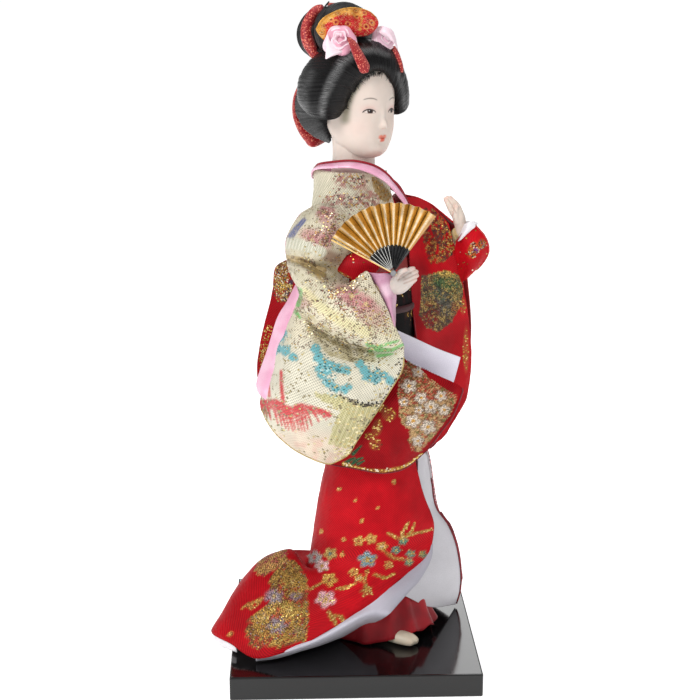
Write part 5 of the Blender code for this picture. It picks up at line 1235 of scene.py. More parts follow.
def lifted(g):
    """The underskirt's hem rises and ripples over the foot at its front right."""
    low = np.clip((34 - g[..., 2]) / 22, 0, 1)
    right = smooth01(g[..., 0], 2, 30) * (1 - smooth01(g[..., 1], -4, 10))
    g = g.copy()
    g[..., 2] += low * right * (4.4 + 0.9 * np.sin(g[..., 0] * 0.55 + g[..., 1] * 0.3))
    g[..., 0] += low ** 2 * right * 1.2
    return g


def paint_under(U, V):
    col = np.broadcast_to(rgb(172, 12, 28), U.shape + (3,)).copy()
    return over(col, smooth01(fbm(U / 9, V / 16, 61), 0.45, 0.65), rgb(120, 6, 18), 0.6)


ring_cloth("underskirt_cloth", [((x, y, z), (1, 0, 0), (0, 1, 0), a, b) for z, x, y, a, b in (
    (150, 9.6, 1.6, 15.8, 14.4), (120, 10.6, 2.0, 15.8, 14.4), (88, 12, 4.4, 17.2, 15.8), (66, 12, 4, 17.6, 16.0), (48, 12.5, 2, 18.6, 16.2), (32, 13, -2, 20.8, 17.8), (20, 12.8, -4.0, 23.0, 20.6), (FLOOR + 0.3, 13.2, -4.6, 25.0, 21.8))],
    0.8, 180, 44, [M_DARKRED, M_DARKRED], paint_under, ["underskirt"], 0.85, 13, 4, (0.0, 360.0), lifted)

# ------------------------------------------------------------------ bodice, robe, collars, obi
t = np.linspace(0, 1, 7)
ring_cloth("kimono_red_bodice", [((x, y, z), BF, BL, a, b) for z, x, y, a, b in (
    (183, 7.5, 3, 17.5, 18.5), (192, 6, 3, 17.5, 21.5), (200, 4, 3, 17.5, 24), (207, 2.5, 3, 17.5, 22.5),
    (213, 1.5, 3, 17.2, 17.5), (219, 0.7, 3, 16.4, 14.6), (224, 0, 3, 15.8, 13.6))], 0.9, 100, 36, [M_RED_FINE, M_WHITE], rgb(204, 26, 46),
    ["kimono_bodice"], 0.25, 7, 5)
robe_rows = []
for z, x, y, a, b in ((184, 7.2, 3, 19.6, 20.6), (192, 6, 3, 19.6, 23.4), (200, 4, 3, 19.6, 26), (207, 2.5, 3, 19.4, 24.8),
                      (213, 1.5, 3, 19, 19.6), (219, 0.7, 3, 18.2, 16.8), (227.4, -0.2, 3, 17.4, 15.6)):
    row = []
    for k in range(9):
        a_ = math.radians(4 - 244 * k / 8)
        row.append((W, *(np.array([x, y, z]) + BF * a * math.cos(a_) + BL * b * math.sin(a_))))
    robe_rows.append(row)
g = rumple(net(robe_rows, 132, 56), 0.3, 9.0, 81)
X, Y = picture(g)
U, V = arclength(g)
near_side = ((g - EYE) @ np.array([0, 1, 0]) < 662).astype(float)
col = np.broadcast_to(rgb(224, 216, 192), g.shape).copy()
line = 0.5 + 0.5 * np.sin((X * 0.8 + Y * 0.35) * 2 * math.pi / 2.0)
col = over(col, smooth01(line, 0.6, 0.9), rgb(168, 168, 138), 0.55)
red_bits = near_side * (blob(X, Y, 350, 181, 17, 8, 10) + blob(X, Y, 340, 200, 14, 6) + blob(X, Y, 368, 198, 12, 9)) * (fbm(X / 3, Y / 3, 33) > 0.52)
col = over(col, red_bits, rgb(176, 104, 100), 0.8)
olive = near_side * inside(X, Y, [(371, 177), (378, 180), (386, 187), (392, 195), (388, 203), (380, 199), (374, 190)])
col = over(col, olive, rgb(160, 136, 82), 0.9)
blue = near_side * inside(X, Y, [(372, 200), (384, 206), (392, 216), (386, 222), (376, 214)])
col = over(col, blue * (fbm(X / 2, Y / 2, 3) > 0.4), rgb(150, 96, 90), 0.6)
col = over(col, near_side * smooth01(X, 374, 377) * smooth01(Y, 248, 252), rgb(132, 12, 22), 1.0)
rust = near_side * (blob(X, Y, 352, 180, 20, 9, 12) + blob(X, Y, 338, 204, 16, 9) + blob(X, Y, 366, 200, 14, 10))
col = over(col, rust * smooth01(fbm(X / 1.8, Y / 1.8, 51), 0.46, 0.54), rgb(128, 92, 74), 0.55)
specks = near_side * (blob(X, Y, 352, 180, 18, 8, 12) + blob(X, Y, 342, 198, 20, 10) * .7 + blob(X, Y, 362, 206, 16, 12) * .6)
cloth("robe_cream_bodice", g, 0.9, np.array([3.0, 3.0, 200.0]) - g, [M_CREAM, M_PINK], col, rgb(228, 160, 186), ["robe_bodice"],
      0.0)
stitches("robe_cream", [("robe_cream_bodice", specks * smooth01(fbm(X / 4, Y / 4, 40), .42, .55), 0.45, 0.8, 0.6, [rgb(96, 76, 62), rgb(60, 52, 44), rgb(150, 84, 80), rgb(176, 110, 104)], False),
                        ("robe_cream_bodice", olive * .5 + specks * .2, 0.5, 0.8, 0.6, GOLDS, True)])

ROLL = [
    [(322, 262, -24), (332, 268, -26), (343, 275, -28), (356, 281, -29), (372, 285, -28)],
    [(325, 256, -25), (335, 261, -28), (347, 266, -30), (360, 269, -31), (377, 271, -30)],
    [(330, 251, -22.5), (341, 254, -25), (353, 257, -27), (366, 259, -28), (385, 261, -27)],
    [(335, 246, -19), (346, 248, -21), (358, 250, -22), (371, 252, -23), (390, 254, -22)],
]
g = net(ROLL, 70, 50)
U, V = arclength(g)
g = g + np.array([0, -1.0, 0]) * (0.7 * np.sin(V / 1.5 + U / 9))[..., None]
X, Y = picture(g)
col = np.broadcast_to(rgb(176, 14, 28), g.shape).copy()
gold_roll = stroke(X, Y, [(320, 268), (334, 274), (347, 282)], 5.0, 0.5)
col = over(col, gold_roll * (fbm(X / 3, Y / 3, 4) > 0.45), rgb(190, 130, 76), 0.8)
cloth("kimono_red_roll", g, 0.8, (0, 1, 0), [M_RED_FINE, M_RED_FINE], col, None, (), 0.6)
stitches("kimono_red_roll", [("kimono_red_roll", gold_roll + 0.05, 0.5, 0.9, 0.7, GOLDS + PALE[:1], True)])

COLLAR_RIM = [(W, 24.0, -7.0, 212.2), (W, 19.5, -11.0, 220.5), (W, 11.5, -13.6, 228.7), (W, 1.0, -14.0, 232.0), (W, -9, -10.2, 231.2),
              (W, -15.4, -2.6, 229.0), (W, -15.4, 8.0, 224.6), (W, -9.0, 15.0, 223.4), (W, 2, 16.5, 223.2), (W, 12, 12.6, 223.0),
              (W, 20, 5.0, 219.6), (W, 25.2, -1.0, 211.4)]
COLLAR_FOOT = [(W, 25.2, -9.5, 208.2), (W, 21.5, -14.6, 215.0), (W, 13.0, -17.2, 224.3), (W, 1.5, -17.4, 229.6), (W, -10.2, -12.8, 229.3),
               (W, -17.2, -4.0, 227.2), (W, -17.6, 10.0, 221.6), (W, -10.0, 18.0, 220.2), (W, 3, 19.4, 219.8), (W, 14.0, 15.4, 218.4),
               (W, 22.6, 7.2, 213.4), (W, 27.0, -1.5, 206.4)]
mid = [(W, *((np.array(a[1:]) * 0.45 + np.array(b[1:]) * 0.55) + (np.array(b[1:]) - np.array([1.5, 2.0, b[3]])) / 18.0 * 0.7)) for a, b in zip(COLLAR_RIM, COLLAR_FOOT)]
g = rumple(net([COLLAR_RIM, mid, COLLAR_FOOT], 170, 14), 0.18, 7.0, 83)
X, Y = picture(g)
cloth("collar_band", g, 0.7, np.array([1.0, 3.0, 215.0]) - g, [M_PINK, M_PINK], over(np.broadcast_to(rgb(238, 172, 200), g.shape).copy(), smooth01(fbm(X / 6, Y / 9, 4), .4, .65), rgb(246, 200, 220), .7),
      None, ["collar_pink"], 0.0)
tube("collar_red_piping", [np.array(p[1:]) + UP * 0.5 for p in COLLAR_RIM], 0.5, [M_DARKRED], 8, 160, rgb(150, 12, 34), ["collar_piping"])
OBI = [((151.2), 10.4, 17.6, 18.6), ((160), 9.8, 18.4, 19.4), ((172), 8.6, 18.4, 19.4), ((182.4), 7.6, 17.6, 18.8)]


def paint_obi(U, V):
    pat = fbm(U / 4, V / 4, 19)
    col = np.broadcast_to(rgb(9, 6, 6), U.shape + (3,)).copy()
    col = over(col, pat > 0.56, rgb(40, 9, 11), 0.8)
    return over(col, pat > 0.68, rgb(60, 44, 26), 0.9)


g = ring_cloth("obi_cloth", [((x, 3, z), BF, BL, a + 0.3, b + 0.3) for z, x, a, b in OBI], 1.6, 140, 30, [M_OBI, M_OBI], paint_obi, ["obi_sash"],
               0.0, 9, 6)
pat = fbm(*[w / 4 for w in arclength(g)], 19)
stitches("obi", [("obi_cloth", (pat > 0.66) * 1.0, 0.6, 0.9, 0.7, GOLDS, True)])
ring_cloth("obi_red_cord", [((9.4, 3, z), BF, BL, a, a + 1.0) for z, a in ((164.6, 18.9), (165.4, 19.4), (167.0, 19.4), (167.8, 18.9))], 0.4, 120, 12,
           [M_DARKRED, M_DARKRED], rgb(58, 8, 16), ["obi_cord"], 0.08, 60, 7)

# the obi's bow at the back: a drum of brocade with a turned loop at each end
c0 = np.array([9.0, 3.0, 168.0]) - BF * 26.5
prof = [(-17, 8, 3.2), (-15.6, 12, 5.2), (-12, 13.6, 6.1), (-7, 14.5, 6.3), (-2, 13.2, 5.9), (0, 12.5, 5.6), (3, 13.2, 5.9), (8, 14.5, 6.3), (13, 13.6, 5.9), (15.6, 12, 5.0), (17, 8, 3.2)]
pr = ways(prof, 60)
th = np.linspace(0, 2 * math.pi, 120, endpoint=False)
rr = np.sign(np.cos(th)) * np.abs(np.cos(th)) ** 0.8, np.sign(np.sin(th)) * np.abs(np.sin(th)) ** 0.8
Vv = c0 + UP * pr[:, 0][:, None, None] + BL * (pr[:, 1][:, None] * rr[0])[..., None] + BF * (pr[:, 2][:, None] * rr[1] * (1 + 0.05 * np.sin(th * 9)))[..., None]
Ub, Vb = np.meshgrid(th * 11, pr[:, 0] - pr[0, 0])
pat = fbm(Ub / 5, Vb / 5, 23)
col = np.broadcast_to(rgb(190, 26, 42), Vv.shape).copy()
col = over(col, pat > 0.55, rgb(190, 146, 80), 0.85)
o = build("obi_bow_cloth", Vv.reshape(-1, 3), list(quads(60, 120, flip=True, wrap_u=True)) + [list(range(120)), list(range(59 * 120, 60 * 120))[::-1]], [M_RED], None,
          np.stack([Ub, Vb], -1).reshape(-1, 2), col.reshape(-1, 3), ["obi_bow"])

# ------------------------------------------------------------------ head
HL0 = 1.9
PROF = np.array([  # z, front, back, half width, roundness
    (232.4, 7.5, 3.0, 2.0, 2.0), (232.9, 9.6, 1.2, 4.4, 2.0), (234.0, 12.0, -1.0, 7.0, 2.05), (236.0, 13.6, -4.0, 9.3, 2.1), (239.0, 14.4, -8.0, 11.6, 2.2),
    (242.0, 14.8, -10.0, 13.0, 2.25), (246.0, 15.0, -12.0, 14.0, 2.3), (250.0, 15.1, -13.2, 14.5, 2.3), (254.0, 15.4, -14.0, 14.6, 2.3), (258.0, 15.9, -14.2, 14.6, 2.25),
    (262.0, 16.1, -14.2, 14.4, 2.2), (266.0, 15.9, -13.8, 13.9, 2.2), (270.0, 15.2, -13.0, 13.0, 2.15), (274.0, 13.6, -11.4, 11.4, 2.1), (278.0, 10.4, -8.6, 8.4, 2.0), (280.2, 5.0, -3.0, 3.6, 2.0)])
nb = 22
pz_ = ways(PROF, 2000)
wanted = np.concatenate([np.linspace(232.4, 236, 14, endpoint=False), np.linspace(236, 267, 152, endpoint=False), np.linspace(267, 280.2, 14)])
pz_ = pz_[np.searchsorted(pz_[:, 0], wanted).clip(0, 1999)]
nz = len(pz_)
th = np.radians(np.concatenate([np.linspace(-92, -62, 12, endpoint=False), np.linspace(-62, 62, 150, endpoint=False), np.linspace(62, 92, 12),
                                np.linspace(92, 268, nb + 2)[1:-1]]))
nt = len(th)
c, s = np.cos(th)[None], np.sin(th)[None]
F_, B_, W_, N_ = (pz_[:, k][:, None] for k in (1, 2, 3, 4))
mid_f = np.minimum(F_ - 1.0, np.maximum(B_ + 1.0, 0.0)) * 0 + (B_ + (F_ - B_) * 0.42)
l = HL0 + W_ * np.sign(s) * np.abs(s) ** (2 / N_)
f = mid_f + np.where(c > 0, (F_ - mid_f), (mid_f - B_)) * np.sign(c) * np.abs(c) ** (2 / N_)
z = np.broadcast_to(pz_[:, 0][:, None], l.shape).copy()
frontness = smooth01(np.broadcast_to(c, l.shape), 0.05, 0.45)


def bump2(l0, z0, sl, sz):
    return np.exp(-((l - l0) / sl) ** 2 - ((z - z0) / sz) ** 2)


EYE_N, EYE_F, NOSE, LIPS = (-4.5, 253.3), (8.1, 252.9), (2.2, 247.1), (2.1, 241.8)
f = f + frontness * (
    1.9 * np.exp(-((l - NOSE[0]) / 1.35) ** 2) * np.where(z > NOSE[1], np.exp(-((z - NOSE[1]) / 2.3) ** 2), np.exp(-((z - NOSE[1]) / 1.15) ** 2))
    + 0.8 * np.exp(-((l - NOSE[0]) / 1.3) ** 2) * smooth01(z, 245.5, 248.5) * (1 - smooth01(z, 251, 258))
    + 0.5 * (bump2(NOSE[0] - 1.6, NOSE[1] - .4, .9, .9) + bump2(NOSE[0] + 1.6, NOSE[1] - .4, .9, .9))
    - 0.55 * (bump2(EYE_N[0], EYE_N[1] + 1.2, 3.4, 2.4) + bump2(EYE_F[0], EYE_F[1] + 1.2, 3.4, 2.4))
    + 0.28 * (bump2(EYE_N[0], EYE_N[1], 2.5, 1.0) + bump2(EYE_F[0], EYE_F[1], 2.5, 1.0))
    + 0.5 * (bump2(-4.8, 246, 4.2, 4.5) + bump2(8.6, 246, 4.2, 4.5))
    + 0.5 * bump2(LIPS[0], LIPS[1] + 0.7, 1.5, 0.65) + 0.55 * bump2(LIPS[0], LIPS[1] - 0.75, 1.3, 0.7) - 0.3 * bump2(LIPS[0], LIPS[1], 1.7, 0.22)
    - 0.3 * bump2(LIPS[0], LIPS[1] - 2.3, 1.8, 0.9) + 0.45 * bump2(2.0, 236.6, 3.0, 2.0))
P = HEAD + HL * l[..., None] + HF * f[..., None] + UP * z[..., None]
SK = rgb(215, 200, 189)
col = np.broadcast_to(SK, P.shape).copy()
col = over(col, (bump2(-8.0, 247, 3.6, 4.0) + bump2(10.2, 247, 3.6, 4.0)) * frontness, rgb(222, 192, 182), 0.4)
# painted shade at the chin
col = over(col, bump2(2.0, 234.2, 6.8, 2.3) * frontness, rgb(196, 152, 142), 0.85)
for (ex, ez), sd in ((EYE_N, -1), (EYE_F, 1)):
    col = over(col, bump2(ex + sd * 0.3, ez + 1.5, 3.4, 1.7) * frontness, rgb(218, 178, 170), 0.5)
    # eye: white, iris, pupil, a painted highlight, lash line, fold above
    u_ = (l - ex) / 2.7 * sd
    lid = ez + 1.15 * (1 - np.clip(np.abs(u_ + 0.05), 0, 1.15) ** 2.2) - 0.05 + 0.25 * np.clip(u_, -1, 1.3)
    low = ez - 0.62 * (1 - np.clip(np.abs(u_), 0, 1.1) ** 2.2) + 0.15 * np.clip(u_, -1, 1.2)
    open_ = smooth01(lid - z, -0.05, 0.12) * smooth01(z - low, -0.05, 0.12) * (1 - smooth01(np.abs(u_), 0.93, 1.03)) * frontness
    col = over(col, open_, rgb(226, 214, 206), 0.95)
    d = np.hypot(l - ex - 0.15, (z - ez - 0.22))
    col = over(col, (1 - smooth01(d, 1.12, 1.3)) * open_, rgb(62, 34, 24), 1.0)
    col = over(col, (1 - smooth01(d, 0.55, 0.7)) * open_, rgb(10, 8, 8), 1.0)
    # a painted highlight on the iris
    col = over(col, (1 - smooth01(np.hypot(l - ex + 0.25, z - ez - 0.62), 0.14, 0.26)) * open_, rgb(235, 235, 235), 0.9)
    lash = np.exp(-((z - lid) / 0.26) ** 2) * (1 - smooth01(np.abs(u_ - 0.04), 0.9, 1.1)) * frontness
    col = over(col, np.clip(lash * 1.7, 0, 1), rgb(34, 24, 20), 1.0)
    col = over(col, np.exp(-((z - low) / 0.12) ** 2) * (1 - smooth01(np.abs(u_), 0.85, 1.05)) * frontness, rgb(110, 76, 62), 0.55)
    col = over(col, np.exp(-((z - lid - 0.95) / 0.13) ** 2) * (1 - smooth01(np.abs(u_), 0.8, 1.1)) * frontness, rgb(206, 160, 148), 0.6)
    # brow: a thin soft arch
    u_ = (l - ex) / 2.9 * sd
    arch = ez + 5.1 + 0.75 * (1 - np.clip(np.abs(u_ - 0.1), 0, 1.3) ** 2)
    brow = np.exp(-((z - arch) / (0.27 * (1.05 - 0.3 * np.abs(u_)))) ** 2) * (1 - smooth01(np.abs(u_), 0.78, 1.1)) * frontness
    col = over(col, brow, rgb(84, 72, 66), 0.85)
mouth = np.exp(-((l - LIPS[0]) / 2.1) ** 4 - ((z - LIPS[1] - 0.55 * (1 - np.exp(-((l - LIPS[0]) / 0.35) ** 2) * 0.6)) / 0.78) ** 4) * frontness
lower_lip = np.exp(-((l - LIPS[0]) / 1.25) ** 4 - ((z - LIPS[1] + 0.75) / 0.85) ** 4) * frontness
col = over(col, np.clip(mouth * 1.4, 0, 1), rgb(216, 108, 80), 0.88)
col = over(col, np.clip(lower_lip * 1.4, 0, 1), rgb(208, 88, 62), 0.92)
col = over(col, bump2(LIPS[0], LIPS[1] + 0.02, 1.6, 0.16) * frontness, rgb(150, 40, 36), 0.85)
# painted shade in the nostrils
col = over(col, (bump2(NOSE[0] - 0.75, NOSE[1] - 1.15, 0.42, 0.2) + bump2(NOSE[0] + 0.75, NOSE[1] - 1.15, 0.42, 0.2)) * frontness, rgb(196, 140, 124), 0.7)
# grey-green shade painted along the hairline of the near temple, and its fine spikes
Xh, Yh = picture(P)
HAIRLINE = [(347, 116), (346, 102), (351, 92), (359, 83), (367, 76.5), (374, 73), (382, 74), (388, 78), (393.5, 87), (395.4, 97), (395.4, 108)]
shade = stroke(Xh, Yh, [(345, 119), (347, 106), (352, 94), (359, 85)], (4.5, 2.5), 0.9)
col = over(col, shade * (f > 0), rgb(128, 124, 100), 0.75)
cap = smooth01(-f, 2.0, 5.0) * smooth01(z, 246, 250)
col = over(col, cap, rgb(24, 22, 22), 1.0)
uvh = np.stack([np.broadcast_to(th[None] * 14, l.shape), z], -1).reshape(-1, 2)
build("head", P.reshape(-1, 3), list(quads(nz, nt, flip=False, wrap_u=True)) + [list(range(nt))[::-1], list(range((nz - 1) * nt, nz * nt))], [M_SKIN], None, uvh,
      col.reshape(-1, 3), ["head_and_neck"])
HEADMESH = (P, Xh, Yh)

# neck
pts = ways([(0.9, 3.4, 220.0, 11.6), (0.7, 3.2, 223.5, 10.4), (0.6, 3.0, 228, 9.7), (0.8, 2.6, 234, 9.5), (1.2, 2.2, 240, 10.2), (1.4, 1.8, 246, 11.4)], 50)
th = np.linspace(0, 2 * math.pi, 120, endpoint=False)
Vn = pts[:, None, :3] + HL * (np.cos(th)[None, :, None] * pts[:, 3][:, None, None]) + HF * (np.sin(th)[None, :, None] * pts[:, 3][:, None, None] * 0.98)
ncol = np.broadcast_to(SK, Vn.shape).copy()
# painted shade on the upper front of the neck, under the chin
ncol = over(ncol, smooth01(Vn[..., 2], 226, 236) * (Vn @ HF > 5), rgb(186, 156, 146), 0.5)
build("neck", Vn.reshape(-1, 3), list(quads(50, 120, wrap_u=True)) + [list(range(120))[::-1], list(range(49 * 120, 50 * 120))], [M_SKIN], None,
      np.stack([np.broadcast_to(th * 10, (50, 120)), Vn[..., 2]], -1).reshape(-1, 2), ncol.reshape(-1, 3))


# ------------------------------------------------------------------ hair
def hair_sheet(name, rows, nu, nv, across, also, ridge=0.22, seed=0, shine=None):
    """A lock of hair as a closed skin: rows of picture or world points from its edge over and round to the back."""
    g = net(rows, nu, nv)
    U, V = arclength(g)
    n = behind(g, (0, -1, 0), 0.0)
    strands = (noise(U / 0.55, V / 26.0, seed) - 0.5) * 2 * ridge + (noise(U / 2.6, V / 30.0, seed + 3) - 0.5) * 2 * ridge * 1.6
    g = g + n * strands[..., None]
    uv = np.stack([U, V], -1).reshape(-1, 2)
    front = quads(nv, nu, flip=((normals(g) @ np.array([0, -1.0, 0])).sum() < 0))
    # painted highlights from the shine function, stored as the hair's paint
    painted_shine = np.zeros(g.shape)
    if shine is not None:
        painted_shine = shine(*picture(g))
    o = build(name, g.reshape(-1, 3), front, [M_HAIR], None, uv, painted_shine.reshape(-1, 3), also)
    m = o.modifiers.new("depth", "SOLIDIFY")
    m.thickness, m.offset, m.use_rim = 0.0012, -1.0, True
    return g


def HAIR_SHINE(X, Y):
    """Painted highlights: where the waxed wig shows broad greyish lights."""
    m = stroke(X, Y, [(352, 55), (342, 62), (331, 82), (324, 99), (321.5, 113)], (4.6, 3.0), 0.9) * 0.85
    m = np.maximum(m, stroke(X, Y, [(362, 51), (374, 50), (388, 55)], (3.6, 2.2), 0.9) * 0.65)
    m = np.maximum(m, stroke(X, Y, [(399, 74), (403.5, 92), (404.5, 108)], (2.4, 1.6), 0.9) * 0.65)
    m = np.maximum(m, stroke(X, Y, [(311, 74), (304, 92), (306, 108)], (4, 3), 0.9) * 0.3)
    return np.repeat((m * 0.11)[..., None], 3, -1)


# stations from the near wing's lower edge over the forehead to the far wing's lower edge;
# each from inside the hairline, over the bulge and the outline, to the back of the head
B0, B1 = (W, -20, 14, 252), (W, -6, 22, 262)
STATIONS = [
    [(340, 107, -6), (342.5, 113.5, -10.5), (338, 118.3, -14), (328, 120.3, -17), (314, 118, -13), (305, 112, -6), (308, 110, 6), (W, -17, 12, 250), (W, -8, 20, 252)],
    [(349, 107, -8), (346.2, 106, -12.5), (342, 105, -16.5), (326, 106, -20.5), (308, 107, -14), (299.5, 105, -3), (303, 104, 9), (W, -18, 15, 257), (W, -6, 22, 258)],
    [(353, 98, -9), (348.5, 97, -14), (344, 94, -17.5), (326, 94, -21.5), (307, 95, -14), (297, 94, -2), (301, 94, 10), (W, -17, 17, 263), (W, -6, 23, 264)],
    [(360, 92, -10), (353, 89, -15), (347, 84, -18.5), (329, 80, -21.5), (309, 81, -13), (298.5, 80, -1), (302, 80, 11), (W, -15, 18, 269), (W, -5, 23, 268)],
    [(361, 84, -9), (359, 81, -15.5), (354, 76, -19.0), (337, 68, -20.5), (318, 66, -12), (305, 67, -1), (307, 67, 10), (W, -12, 18, 274), (W, -4, 22, 271)],
    [(368, 77, -8), (366, 74.5, -15.2), (362, 69, -19.0), (350, 57, -19.0), (334, 51, -12), (318, 54, -2), (318, 56, 9), (W, -8, 17, 277), (W, -3, 21, 273)],
    [(375, 73, -7), (374, 70.5, -14.6), (372, 64, -18), (364, 50, -16.5), (354, 42, -9), (345, 42, 0), (340, 46, 9), (W, -3, 17, 278), (W, 0, 20, 274)],
    [(382, 74, -6), (382, 71.5, -12.6), (382, 64, -15.5), (378, 49, -12.5), (371, 39, -5), (362, 38, 3), (358, 42, 11), (W, 3, 17, 278), (W, 4, 20, 274)],
    [(387, 80, -4), (388, 77, -9.8), (390, 69, -12), (389, 55, -9.0), (384, 44, -2), (377, 42, 6), (372, 46, 13), (W, 10, 17, 275), (W, 7, 21, 272)],
    [(391.5, 89, -1), (394, 86.5, -6), (397, 79, -8), (399, 66, -5.0), (396, 56, 1), (391, 54, 9), (386, 58, 15), (W, 14, 17, 270), (W, 9, 22, 267)],
    [(392.5, 99, 3), (396, 97, -2), (400, 90, -4), (405, 80, -1.5), (405, 73, 5), (401, 70, 12), (396, 73, 18), (W, 16, 17, 264), (W, 10, 22, 262)],
    [(392.5, 109, 6), (396.4, 108, 0.8), (401, 103, -1.0), (408, 96, 2), (409.5, 91, 9), (406, 89, 16), (400, 90, 20), (W, 16, 18, 258), (W, 10, 23, 257)],
    [(391, 113, 6), (395.2, 114.5, 3), (400, 114, 1.5), (406, 110.5, 4), (409, 104, 10), (406, 101, 17), (400, 101, 20), (W, 15, 18, 253), (W, 9, 22, 253)],
]
g = hair_sheet("hair_front", [[st[k] for st in STATIONS] for k in range(9)], 240, 76, None, ["wig_main"], 0.16, 3, HAIR_SHINE)
WIG = g
NAPE = [
    [(296, 96, 4), (295, 108, 7), (299, 121, 8), (309, 133, 9), (322, 140.5, 8), (329, 143.5, 6)],
    [(303, 100, -2), (304, 110, 0), (309, 119, 1), (317, 128, 2), (325, 136, 3), (330, 142, 4)],
    [(315, 104, -5), (315, 113, -4), (318, 119, -3), (323, 126, -1), (327.5, 134, 1), (330.5, 140, 3)],
    [(328, 106, -5), (328, 114, -4), (328, 121, -3), (328.5, 127, -1), (329.5, 134, 1), (331, 139, 3)],
]
hair_sheet("hair_nape", NAPE, 90, 36, None, ["wig_nape"], 0.14, 7)
BACKHAIR = [
    [(W, -22.0, 5, 262), (W, -17.5, 16, 266), (W, -7, 22.5, 267), (W, 5, 24, 267), (W, 14, 20, 266), (W, 18, 14, 264)],
    [(W, -21.0, 8, 254), (W, -17, 18, 256), (W, -7, 25, 257), (W, 5, 26, 257), (W, 14, 22, 257), (W, 18.5, 15, 258)],
    [(W, -19.0, 9.5, 247), (W, -14, 19, 247), (W, -5, 25, 246), (W, 5, 25.5, 247), (W, 12, 21, 248), (W, 16, 15, 250)],
    [(W, -11, 10, 240.5), (W, -7, 14.5, 240), (W, -2, 16.5, 240), (W, 4, 16.5, 240.5), (W, 9, 15, 242), (W, 11.5, 12.5, 244)],
]
hair_sheet("hair_back", BACKHAIR, 120, 40, None, (), 0.14, 9)


def puff(name, centre, axes, radii, mat, also, nu=150, nv=80, ridge=0.15, seed=0, paint=0.02, power=2.0, pole=1):
    """A rounded bun; its strands run round the pole axis."""
    a = np.linspace(0, 2 * math.pi, nu, endpoint=False)
    b = np.linspace(-math.pi / 2 + 0.02, math.pi / 2 - 0.02, nv)
    A, B = np.meshgrid(a, b)
    cp = np.cos(B) ** (2 / power)
    loc = [np.cos(A) * cp, np.sin(B) ** 1.0, np.sin(A) * cp]
    k = 1 + (noise(B * 22, A * 1.3, seed) - 0.5) * 2 * ridge / 10 + (noise(B * 7, A * 0.9, seed + 2) - 0.5) * 2 * ridge / 7
    Pp = np.asarray(centre, float) + sum(np.asarray(ax, float) * (r * q * k)[..., None] for ax, r, q in zip(axes, radii, loc))
    uv = np.stack([B * radii[1] * 1.6, A * radii[0]], -1).reshape(-1, 2)
    # the paint is an even painted sheen, added to the hair's lit strands
    return build(name, Pp.reshape(-1, 3), list(quads(nv, nu, wrap_u=True, flip=True)) + [list(range(nu)), list(range((nv - 1) * nu, nv * nu))[::-1]], [mat], None, uv,
                 np.full((nu * nv, 3), paint), also)


puff("hair_bun_front", (-3.6, 3.4, 286.8), (HL, HF, UP), (15.6, 7.6, 12.2), M_HAIR, ["wig_bun_front"], 120, 48, 0.25, 4)
puff("hair_bun_rear", (-12.4, 14.2, 285.3), (HL, HF, UP), (13.4, 7.2, 11.4), M_HAIR, ["wig_bun_rear"], 110, 44, 0.25, 5)
puff("hair_core", (-5.5, 8.5, 276), (HL, HF, UP), (12.0, 11.0, 6.0), M_HAIR, (), 80, 40, 0.2, 6)

# short fine hairs drawn from the hairline over the skin
Pf, Xf, Yf = HEADMESH
spikes, faces, rng = [], [], np.random.default_rng(5)
line = ways([(345.5, 109), (348, 99), (352.5, 91), (359.5, 83.2), (367, 77), (374, 73.8), (382, 74.4), (388, 79), (393, 87.5), (395, 97)], 150)
flatP, flatX, flatY = Pf.reshape(-1, 3), Xf.ravel(), Yf.ravel()
seen = (flatP @ HF) > (HEAD @ HF) + 0
cand = np.where(seen)[0]
for k in range(0, 150):
    x0, y0 = line[k]
    cx, cy = 374, 112
    d = np.array([cx - x0, cy - y0])
    d = d / np.linalg.norm(d)
    d = d + rng.normal(0, 0.22, 2)
    ln = rng.uniform(1.5, 4.3) * (0.7 if k > 105 else 1.0) * (0.55 if k > 130 else 1)
    a2, b2 = np.array([x0, y0]) - d * 2.0, np.array([x0, y0]) + d * ln
    pts = []
    for q in (a2, b2):
        i = cand[np.argmin((flatX[cand] - q[0]) ** 2 + (flatY[cand] - q[1]) ** 2)]
        pts.append(flatP[i] + HF * 0.12 - FW * 0.1)
    sdir = np.cross(pts[1] - pts[0], FW)
    sdir = sdir / max(np.linalg.norm(sdir), 1e-6) * rng.uniform(0.1, 0.2)
    base = len(spikes)
    spikes += [pts[0] - sdir, pts[0] + sdir, pts[1] + sdir * 0.15, pts[1] - sdir * 0.15]
    faces.append([base, base + 1, base + 2, base + 3])
M_SPIKE = plain_mat("hairline_black", rgb(22, 20, 20), rgb(34, 32, 32), 0.6)
build("hairline_wisps", spikes, faces, [M_SPIKE], None, np.zeros((len(spikes), 2)), None)

# ------------------------------------------------------------------ red ribbons
tube("ribbon_round_bun", [sight(323, 7.5, 2), sight(316.5, 10, 3.5), sight(311, 17, 5), sight(307.5, 28, 6), sight(308, 40, 5), sight(312, 50, 3), sight(316, 56, 1),
                          sight(330, 60, 2), sight(355, 40, 10), sight(362, 20, 12), sight(345, 9, 8), sight(329, 6, 3)],
     [1.2, 1.7, 2.1, 2.5, 2.5, 2.2, 1.6, 1.8, 2.0, 2.0, 1.6, 1.2], [M_KANOKO], 20, 160, None, ["ribbon_bun"], 1.25, HF)
near = [(298, 88, 8), (295.2, 97, 10), (294.6, 108, 13), (296.5, 118, 15.5), (302, 129, 18), (309, 137.5, 19.5), (315, 142.3, 20)]
far_side = [(-6, 26.6, 242.0), (-0.5, 27.0, 243.0), (5.0, 27.2, 246.0), (9.0, 26.8, 253.0), (10.5, 25.4, 259.0)]
tube("ribbon_round_nape", [sight(*p) for p in near] + [np.array(p) for p in far_side], [0.7, 1.0, 1.3, 1.6, 2.1, 2.5, 2.1, 2.4, 2.3, 2.0, 1.6, 1.2], [M_KANOKO], 20, 140, None,
     ["ribbon_nape"], 0.8)


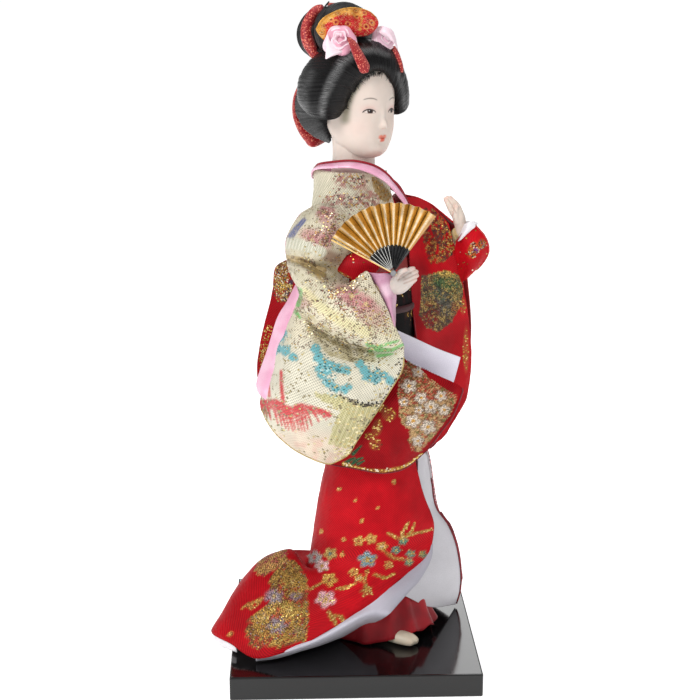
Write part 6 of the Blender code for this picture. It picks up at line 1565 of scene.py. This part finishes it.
def strip(name, path, half, also, back, nu=24, nv=90):
    pts = ways([sight(*p) for p in path], nv)
    t_ = np.gradient(pts, axis=0)
    t_ /= np.linalg.norm(t_, axis=1, keepdims=True)
    s_ = np.cross(t_, HF)
    s_ /= np.linalg.norm(s_, axis=1, keepdims=True)
    k = np.linspace(-1, 1, nu)
    end = np.linspace(0, 1, nv)
    w = half * np.where(end > 0.86, np.sqrt(np.clip(1 - ((end - 0.86) / 0.145) ** 2, 0.02, 1)), 1.0)
    g_ = pts[:, None] + s_[:, None] * (k[None, :, None] * w[:, None, None]) + back * (0.9 * (k ** 2)[None, :, None])
    cloth(name, g_, 0.5, back, [M_KANOKO, M_KANOKO], np.full(g_.shape, 0.5), None, also, 0.8)


strip("ribbon_strip_near", [(353, 38, -17.5), (358, 50, -21.5), (363.5, 62, -23.3), (368.2, 72.3, -22.6)], 2.85, ["ribbon_front_near"], -HF)
strip("ribbon_strip_far", [(394, 46, 0.0), (398.5, 54, -2.0), (401.5, 63, -4.0), (403, 72.5, -4.5)], 1.5, ["ribbon_front_far"], -HF)

# ------------------------------------------------------------------ brocade bow before the bun
BOW = [(316, 29.5), (319.5, 22.5), (325, 16.8), (337, 10.6), (347, 8.0), (357, 7.8), (369, 11.3), (376.5, 17.5), (378.5, 24), (374, 30.5), (367, 35), (352, 37), (338, 41), (325, 40)]
k = len(BOW)
outl = ways(BOW + BOW[:3], (k + 2) * 14 + 1)[: k * 14 + 1][:-1]
na, nr = len(outl), 34
rad = np.linspace(0.02, 1.0, nr)
ctr = np.array([348.5, 24.0])
Xb = ctr[0] + (outl[None, :, 0] - ctr[0]) * rad[:, None]
Yb = ctr[1] + (outl[None, :, 1] - ctr[1]) * rad[:, None]
lift = 4.2 * (1 - rad[:, None] ** 3.0)
knot = np.exp(-((Xb - 358.5 - (Yb - 26) * 0.15) / 3.6) ** 2)
lift = lift * (1 - 0.62 * knot) + 0.75 * np.sin(np.arctan2(Yb - 30, Xb - 356) * 9) * smooth01(np.hypot(Xb - 356, Yb - 30), 3, 12) * (1 - rad[:, None] ** 4)
g0 = np.array([[sight(Xb[i, j], Yb[i, j], -9.2) for j in range(na)] for i in range(nr)])
g1 = g0 - FW * lift[..., None]
col = np.broadcast_to(rgb(206, 40, 46), g1.shape).copy()
band_ = np.maximum(stroke(Xb, Yb, [(316, 30), (322, 22), (331, 15.5), (343, 11), (357, 10)], 4.6, 0.15), blob(Xb, Yb, 321, 33, 5, 7))
col = over(col, band_, rgb(222, 160, 66), 0.95)
col = over(col, blob(Xb, Yb, 350, 13, 11, 5, 5, 0.3), rgb(220, 150, 64), 0.9)
col = over(col, stroke(Xb, Yb, [(357, 8), (362, 18), (360, 30)], 1.6, 0.5) * (fbm(Xb, Yb, 2) > 0.4), rgb(214, 160, 76), 0.9)
for cx, cy in ((324, 27), (331, 21), (338, 15), (347, 11.5), (356, 11), (364, 14), (368, 21), (357, 17), (345, 16.5), (322, 33), (366, 28), (372, 24), (336, 24), (348, 26), (341, 20)):
    d = np.hypot(Xb - cx, (Yb - cy) * 1.1)
    col = over(col, np.exp(-((d - 2.3) / 0.55) ** 2), rgb(232, 178, 92) if (cx + cy) % 2 < 1 else rgb(150, 30, 36), 0.85)
    col = over(col, 1 - smooth01(d, 0.7, 1.1), rgb(60, 28, 26), 0.9)
col = over(col, blob(Xb, Yb, 345, 21, 9, 4.5, -10, 0.3), rgb(150, 14, 26), 0.45)
fine_ = noise(Xb * 1.6, Yb * 1.6, 9)
col = over(col, (fine_ > 0.72) * 1.0, rgb(244, 206, 150), 0.5)
uvb = np.stack([Xb * 0.45, Yb * 0.45], -1).reshape(-1, 2)
Vb_ = np.concatenate([g1.reshape(-1, 3), (g0 + FW * 1.6).reshape(-1, 3)])
q1 = quads(nr, na, wrap_u=True, flip=True)
q2 = q1[:, ::-1] + nr * na
e = (nr - 1) * na + np.arange(na)
e2 = np.roll(e, -1)
rimf = np.stack([e, e2, e2 + nr * na, e + nr * na], -1)
Fb = list(q1) + list(q2) + list(rimf) + [list(range(na))[::-1], list(range(nr * na, nr * na + na))]
o = build("bow_brocade", Vb_, Fb, [M_OBI], None, np.concatenate([uvb, uvb]), np.concatenate([col.reshape(-1, 3)] * 2), ["hair_bow_brocade"])
bm = bmesh.new()
bm.from_mesh(o.data)
bmesh.ops.recalc_face_normals(bm, faces=bm.faces)
bm.to_mesh(o.data)
bm.free()
SHEETS["bow_brocade"] = (g1, np.broadcast_to(-FW, g1.shape))
gold_m = band_ + blob(Xb, Yb, 350, 13, 11, 5)
tube("bow_edge", [sight(a_, b_, -10.6) for a_, b_ in BOW[:8]], 0.2, [M_GOLDTHREAD], 8, 90, rgb(226, 170, 76))


def rose(name, centre, r, tilt, also, seed, colour, deep, squash=0.62):
    """A rose rolled from a satin band: a spiral of the band with outer turned petals."""
    axis = np.asarray(tilt, float)
    axis /= np.linalg.norm(axis)
    e1 = np.cross((0.2, 0.1, 1.0), axis)
    e1 /= np.linalg.norm(e1)
    e2 = np.cross(axis, e1)
    nu, nv = 260, 12
    tt = np.linspace(0, 1, nu)[None]
    w_ = np.linspace(0, 1, nv)[:, None]
    turns = 3.6
    ang = tt * turns * 2 * math.pi + seed
    base = r * (0.05 + 0.62 * tt)
    wob = 0.06 * r * np.sin(ang * 1.7 + seed * 3) + 0.05 * r * np.sin(ang * 3.1)
    rr_ = base + wob * tt + r * (0.10 + 0.24 * tt) * w_ ** 2.2 + 0.05 * r * np.sin(ang * 5 + 2) * w_ ** 3
    h = r * (0.52 - 0.45 * tt) * w_ ** 0.8 + r * (0.16 - 0.32 * tt) - 0.16 * r * tt * w_ ** 5
    G = np.asarray(centre, float) + e1 * (np.cos(ang) * rr_)[..., None] + e2 * (np.sin(ang) * rr_)[..., None] + axis * h[..., None]
    mixw = np.broadcast_to(w_ ** 0.8, rr_.shape)
    col_ = over(np.broadcast_to(deep, G.shape).copy(), mixw, colour)
    cloth(name, G, 0.28, -axis, [M_PINK, M_PINK], col_, None, also, 0.15)
    # a cushion beneath so that no gap shows
    aa, bb = np.meshgrid(np.linspace(0, 2 * math.pi, 60, endpoint=False), np.linspace(-math.pi / 2 + .05, math.pi / 2 - .05, 30))
    R = 0.86 * r * (1 + 0.05 * np.sin(aa * 5 + seed))
    Q = np.asarray(centre, float) + e1 * (np.cos(aa) * np.cos(bb) * R)[..., None] + e2 * (np.sin(aa) * np.cos(bb) * R)[..., None] + axis * (np.sin(bb) * r * 0.42 - r * 0.15)[..., None]
    build(name + "_base", Q.reshape(-1, 3), list(quads(30, 60, wrap_u=True)) + [list(range(60))[::-1], list(range(29 * 60, 30 * 60))], [M_PINK], None,
          np.stack([aa * r, bb * r], -1).reshape(-1, 2), np.broadcast_to(deep, (1800, 3)))


toward = -FW
rose("rose_pink_near", sight(340.6, 40.0, -16.5), 7.5, toward + np.array([-0.15, 0, 0.1]), ["rose_near"], 0.6, rgb(244, 218, 226), rgb(222, 158, 178))
rose("rose_pink_far", sight(384, 38.0, -3.5), 6.3, toward + np.array([0.55, 0, 0.15]), ["rose_far"], 2.1, rgb(248, 228, 234), rgb(236, 196, 212))
LEAF = [
    [(327, 33, -17.5), (331, 42, -18.5), (340, 48, -18.8), (350, 46, -18.2)],
    [(326.5, 42, -18.5), (330, 48, -19.5), (338, 51.5, -19.6), (345, 50.5, -18.8)],
    [(326, 50, -18.6), (329, 53, -19.6), (333, 54.5, -19.8), (338, 54.0, -19.0)],
    [(325.2, 58.6, -18.2), (326, 59, -18.6), (327, 58.8, -18.8), (328, 58.2, -18.6)],
]
g = rumple(net(LEAF, 36, 40), 0.2, 4.0, 91)
cloth("rose_petal_near", g, 0.35, (0, 1, 0), [M_PINK, M_PINK], np.broadcast_to(rgb(244, 220, 228), g.shape).copy(), None, (), 0.5)
LEAF2 = [
    [(376, 27, -5.5), (384, 26, -7), (392, 30, -6), (396, 38, -3)],
    [(380, 33, -7.5), (387, 33, -8.6), (393, 37, -7.6), (397, 44, -4)],
    [(388, 40, -7), (392, 41, -8), (396, 45, -7), (398, 50, -4)],
]
g = rumple(net(LEAF2, 36, 30), 0.2, 4.0, 92)
cloth("rose_petal_far", g, 0.35, (0, 1, 0), [M_PINK, M_PINK], np.broadcast_to(rgb(248, 220, 230), g.shape).copy(), None, (), 0.5)
# ------------------------------------------------------------------ hands and feet
HANDCOL = rgb(192, 181, 174)


def fingers(name, paths, also, colour=HANDCOL, voxel=0.00025, rounds=3, crease_shade=(), ring=20):
    """Fingers and palm as tapered rounds joined into one mesh by a remesh."""
    V, F = [], []
    for path, rads in paths:
        pts_ = ways([np.asarray(p, float) for p in path], 26)
        rr2 = ways(np.asarray(rads, float).reshape(-1, 1), 26)[:, 0]
        t_ = np.gradient(pts_, axis=0)
        t_ /= np.linalg.norm(t_, axis=1, keepdims=True)
        ref = np.array([0.3, 0.9, 0.25])
        s_ = np.cross(t_, ref)
        s_ /= np.linalg.norm(s_, axis=1, keepdims=True)
        b_ = np.cross(t_, s_)
        rows_p, rows_r = list(pts_), list(rr2)
        for q in (0.35, 0.65, 0.86, 0.97):
            rows_p.append(pts_[-1] + t_[-1] * rr2[-1] * q)
            rows_r.append(rr2[-1] * math.sqrt(1 - q * q))
        for q in (0.35, 0.65, 0.86, 0.97):
            rows_p.insert(0, pts_[0] - t_[0] * rr2[0] * q)
            rows_r.insert(0, rr2[0] * math.sqrt(1 - q * q))
        S = np.vstack([np.repeat(s_[:1], 4, 0), s_, np.repeat(s_[-1:], 4, 0)])
        Bq = np.vstack([np.repeat(b_[:1], 4, 0), b_, np.repeat(b_[-1:], 4, 0)])
        a_ = np.linspace(0, 2 * math.pi, 20, endpoint=False)
        rows_p, rows_r = np.array(rows_p), np.array(rows_r)
        G = rows_p[:, None] + S[:, None] * (np.cos(a_)[None, :, None] * rows_r[:, None, None]) + Bq[:, None] * (np.sin(a_)[None, :, None] * rows_r[:, None, None])
        base = sum(len(v) for v in V)
        V.append(G.reshape(-1, 3))
        m_ = len(rows_p)
        F += [list(q) for q in quads(m_, 20, base, wrap_u=True)] + [[base + i for i in range(20)][::-1], [base + (m_ - 1) * 20 + i for i in range(20)]]
    me = bpy.data.meshes.new(name)
    me.from_pydata((np.concatenate(V) / 1000).tolist(), [], F)
    o_ = bpy.data.objects.new(name, me)
    bpy.context.scene.collection.objects.link(o_)
    r_ = o_.modifiers.new("r", "REMESH")
    r_.mode, r_.voxel_size = "VOXEL", voxel
    s2 = o_.modifiers.new("s", "SMOOTH")
    s2.factor, s2.iterations = 0.5, rounds
    dg = bpy.context.evaluated_depsgraph_get()
    made = bpy.data.meshes.new_from_object(o_.evaluated_get(dg))
    co = np.array([v.co for v in made.vertices]) * 1000
    fs = [list(p.vertices) for p in made.polygons]
    bpy.data.objects.remove(o_)
    paint_ = np.broadcast_to(colour, co.shape).copy()
    tips = np.array([p[-1] for p, _ in paths[1:]] or [[0, 0, -99]])
    d_ = np.min(np.linalg.norm(co[:, None] - tips[None], axis=2), axis=1)
    paint_ = over(paint_, 1 - smooth01(d_, 0.6, 2.4), rgb(216, 172, 160), 0.4)
    Xc, Yc = picture(co)
    # painted shade in the creases between the fingers
    for line, w in crease_shade:
        paint_ = over(paint_, stroke(Xc, Yc, line, (w, w * 0.8), 0.8), rgb(146, 112, 98), 0.5)
    return build(name, co, fs, [M_SKIN], None, np.stack([co[:, 0], co[:, 2]], -1), paint_, also)


def S_(px, py, y):
    return sight(px, py, y)


# the right hand: held flat round the fan's end, its fingers together and towards the far side
fingers("hand_near", [
    ([S_(392, 285.5, -42.0), S_(397, 284.0, -43.5), S_(403, 281.0, -44.5), S_(408, 279.0, -45.0)], [3.3, 3.5, 3.1, 2.4]),
    ([S_(395, 289.0, -42.5), S_(400, 288.0, -44.0), S_(405, 285.0, -45.0), S_(409, 282.5, -45.4)], [2.4, 2.6, 2.4, 1.9]),
    ([S_(403, 274.6, -45.0), S_(407.5, 271.6, -46.4), S_(411, 269.4, -47.2), S_(413.6, 268.4, -47.4)], [1.7, 1.35, 1.15, 0.85]),
    ([S_(405, 277.6, -45.0), S_(410.0, 274.6, -46.6), S_(413.6, 272.6, -47.4), S_(416.4, 271.6, -47.6)], [1.7, 1.4, 1.2, 0.9]),
    ([S_(406, 281.0, -45.2), S_(411.0, 278.4, -46.6), S_(414.2, 276.6, -47.4), S_(417.0, 275.6, -47.6)], [1.7, 1.4, 1.2, 0.9]),
    ([S_(405, 284.6, -45.2), S_(410.0, 282.6, -46.4), S_(413.0, 281.0, -47.0), S_(415.4, 279.8, -47.2)], [1.6, 1.3, 1.1, 0.8]),
    ([S_(396, 279.0, -43.5), S_(398.5, 274.5, -46.6), S_(402, 271.5, -49.6), S_(406, 269.6, -50.4)], [1.8, 1.5, 1.2, 0.9]),
], ["hand_right"], HANDCOL, 0.00026, 3, [([(403, 277), (408.5, 273.6), (415.4, 270.2)], 0.8), ([(403.5, 280.3), (410, 277.2), (417, 273.8)], 0.8),
                                              ([(404, 283.6), (410, 281.2), (416.6, 278.2)], 0.8), ([(398, 281), (400.5, 276), (404, 273.4)], 0.7)])
fingers("hand_far", [
    ([S_(463.5, 243, 6.4), S_(461.5, 231, 5.0), S_(459.2, 219, 4.0), S_(456.6, 211, 3.6)], [2.4, 2.5, 2.9, 2.7]),
    ([S_(453.5, 214, 3.0), S_(450.5, 209, 2.6), S_(448.0, 204, 2.6), S_(445.2, 199.0, 3.0)], [1.45, 1.3, 1.15, 0.85]),
    ([S_(455.5, 212, 3.2), S_(452.8, 206, 2.8), S_(450.4, 201.5, 2.8), S_(447.6, 197.4, 3.0)], [1.5, 1.35, 1.2, 0.85]),
    ([S_(457.8, 211, 3.6), S_(455.6, 205.5, 3.2), S_(453.2, 201.5, 3.2), S_(450.6, 197.6, 3.4)], [1.5, 1.35, 1.2, 0.85]),
    ([S_(460.5, 213, 4.0), S_(458.6, 207.5, 3.8), S_(456.6, 204, 3.8), S_(454.4, 200.8, 4.0)], [1.4, 1.25, 1.1, 0.8]),
    ([S_(457.5, 222, 2.6), S_(455.5, 216, 1.4), S_(455.5, 211, 0.8), S_(456.6, 206, 0.8)], [1.5, 1.35, 1.15, 0.8]),
], ["hand_left"], rgb(224, 208, 194), 0.00026, 3, [([(456.2, 213), (451.6, 204.6), (448.0, 199.4)], 0.5)])
FOOTCOL = rgb(212, 198, 176)
for nm, heel, toe, shin, also in (("foot_near", (9.8, -15.8), (28.0, -27.6), [(12.0, -16.0, 14), (12.4, -13.0, 22), (11.8, -9.0, 42), (11.5, -5, 58)], "foot_right"),
                                  ("foot_far", (1.0, 7.6), (22.5, 8.4), [(6.0, 7.8, 15), (6.0, 8.0, 22), (6.5, 9.0, 42), (7.0, 10.5, 59)], "foot_left")):
    hl, te = np.array([*heel, 0.0]), np.array([*toe, 0.0])
    d = (te - hl) / np.linalg.norm(te - hl)
    s = np.cross(UP, d)
    L = np.linalg.norm(te - hl)
    F1 = FLOOR
    base = lambda t_, side, z_: hl + d * (L * t_) + s * side + UP * (F1 + z_)
    fingers(nm, [
        ([base(0.10, 0, 3.3), base(0.3, 0, 3.4), base(0.5, 0, 3.1), base(0.76, 0.1, 2.9)], [3.2, 3.8, 3.7, 3.0]),
        ([base(0.35, 1.2, 3.2), base(0.6, 1.6, 3.0), base(0.8, 1.7, 2.6), base(0.94, 1.3, 2.2)], [3.0, 3.0, 2.7, 2.2]),
        ([base(0.35, -1.2, 3.2), base(0.6, -1.5, 3.0), base(0.78, -1.6, 2.6), base(0.9, -1.3, 2.2)], [3.0, 3.0, 2.6, 2.2]),
        ([np.array(p, float) for p in shin], [3.4, 3.4, 4.0, 4.2]),
    ], [also], FOOTCOL, 0.0006 if nm == "foot_near" else 0.0009, 8)

# ------------------------------------------------------------------ fan
PIV = np.array([15.2, -49.5, 190.4])
A0, A1, PLEATS = 52.6, 150.0, 12


def fan_part(name, r0, r1, a0, a1, amp0, amp1, thick, mat, also, nr_=16, per=8, paint=(1, 1, 1), scallop=0.0):
    steps = 2 * PLEATS * per + 1
    rr3 = np.linspace(r0, r1, nr_)[:, None]
    k_ = np.linspace(0, 1, steps)[None]
    tri = np.abs(((k_ * PLEATS) % 1.0) * 2 - 1) * 2 - 1
    amp = amp0 + (amp1 - amp0) * (rr3 - r0) / (r1 - r0)
    a_ = np.radians(a0 + (a1 - a0) * k_)
    R_ = rr3 + scallop * np.abs(tri) * (rr3 > r1 - 0.5)
    G = np.stack([PIV[0] + R_ * np.cos(a_), PIV[1] + tri * amp + 0 * a_, PIV[2] + R_ * np.sin(a_)], -1)
    n_ = behind(G, (0, 1, 0), 1.0) * thick
    V_ = np.concatenate([(G - n_ / 2).reshape(-1, 3), (G + n_ / 2).reshape(-1, 3)])
    nu_, nv_ = steps, nr_
    q1_ = quads(nv_, nu_)
    off = nu_ * nv_
    rim_ = np.array(list(range(nu_)) + [i * nu_ + nu_ - 1 for i in range(1, nv_)] + [(nv_ - 1) * nu_ + j for j in range(nu_ - 2, -1, -1)] + [i * nu_ for i in range(nv_ - 2, 0, -1)])
    nx = np.roll(rim_, -1)
    F_ = list(q1_) + list(q1_[:, ::-1] + off) + list(np.stack([nx, rim_, off + rim_, off + nx], -1))
    p_ = np.broadcast_to((k_ * PLEATS) % 1.0, R_.shape)
    far = (rr3 - r0) / (r1 - r0) + 0 * k_
    # painted light and shade of the pleats: faces turned to the left are painted lit and those to the right darker,
    # with a cream painted highlight near each ridge, painted shade in the valleys and the lit faces paler towards the
    # outer edge; the dark specks are the paper's own
    c_ = np.broadcast_to(rgb(230, 180, 78), R_.shape + (3,)).copy()
    c_ = over(c_, smooth01(0.5 - p_, 0.0, 0.1), rgb(176, 122, 38), 0.9)
    c_ = over(c_, (1 - smooth01(np.abs(p_ - 0.63), 0.07, 0.16)), rgb(255, 248, 226), 0.95)
    c_ = over(c_, 1 - smooth01(np.minimum(p_, 1 - p_), 0.02, 0.09), rgb(96, 58, 14), 0.85)
    c_ = over(c_, smooth01(far, 0.6, 1.0) * (p_ > 0.5), rgb(252, 214, 140), 0.5)
    c_ = over(c_, noise(k_ * 37 + 0 * R_, far * 5, 5) > 0.62, rgb(120, 78, 22), 0.35)
    if mat is not M_GOLD:
        c_ = c_ * 0 + rgb(24, 22, 22)
    o_ = build(name, V_, F_, [mat], None, None, np.concatenate([c_.reshape(-1, 3)] * 2), also, smooth=False)
    b_ = bmesh.new()
    b_.from_mesh(o_.data)
    bmesh.ops.recalc_face_normals(b_, faces=b_.faces)
    b_.to_mesh(o_.data)
    b_.free()
    return G


fan_part("fan_gold_leaf", 11.4, 29.2, A0, A1, 0.5, 1.5, 0.22, M_GOLD, ["fan_leaf"])
fan_part("fan_black_ribs", 1.8, 11.8, A0 + 1.0, A1 - 1.0, 0.12, 0.33, 0.35, M_RIB, ["fan_ribs"])
# the ribs on the left (j > 5) take the light grey painted highlight; the others stay black
for j in range(PLEATS + 1):
    a_ = math.radians(A0 + 1.0 + (A1 - A0 - 2.0) * j / PLEATS)
    d = np.array([math.cos(a_), 0, math.sin(a_)])
    tube(f"fan_rib_{j:02d}", [PIV + d * 2.0 + (0, -0.75, 0), PIV + d * 11.7 + (0, -0.8, 0)], 0.11, [M_RIB_HIGHLIGHT if j > 5 else M_RIB], 8, 6, None)
for nm, deg, also in (("fan_guard_far", A0 + 1.2, "fan_guard_right"), ("fan_guard_near", A1 + 1.3, "fan_guard_left")):
    a_ = math.radians(deg)
    d, sd = np.array([math.cos(a_), 0, math.sin(a_)]), np.array([-math.sin(a_), 0, math.cos(a_)])
    V_ = []
    for r_, w_ in ((-1.5, 0.4), (2, 0.34), (12, 0.32), (29.3, 0.36)):
        for x_, y_ in ((-1, -1), (1, -1), (1, 1), (-1, 1)):
            V_.append(PIV + d * r_ + sd * w_ * x_ + np.array([0, 0.3 * y_ + (1.9 if nm == "fan_guard_far" else -0.5), 0]))
    F_ = [[i * 4 + j, i * 4 + (j + 1) % 4, i * 4 + 4 + (j + 1) % 4, i * 4 + 4 + j] for i in range(3) for j in range(4)] + [[3, 2, 1, 0], [12, 13, 14, 15]]
    o_ = build(nm, V_, F_, [M_GOLD if nm == "fan_guard_near" else M_RIB], None, None, np.tile(rgb(226, 190, 120), (16, 1)), [also], smooth=False)
    bv = o_.modifiers.new("b", "BEVEL")
    bv.width, bv.segments = 0.00012, 2

tube("hair_pin_wire", [sight(324, 9, 0.5), sight(325.5, 6, 0), sight(328, 2.8, -0.5), sight(329, 1.4, -0.8)], [0.42, 0.4, 0.36, 0.3], [M_RIB], 10, 24, None, ["hair_pin"])

# ------------------------------------------------------------------ stage, light, camera
floor_me = bpy.data.meshes.new("floor")
floor_me.from_pydata([(-30, -30, 0), (30, -30, 0), (30, 30, 0), (-30, 30, 0)], [], [(0, 1, 2, 3)])
floor = bpy.data.objects.new("floor", floor_me)
bpy.context.scene.collection.objects.link(floor)
m = bpy.data.materials.new("pale_floor")
m.use_nodes = True
b = m.node_tree.nodes["Principled BSDF"]
b.inputs["Base Color"].default_value = (0.9, 0.9, 0.9, 1)
b.inputs["Emission Color"].default_value = (1, 1, 1, 1)
b.inputs["Emission Strength"].default_value = 0.72
b.inputs["Roughness"].default_value = 0.9
b.inputs["Specular IOR Level"].default_value = 0.1
floor_me.materials.append(m)

world = bpy.data.worlds.new("studio")
bpy.context.scene.world = world
world.use_nodes = True
world.node_tree.nodes["Background"].inputs[0].default_value = (1.0, 1.0, 1.0, 1)
world.node_tree.nodes["Background"].inputs[1].default_value = 0.36


def lamp(name, loc, aim, size, power, colour=(1, 1, 1)):
    d_ = bpy.data.lights.new(name, "AREA")
    d_.shape, d_.size, d_.energy, d_.color = "SQUARE", size, power, colour
    o_ = bpy.data.objects.new(name, d_)
    o_.location = loc
    o_.rotation_euler = (Vector(aim) - Vector(loc)).to_track_quat("-Z", "Y").to_euler()
    bpy.context.scene.collection.objects.link(o_)
    return o_


lamp("key", (-0.6, -0.75, 0.85), (0, 0, 0.16), 0.4, 8.5)
lamp("fill", (0.8, -0.6, 0.55), (0, 0, 0.14), 0.6, 1.0)
lamp("top", (0.1, 0.05, 1.2), (0, 0, 0.1), 0.5, 3.5)
back = lamp("back", (0.1, 1.5, 0.68), (0, 0, 0.01), 0.64, 2.3)
back.data.shape, back.data.size_y = "RECTANGLE", 0.41

cam_d = bpy.data.cameras.new("camera")
cam_d.lens, cam_d.sensor_width, cam_d.sensor_fit = REACH * 36 / 700, 36, "HORIZONTAL"
cam_d.clip_start, cam_d.clip_end = 0.01, 100
cam = bpy.data.objects.new("camera", cam_d)
bpy.context.scene.collection.objects.link(cam)
M = Matrix((tuple(RT), tuple(UPV), tuple(-FW))).transposed().to_4x4()
M.translation = Vector(EYE / 1000)
cam.matrix_world = M
bpy.context.scene.camera = cam
bpy.context.scene.view_settings.view_transform = "Standard"
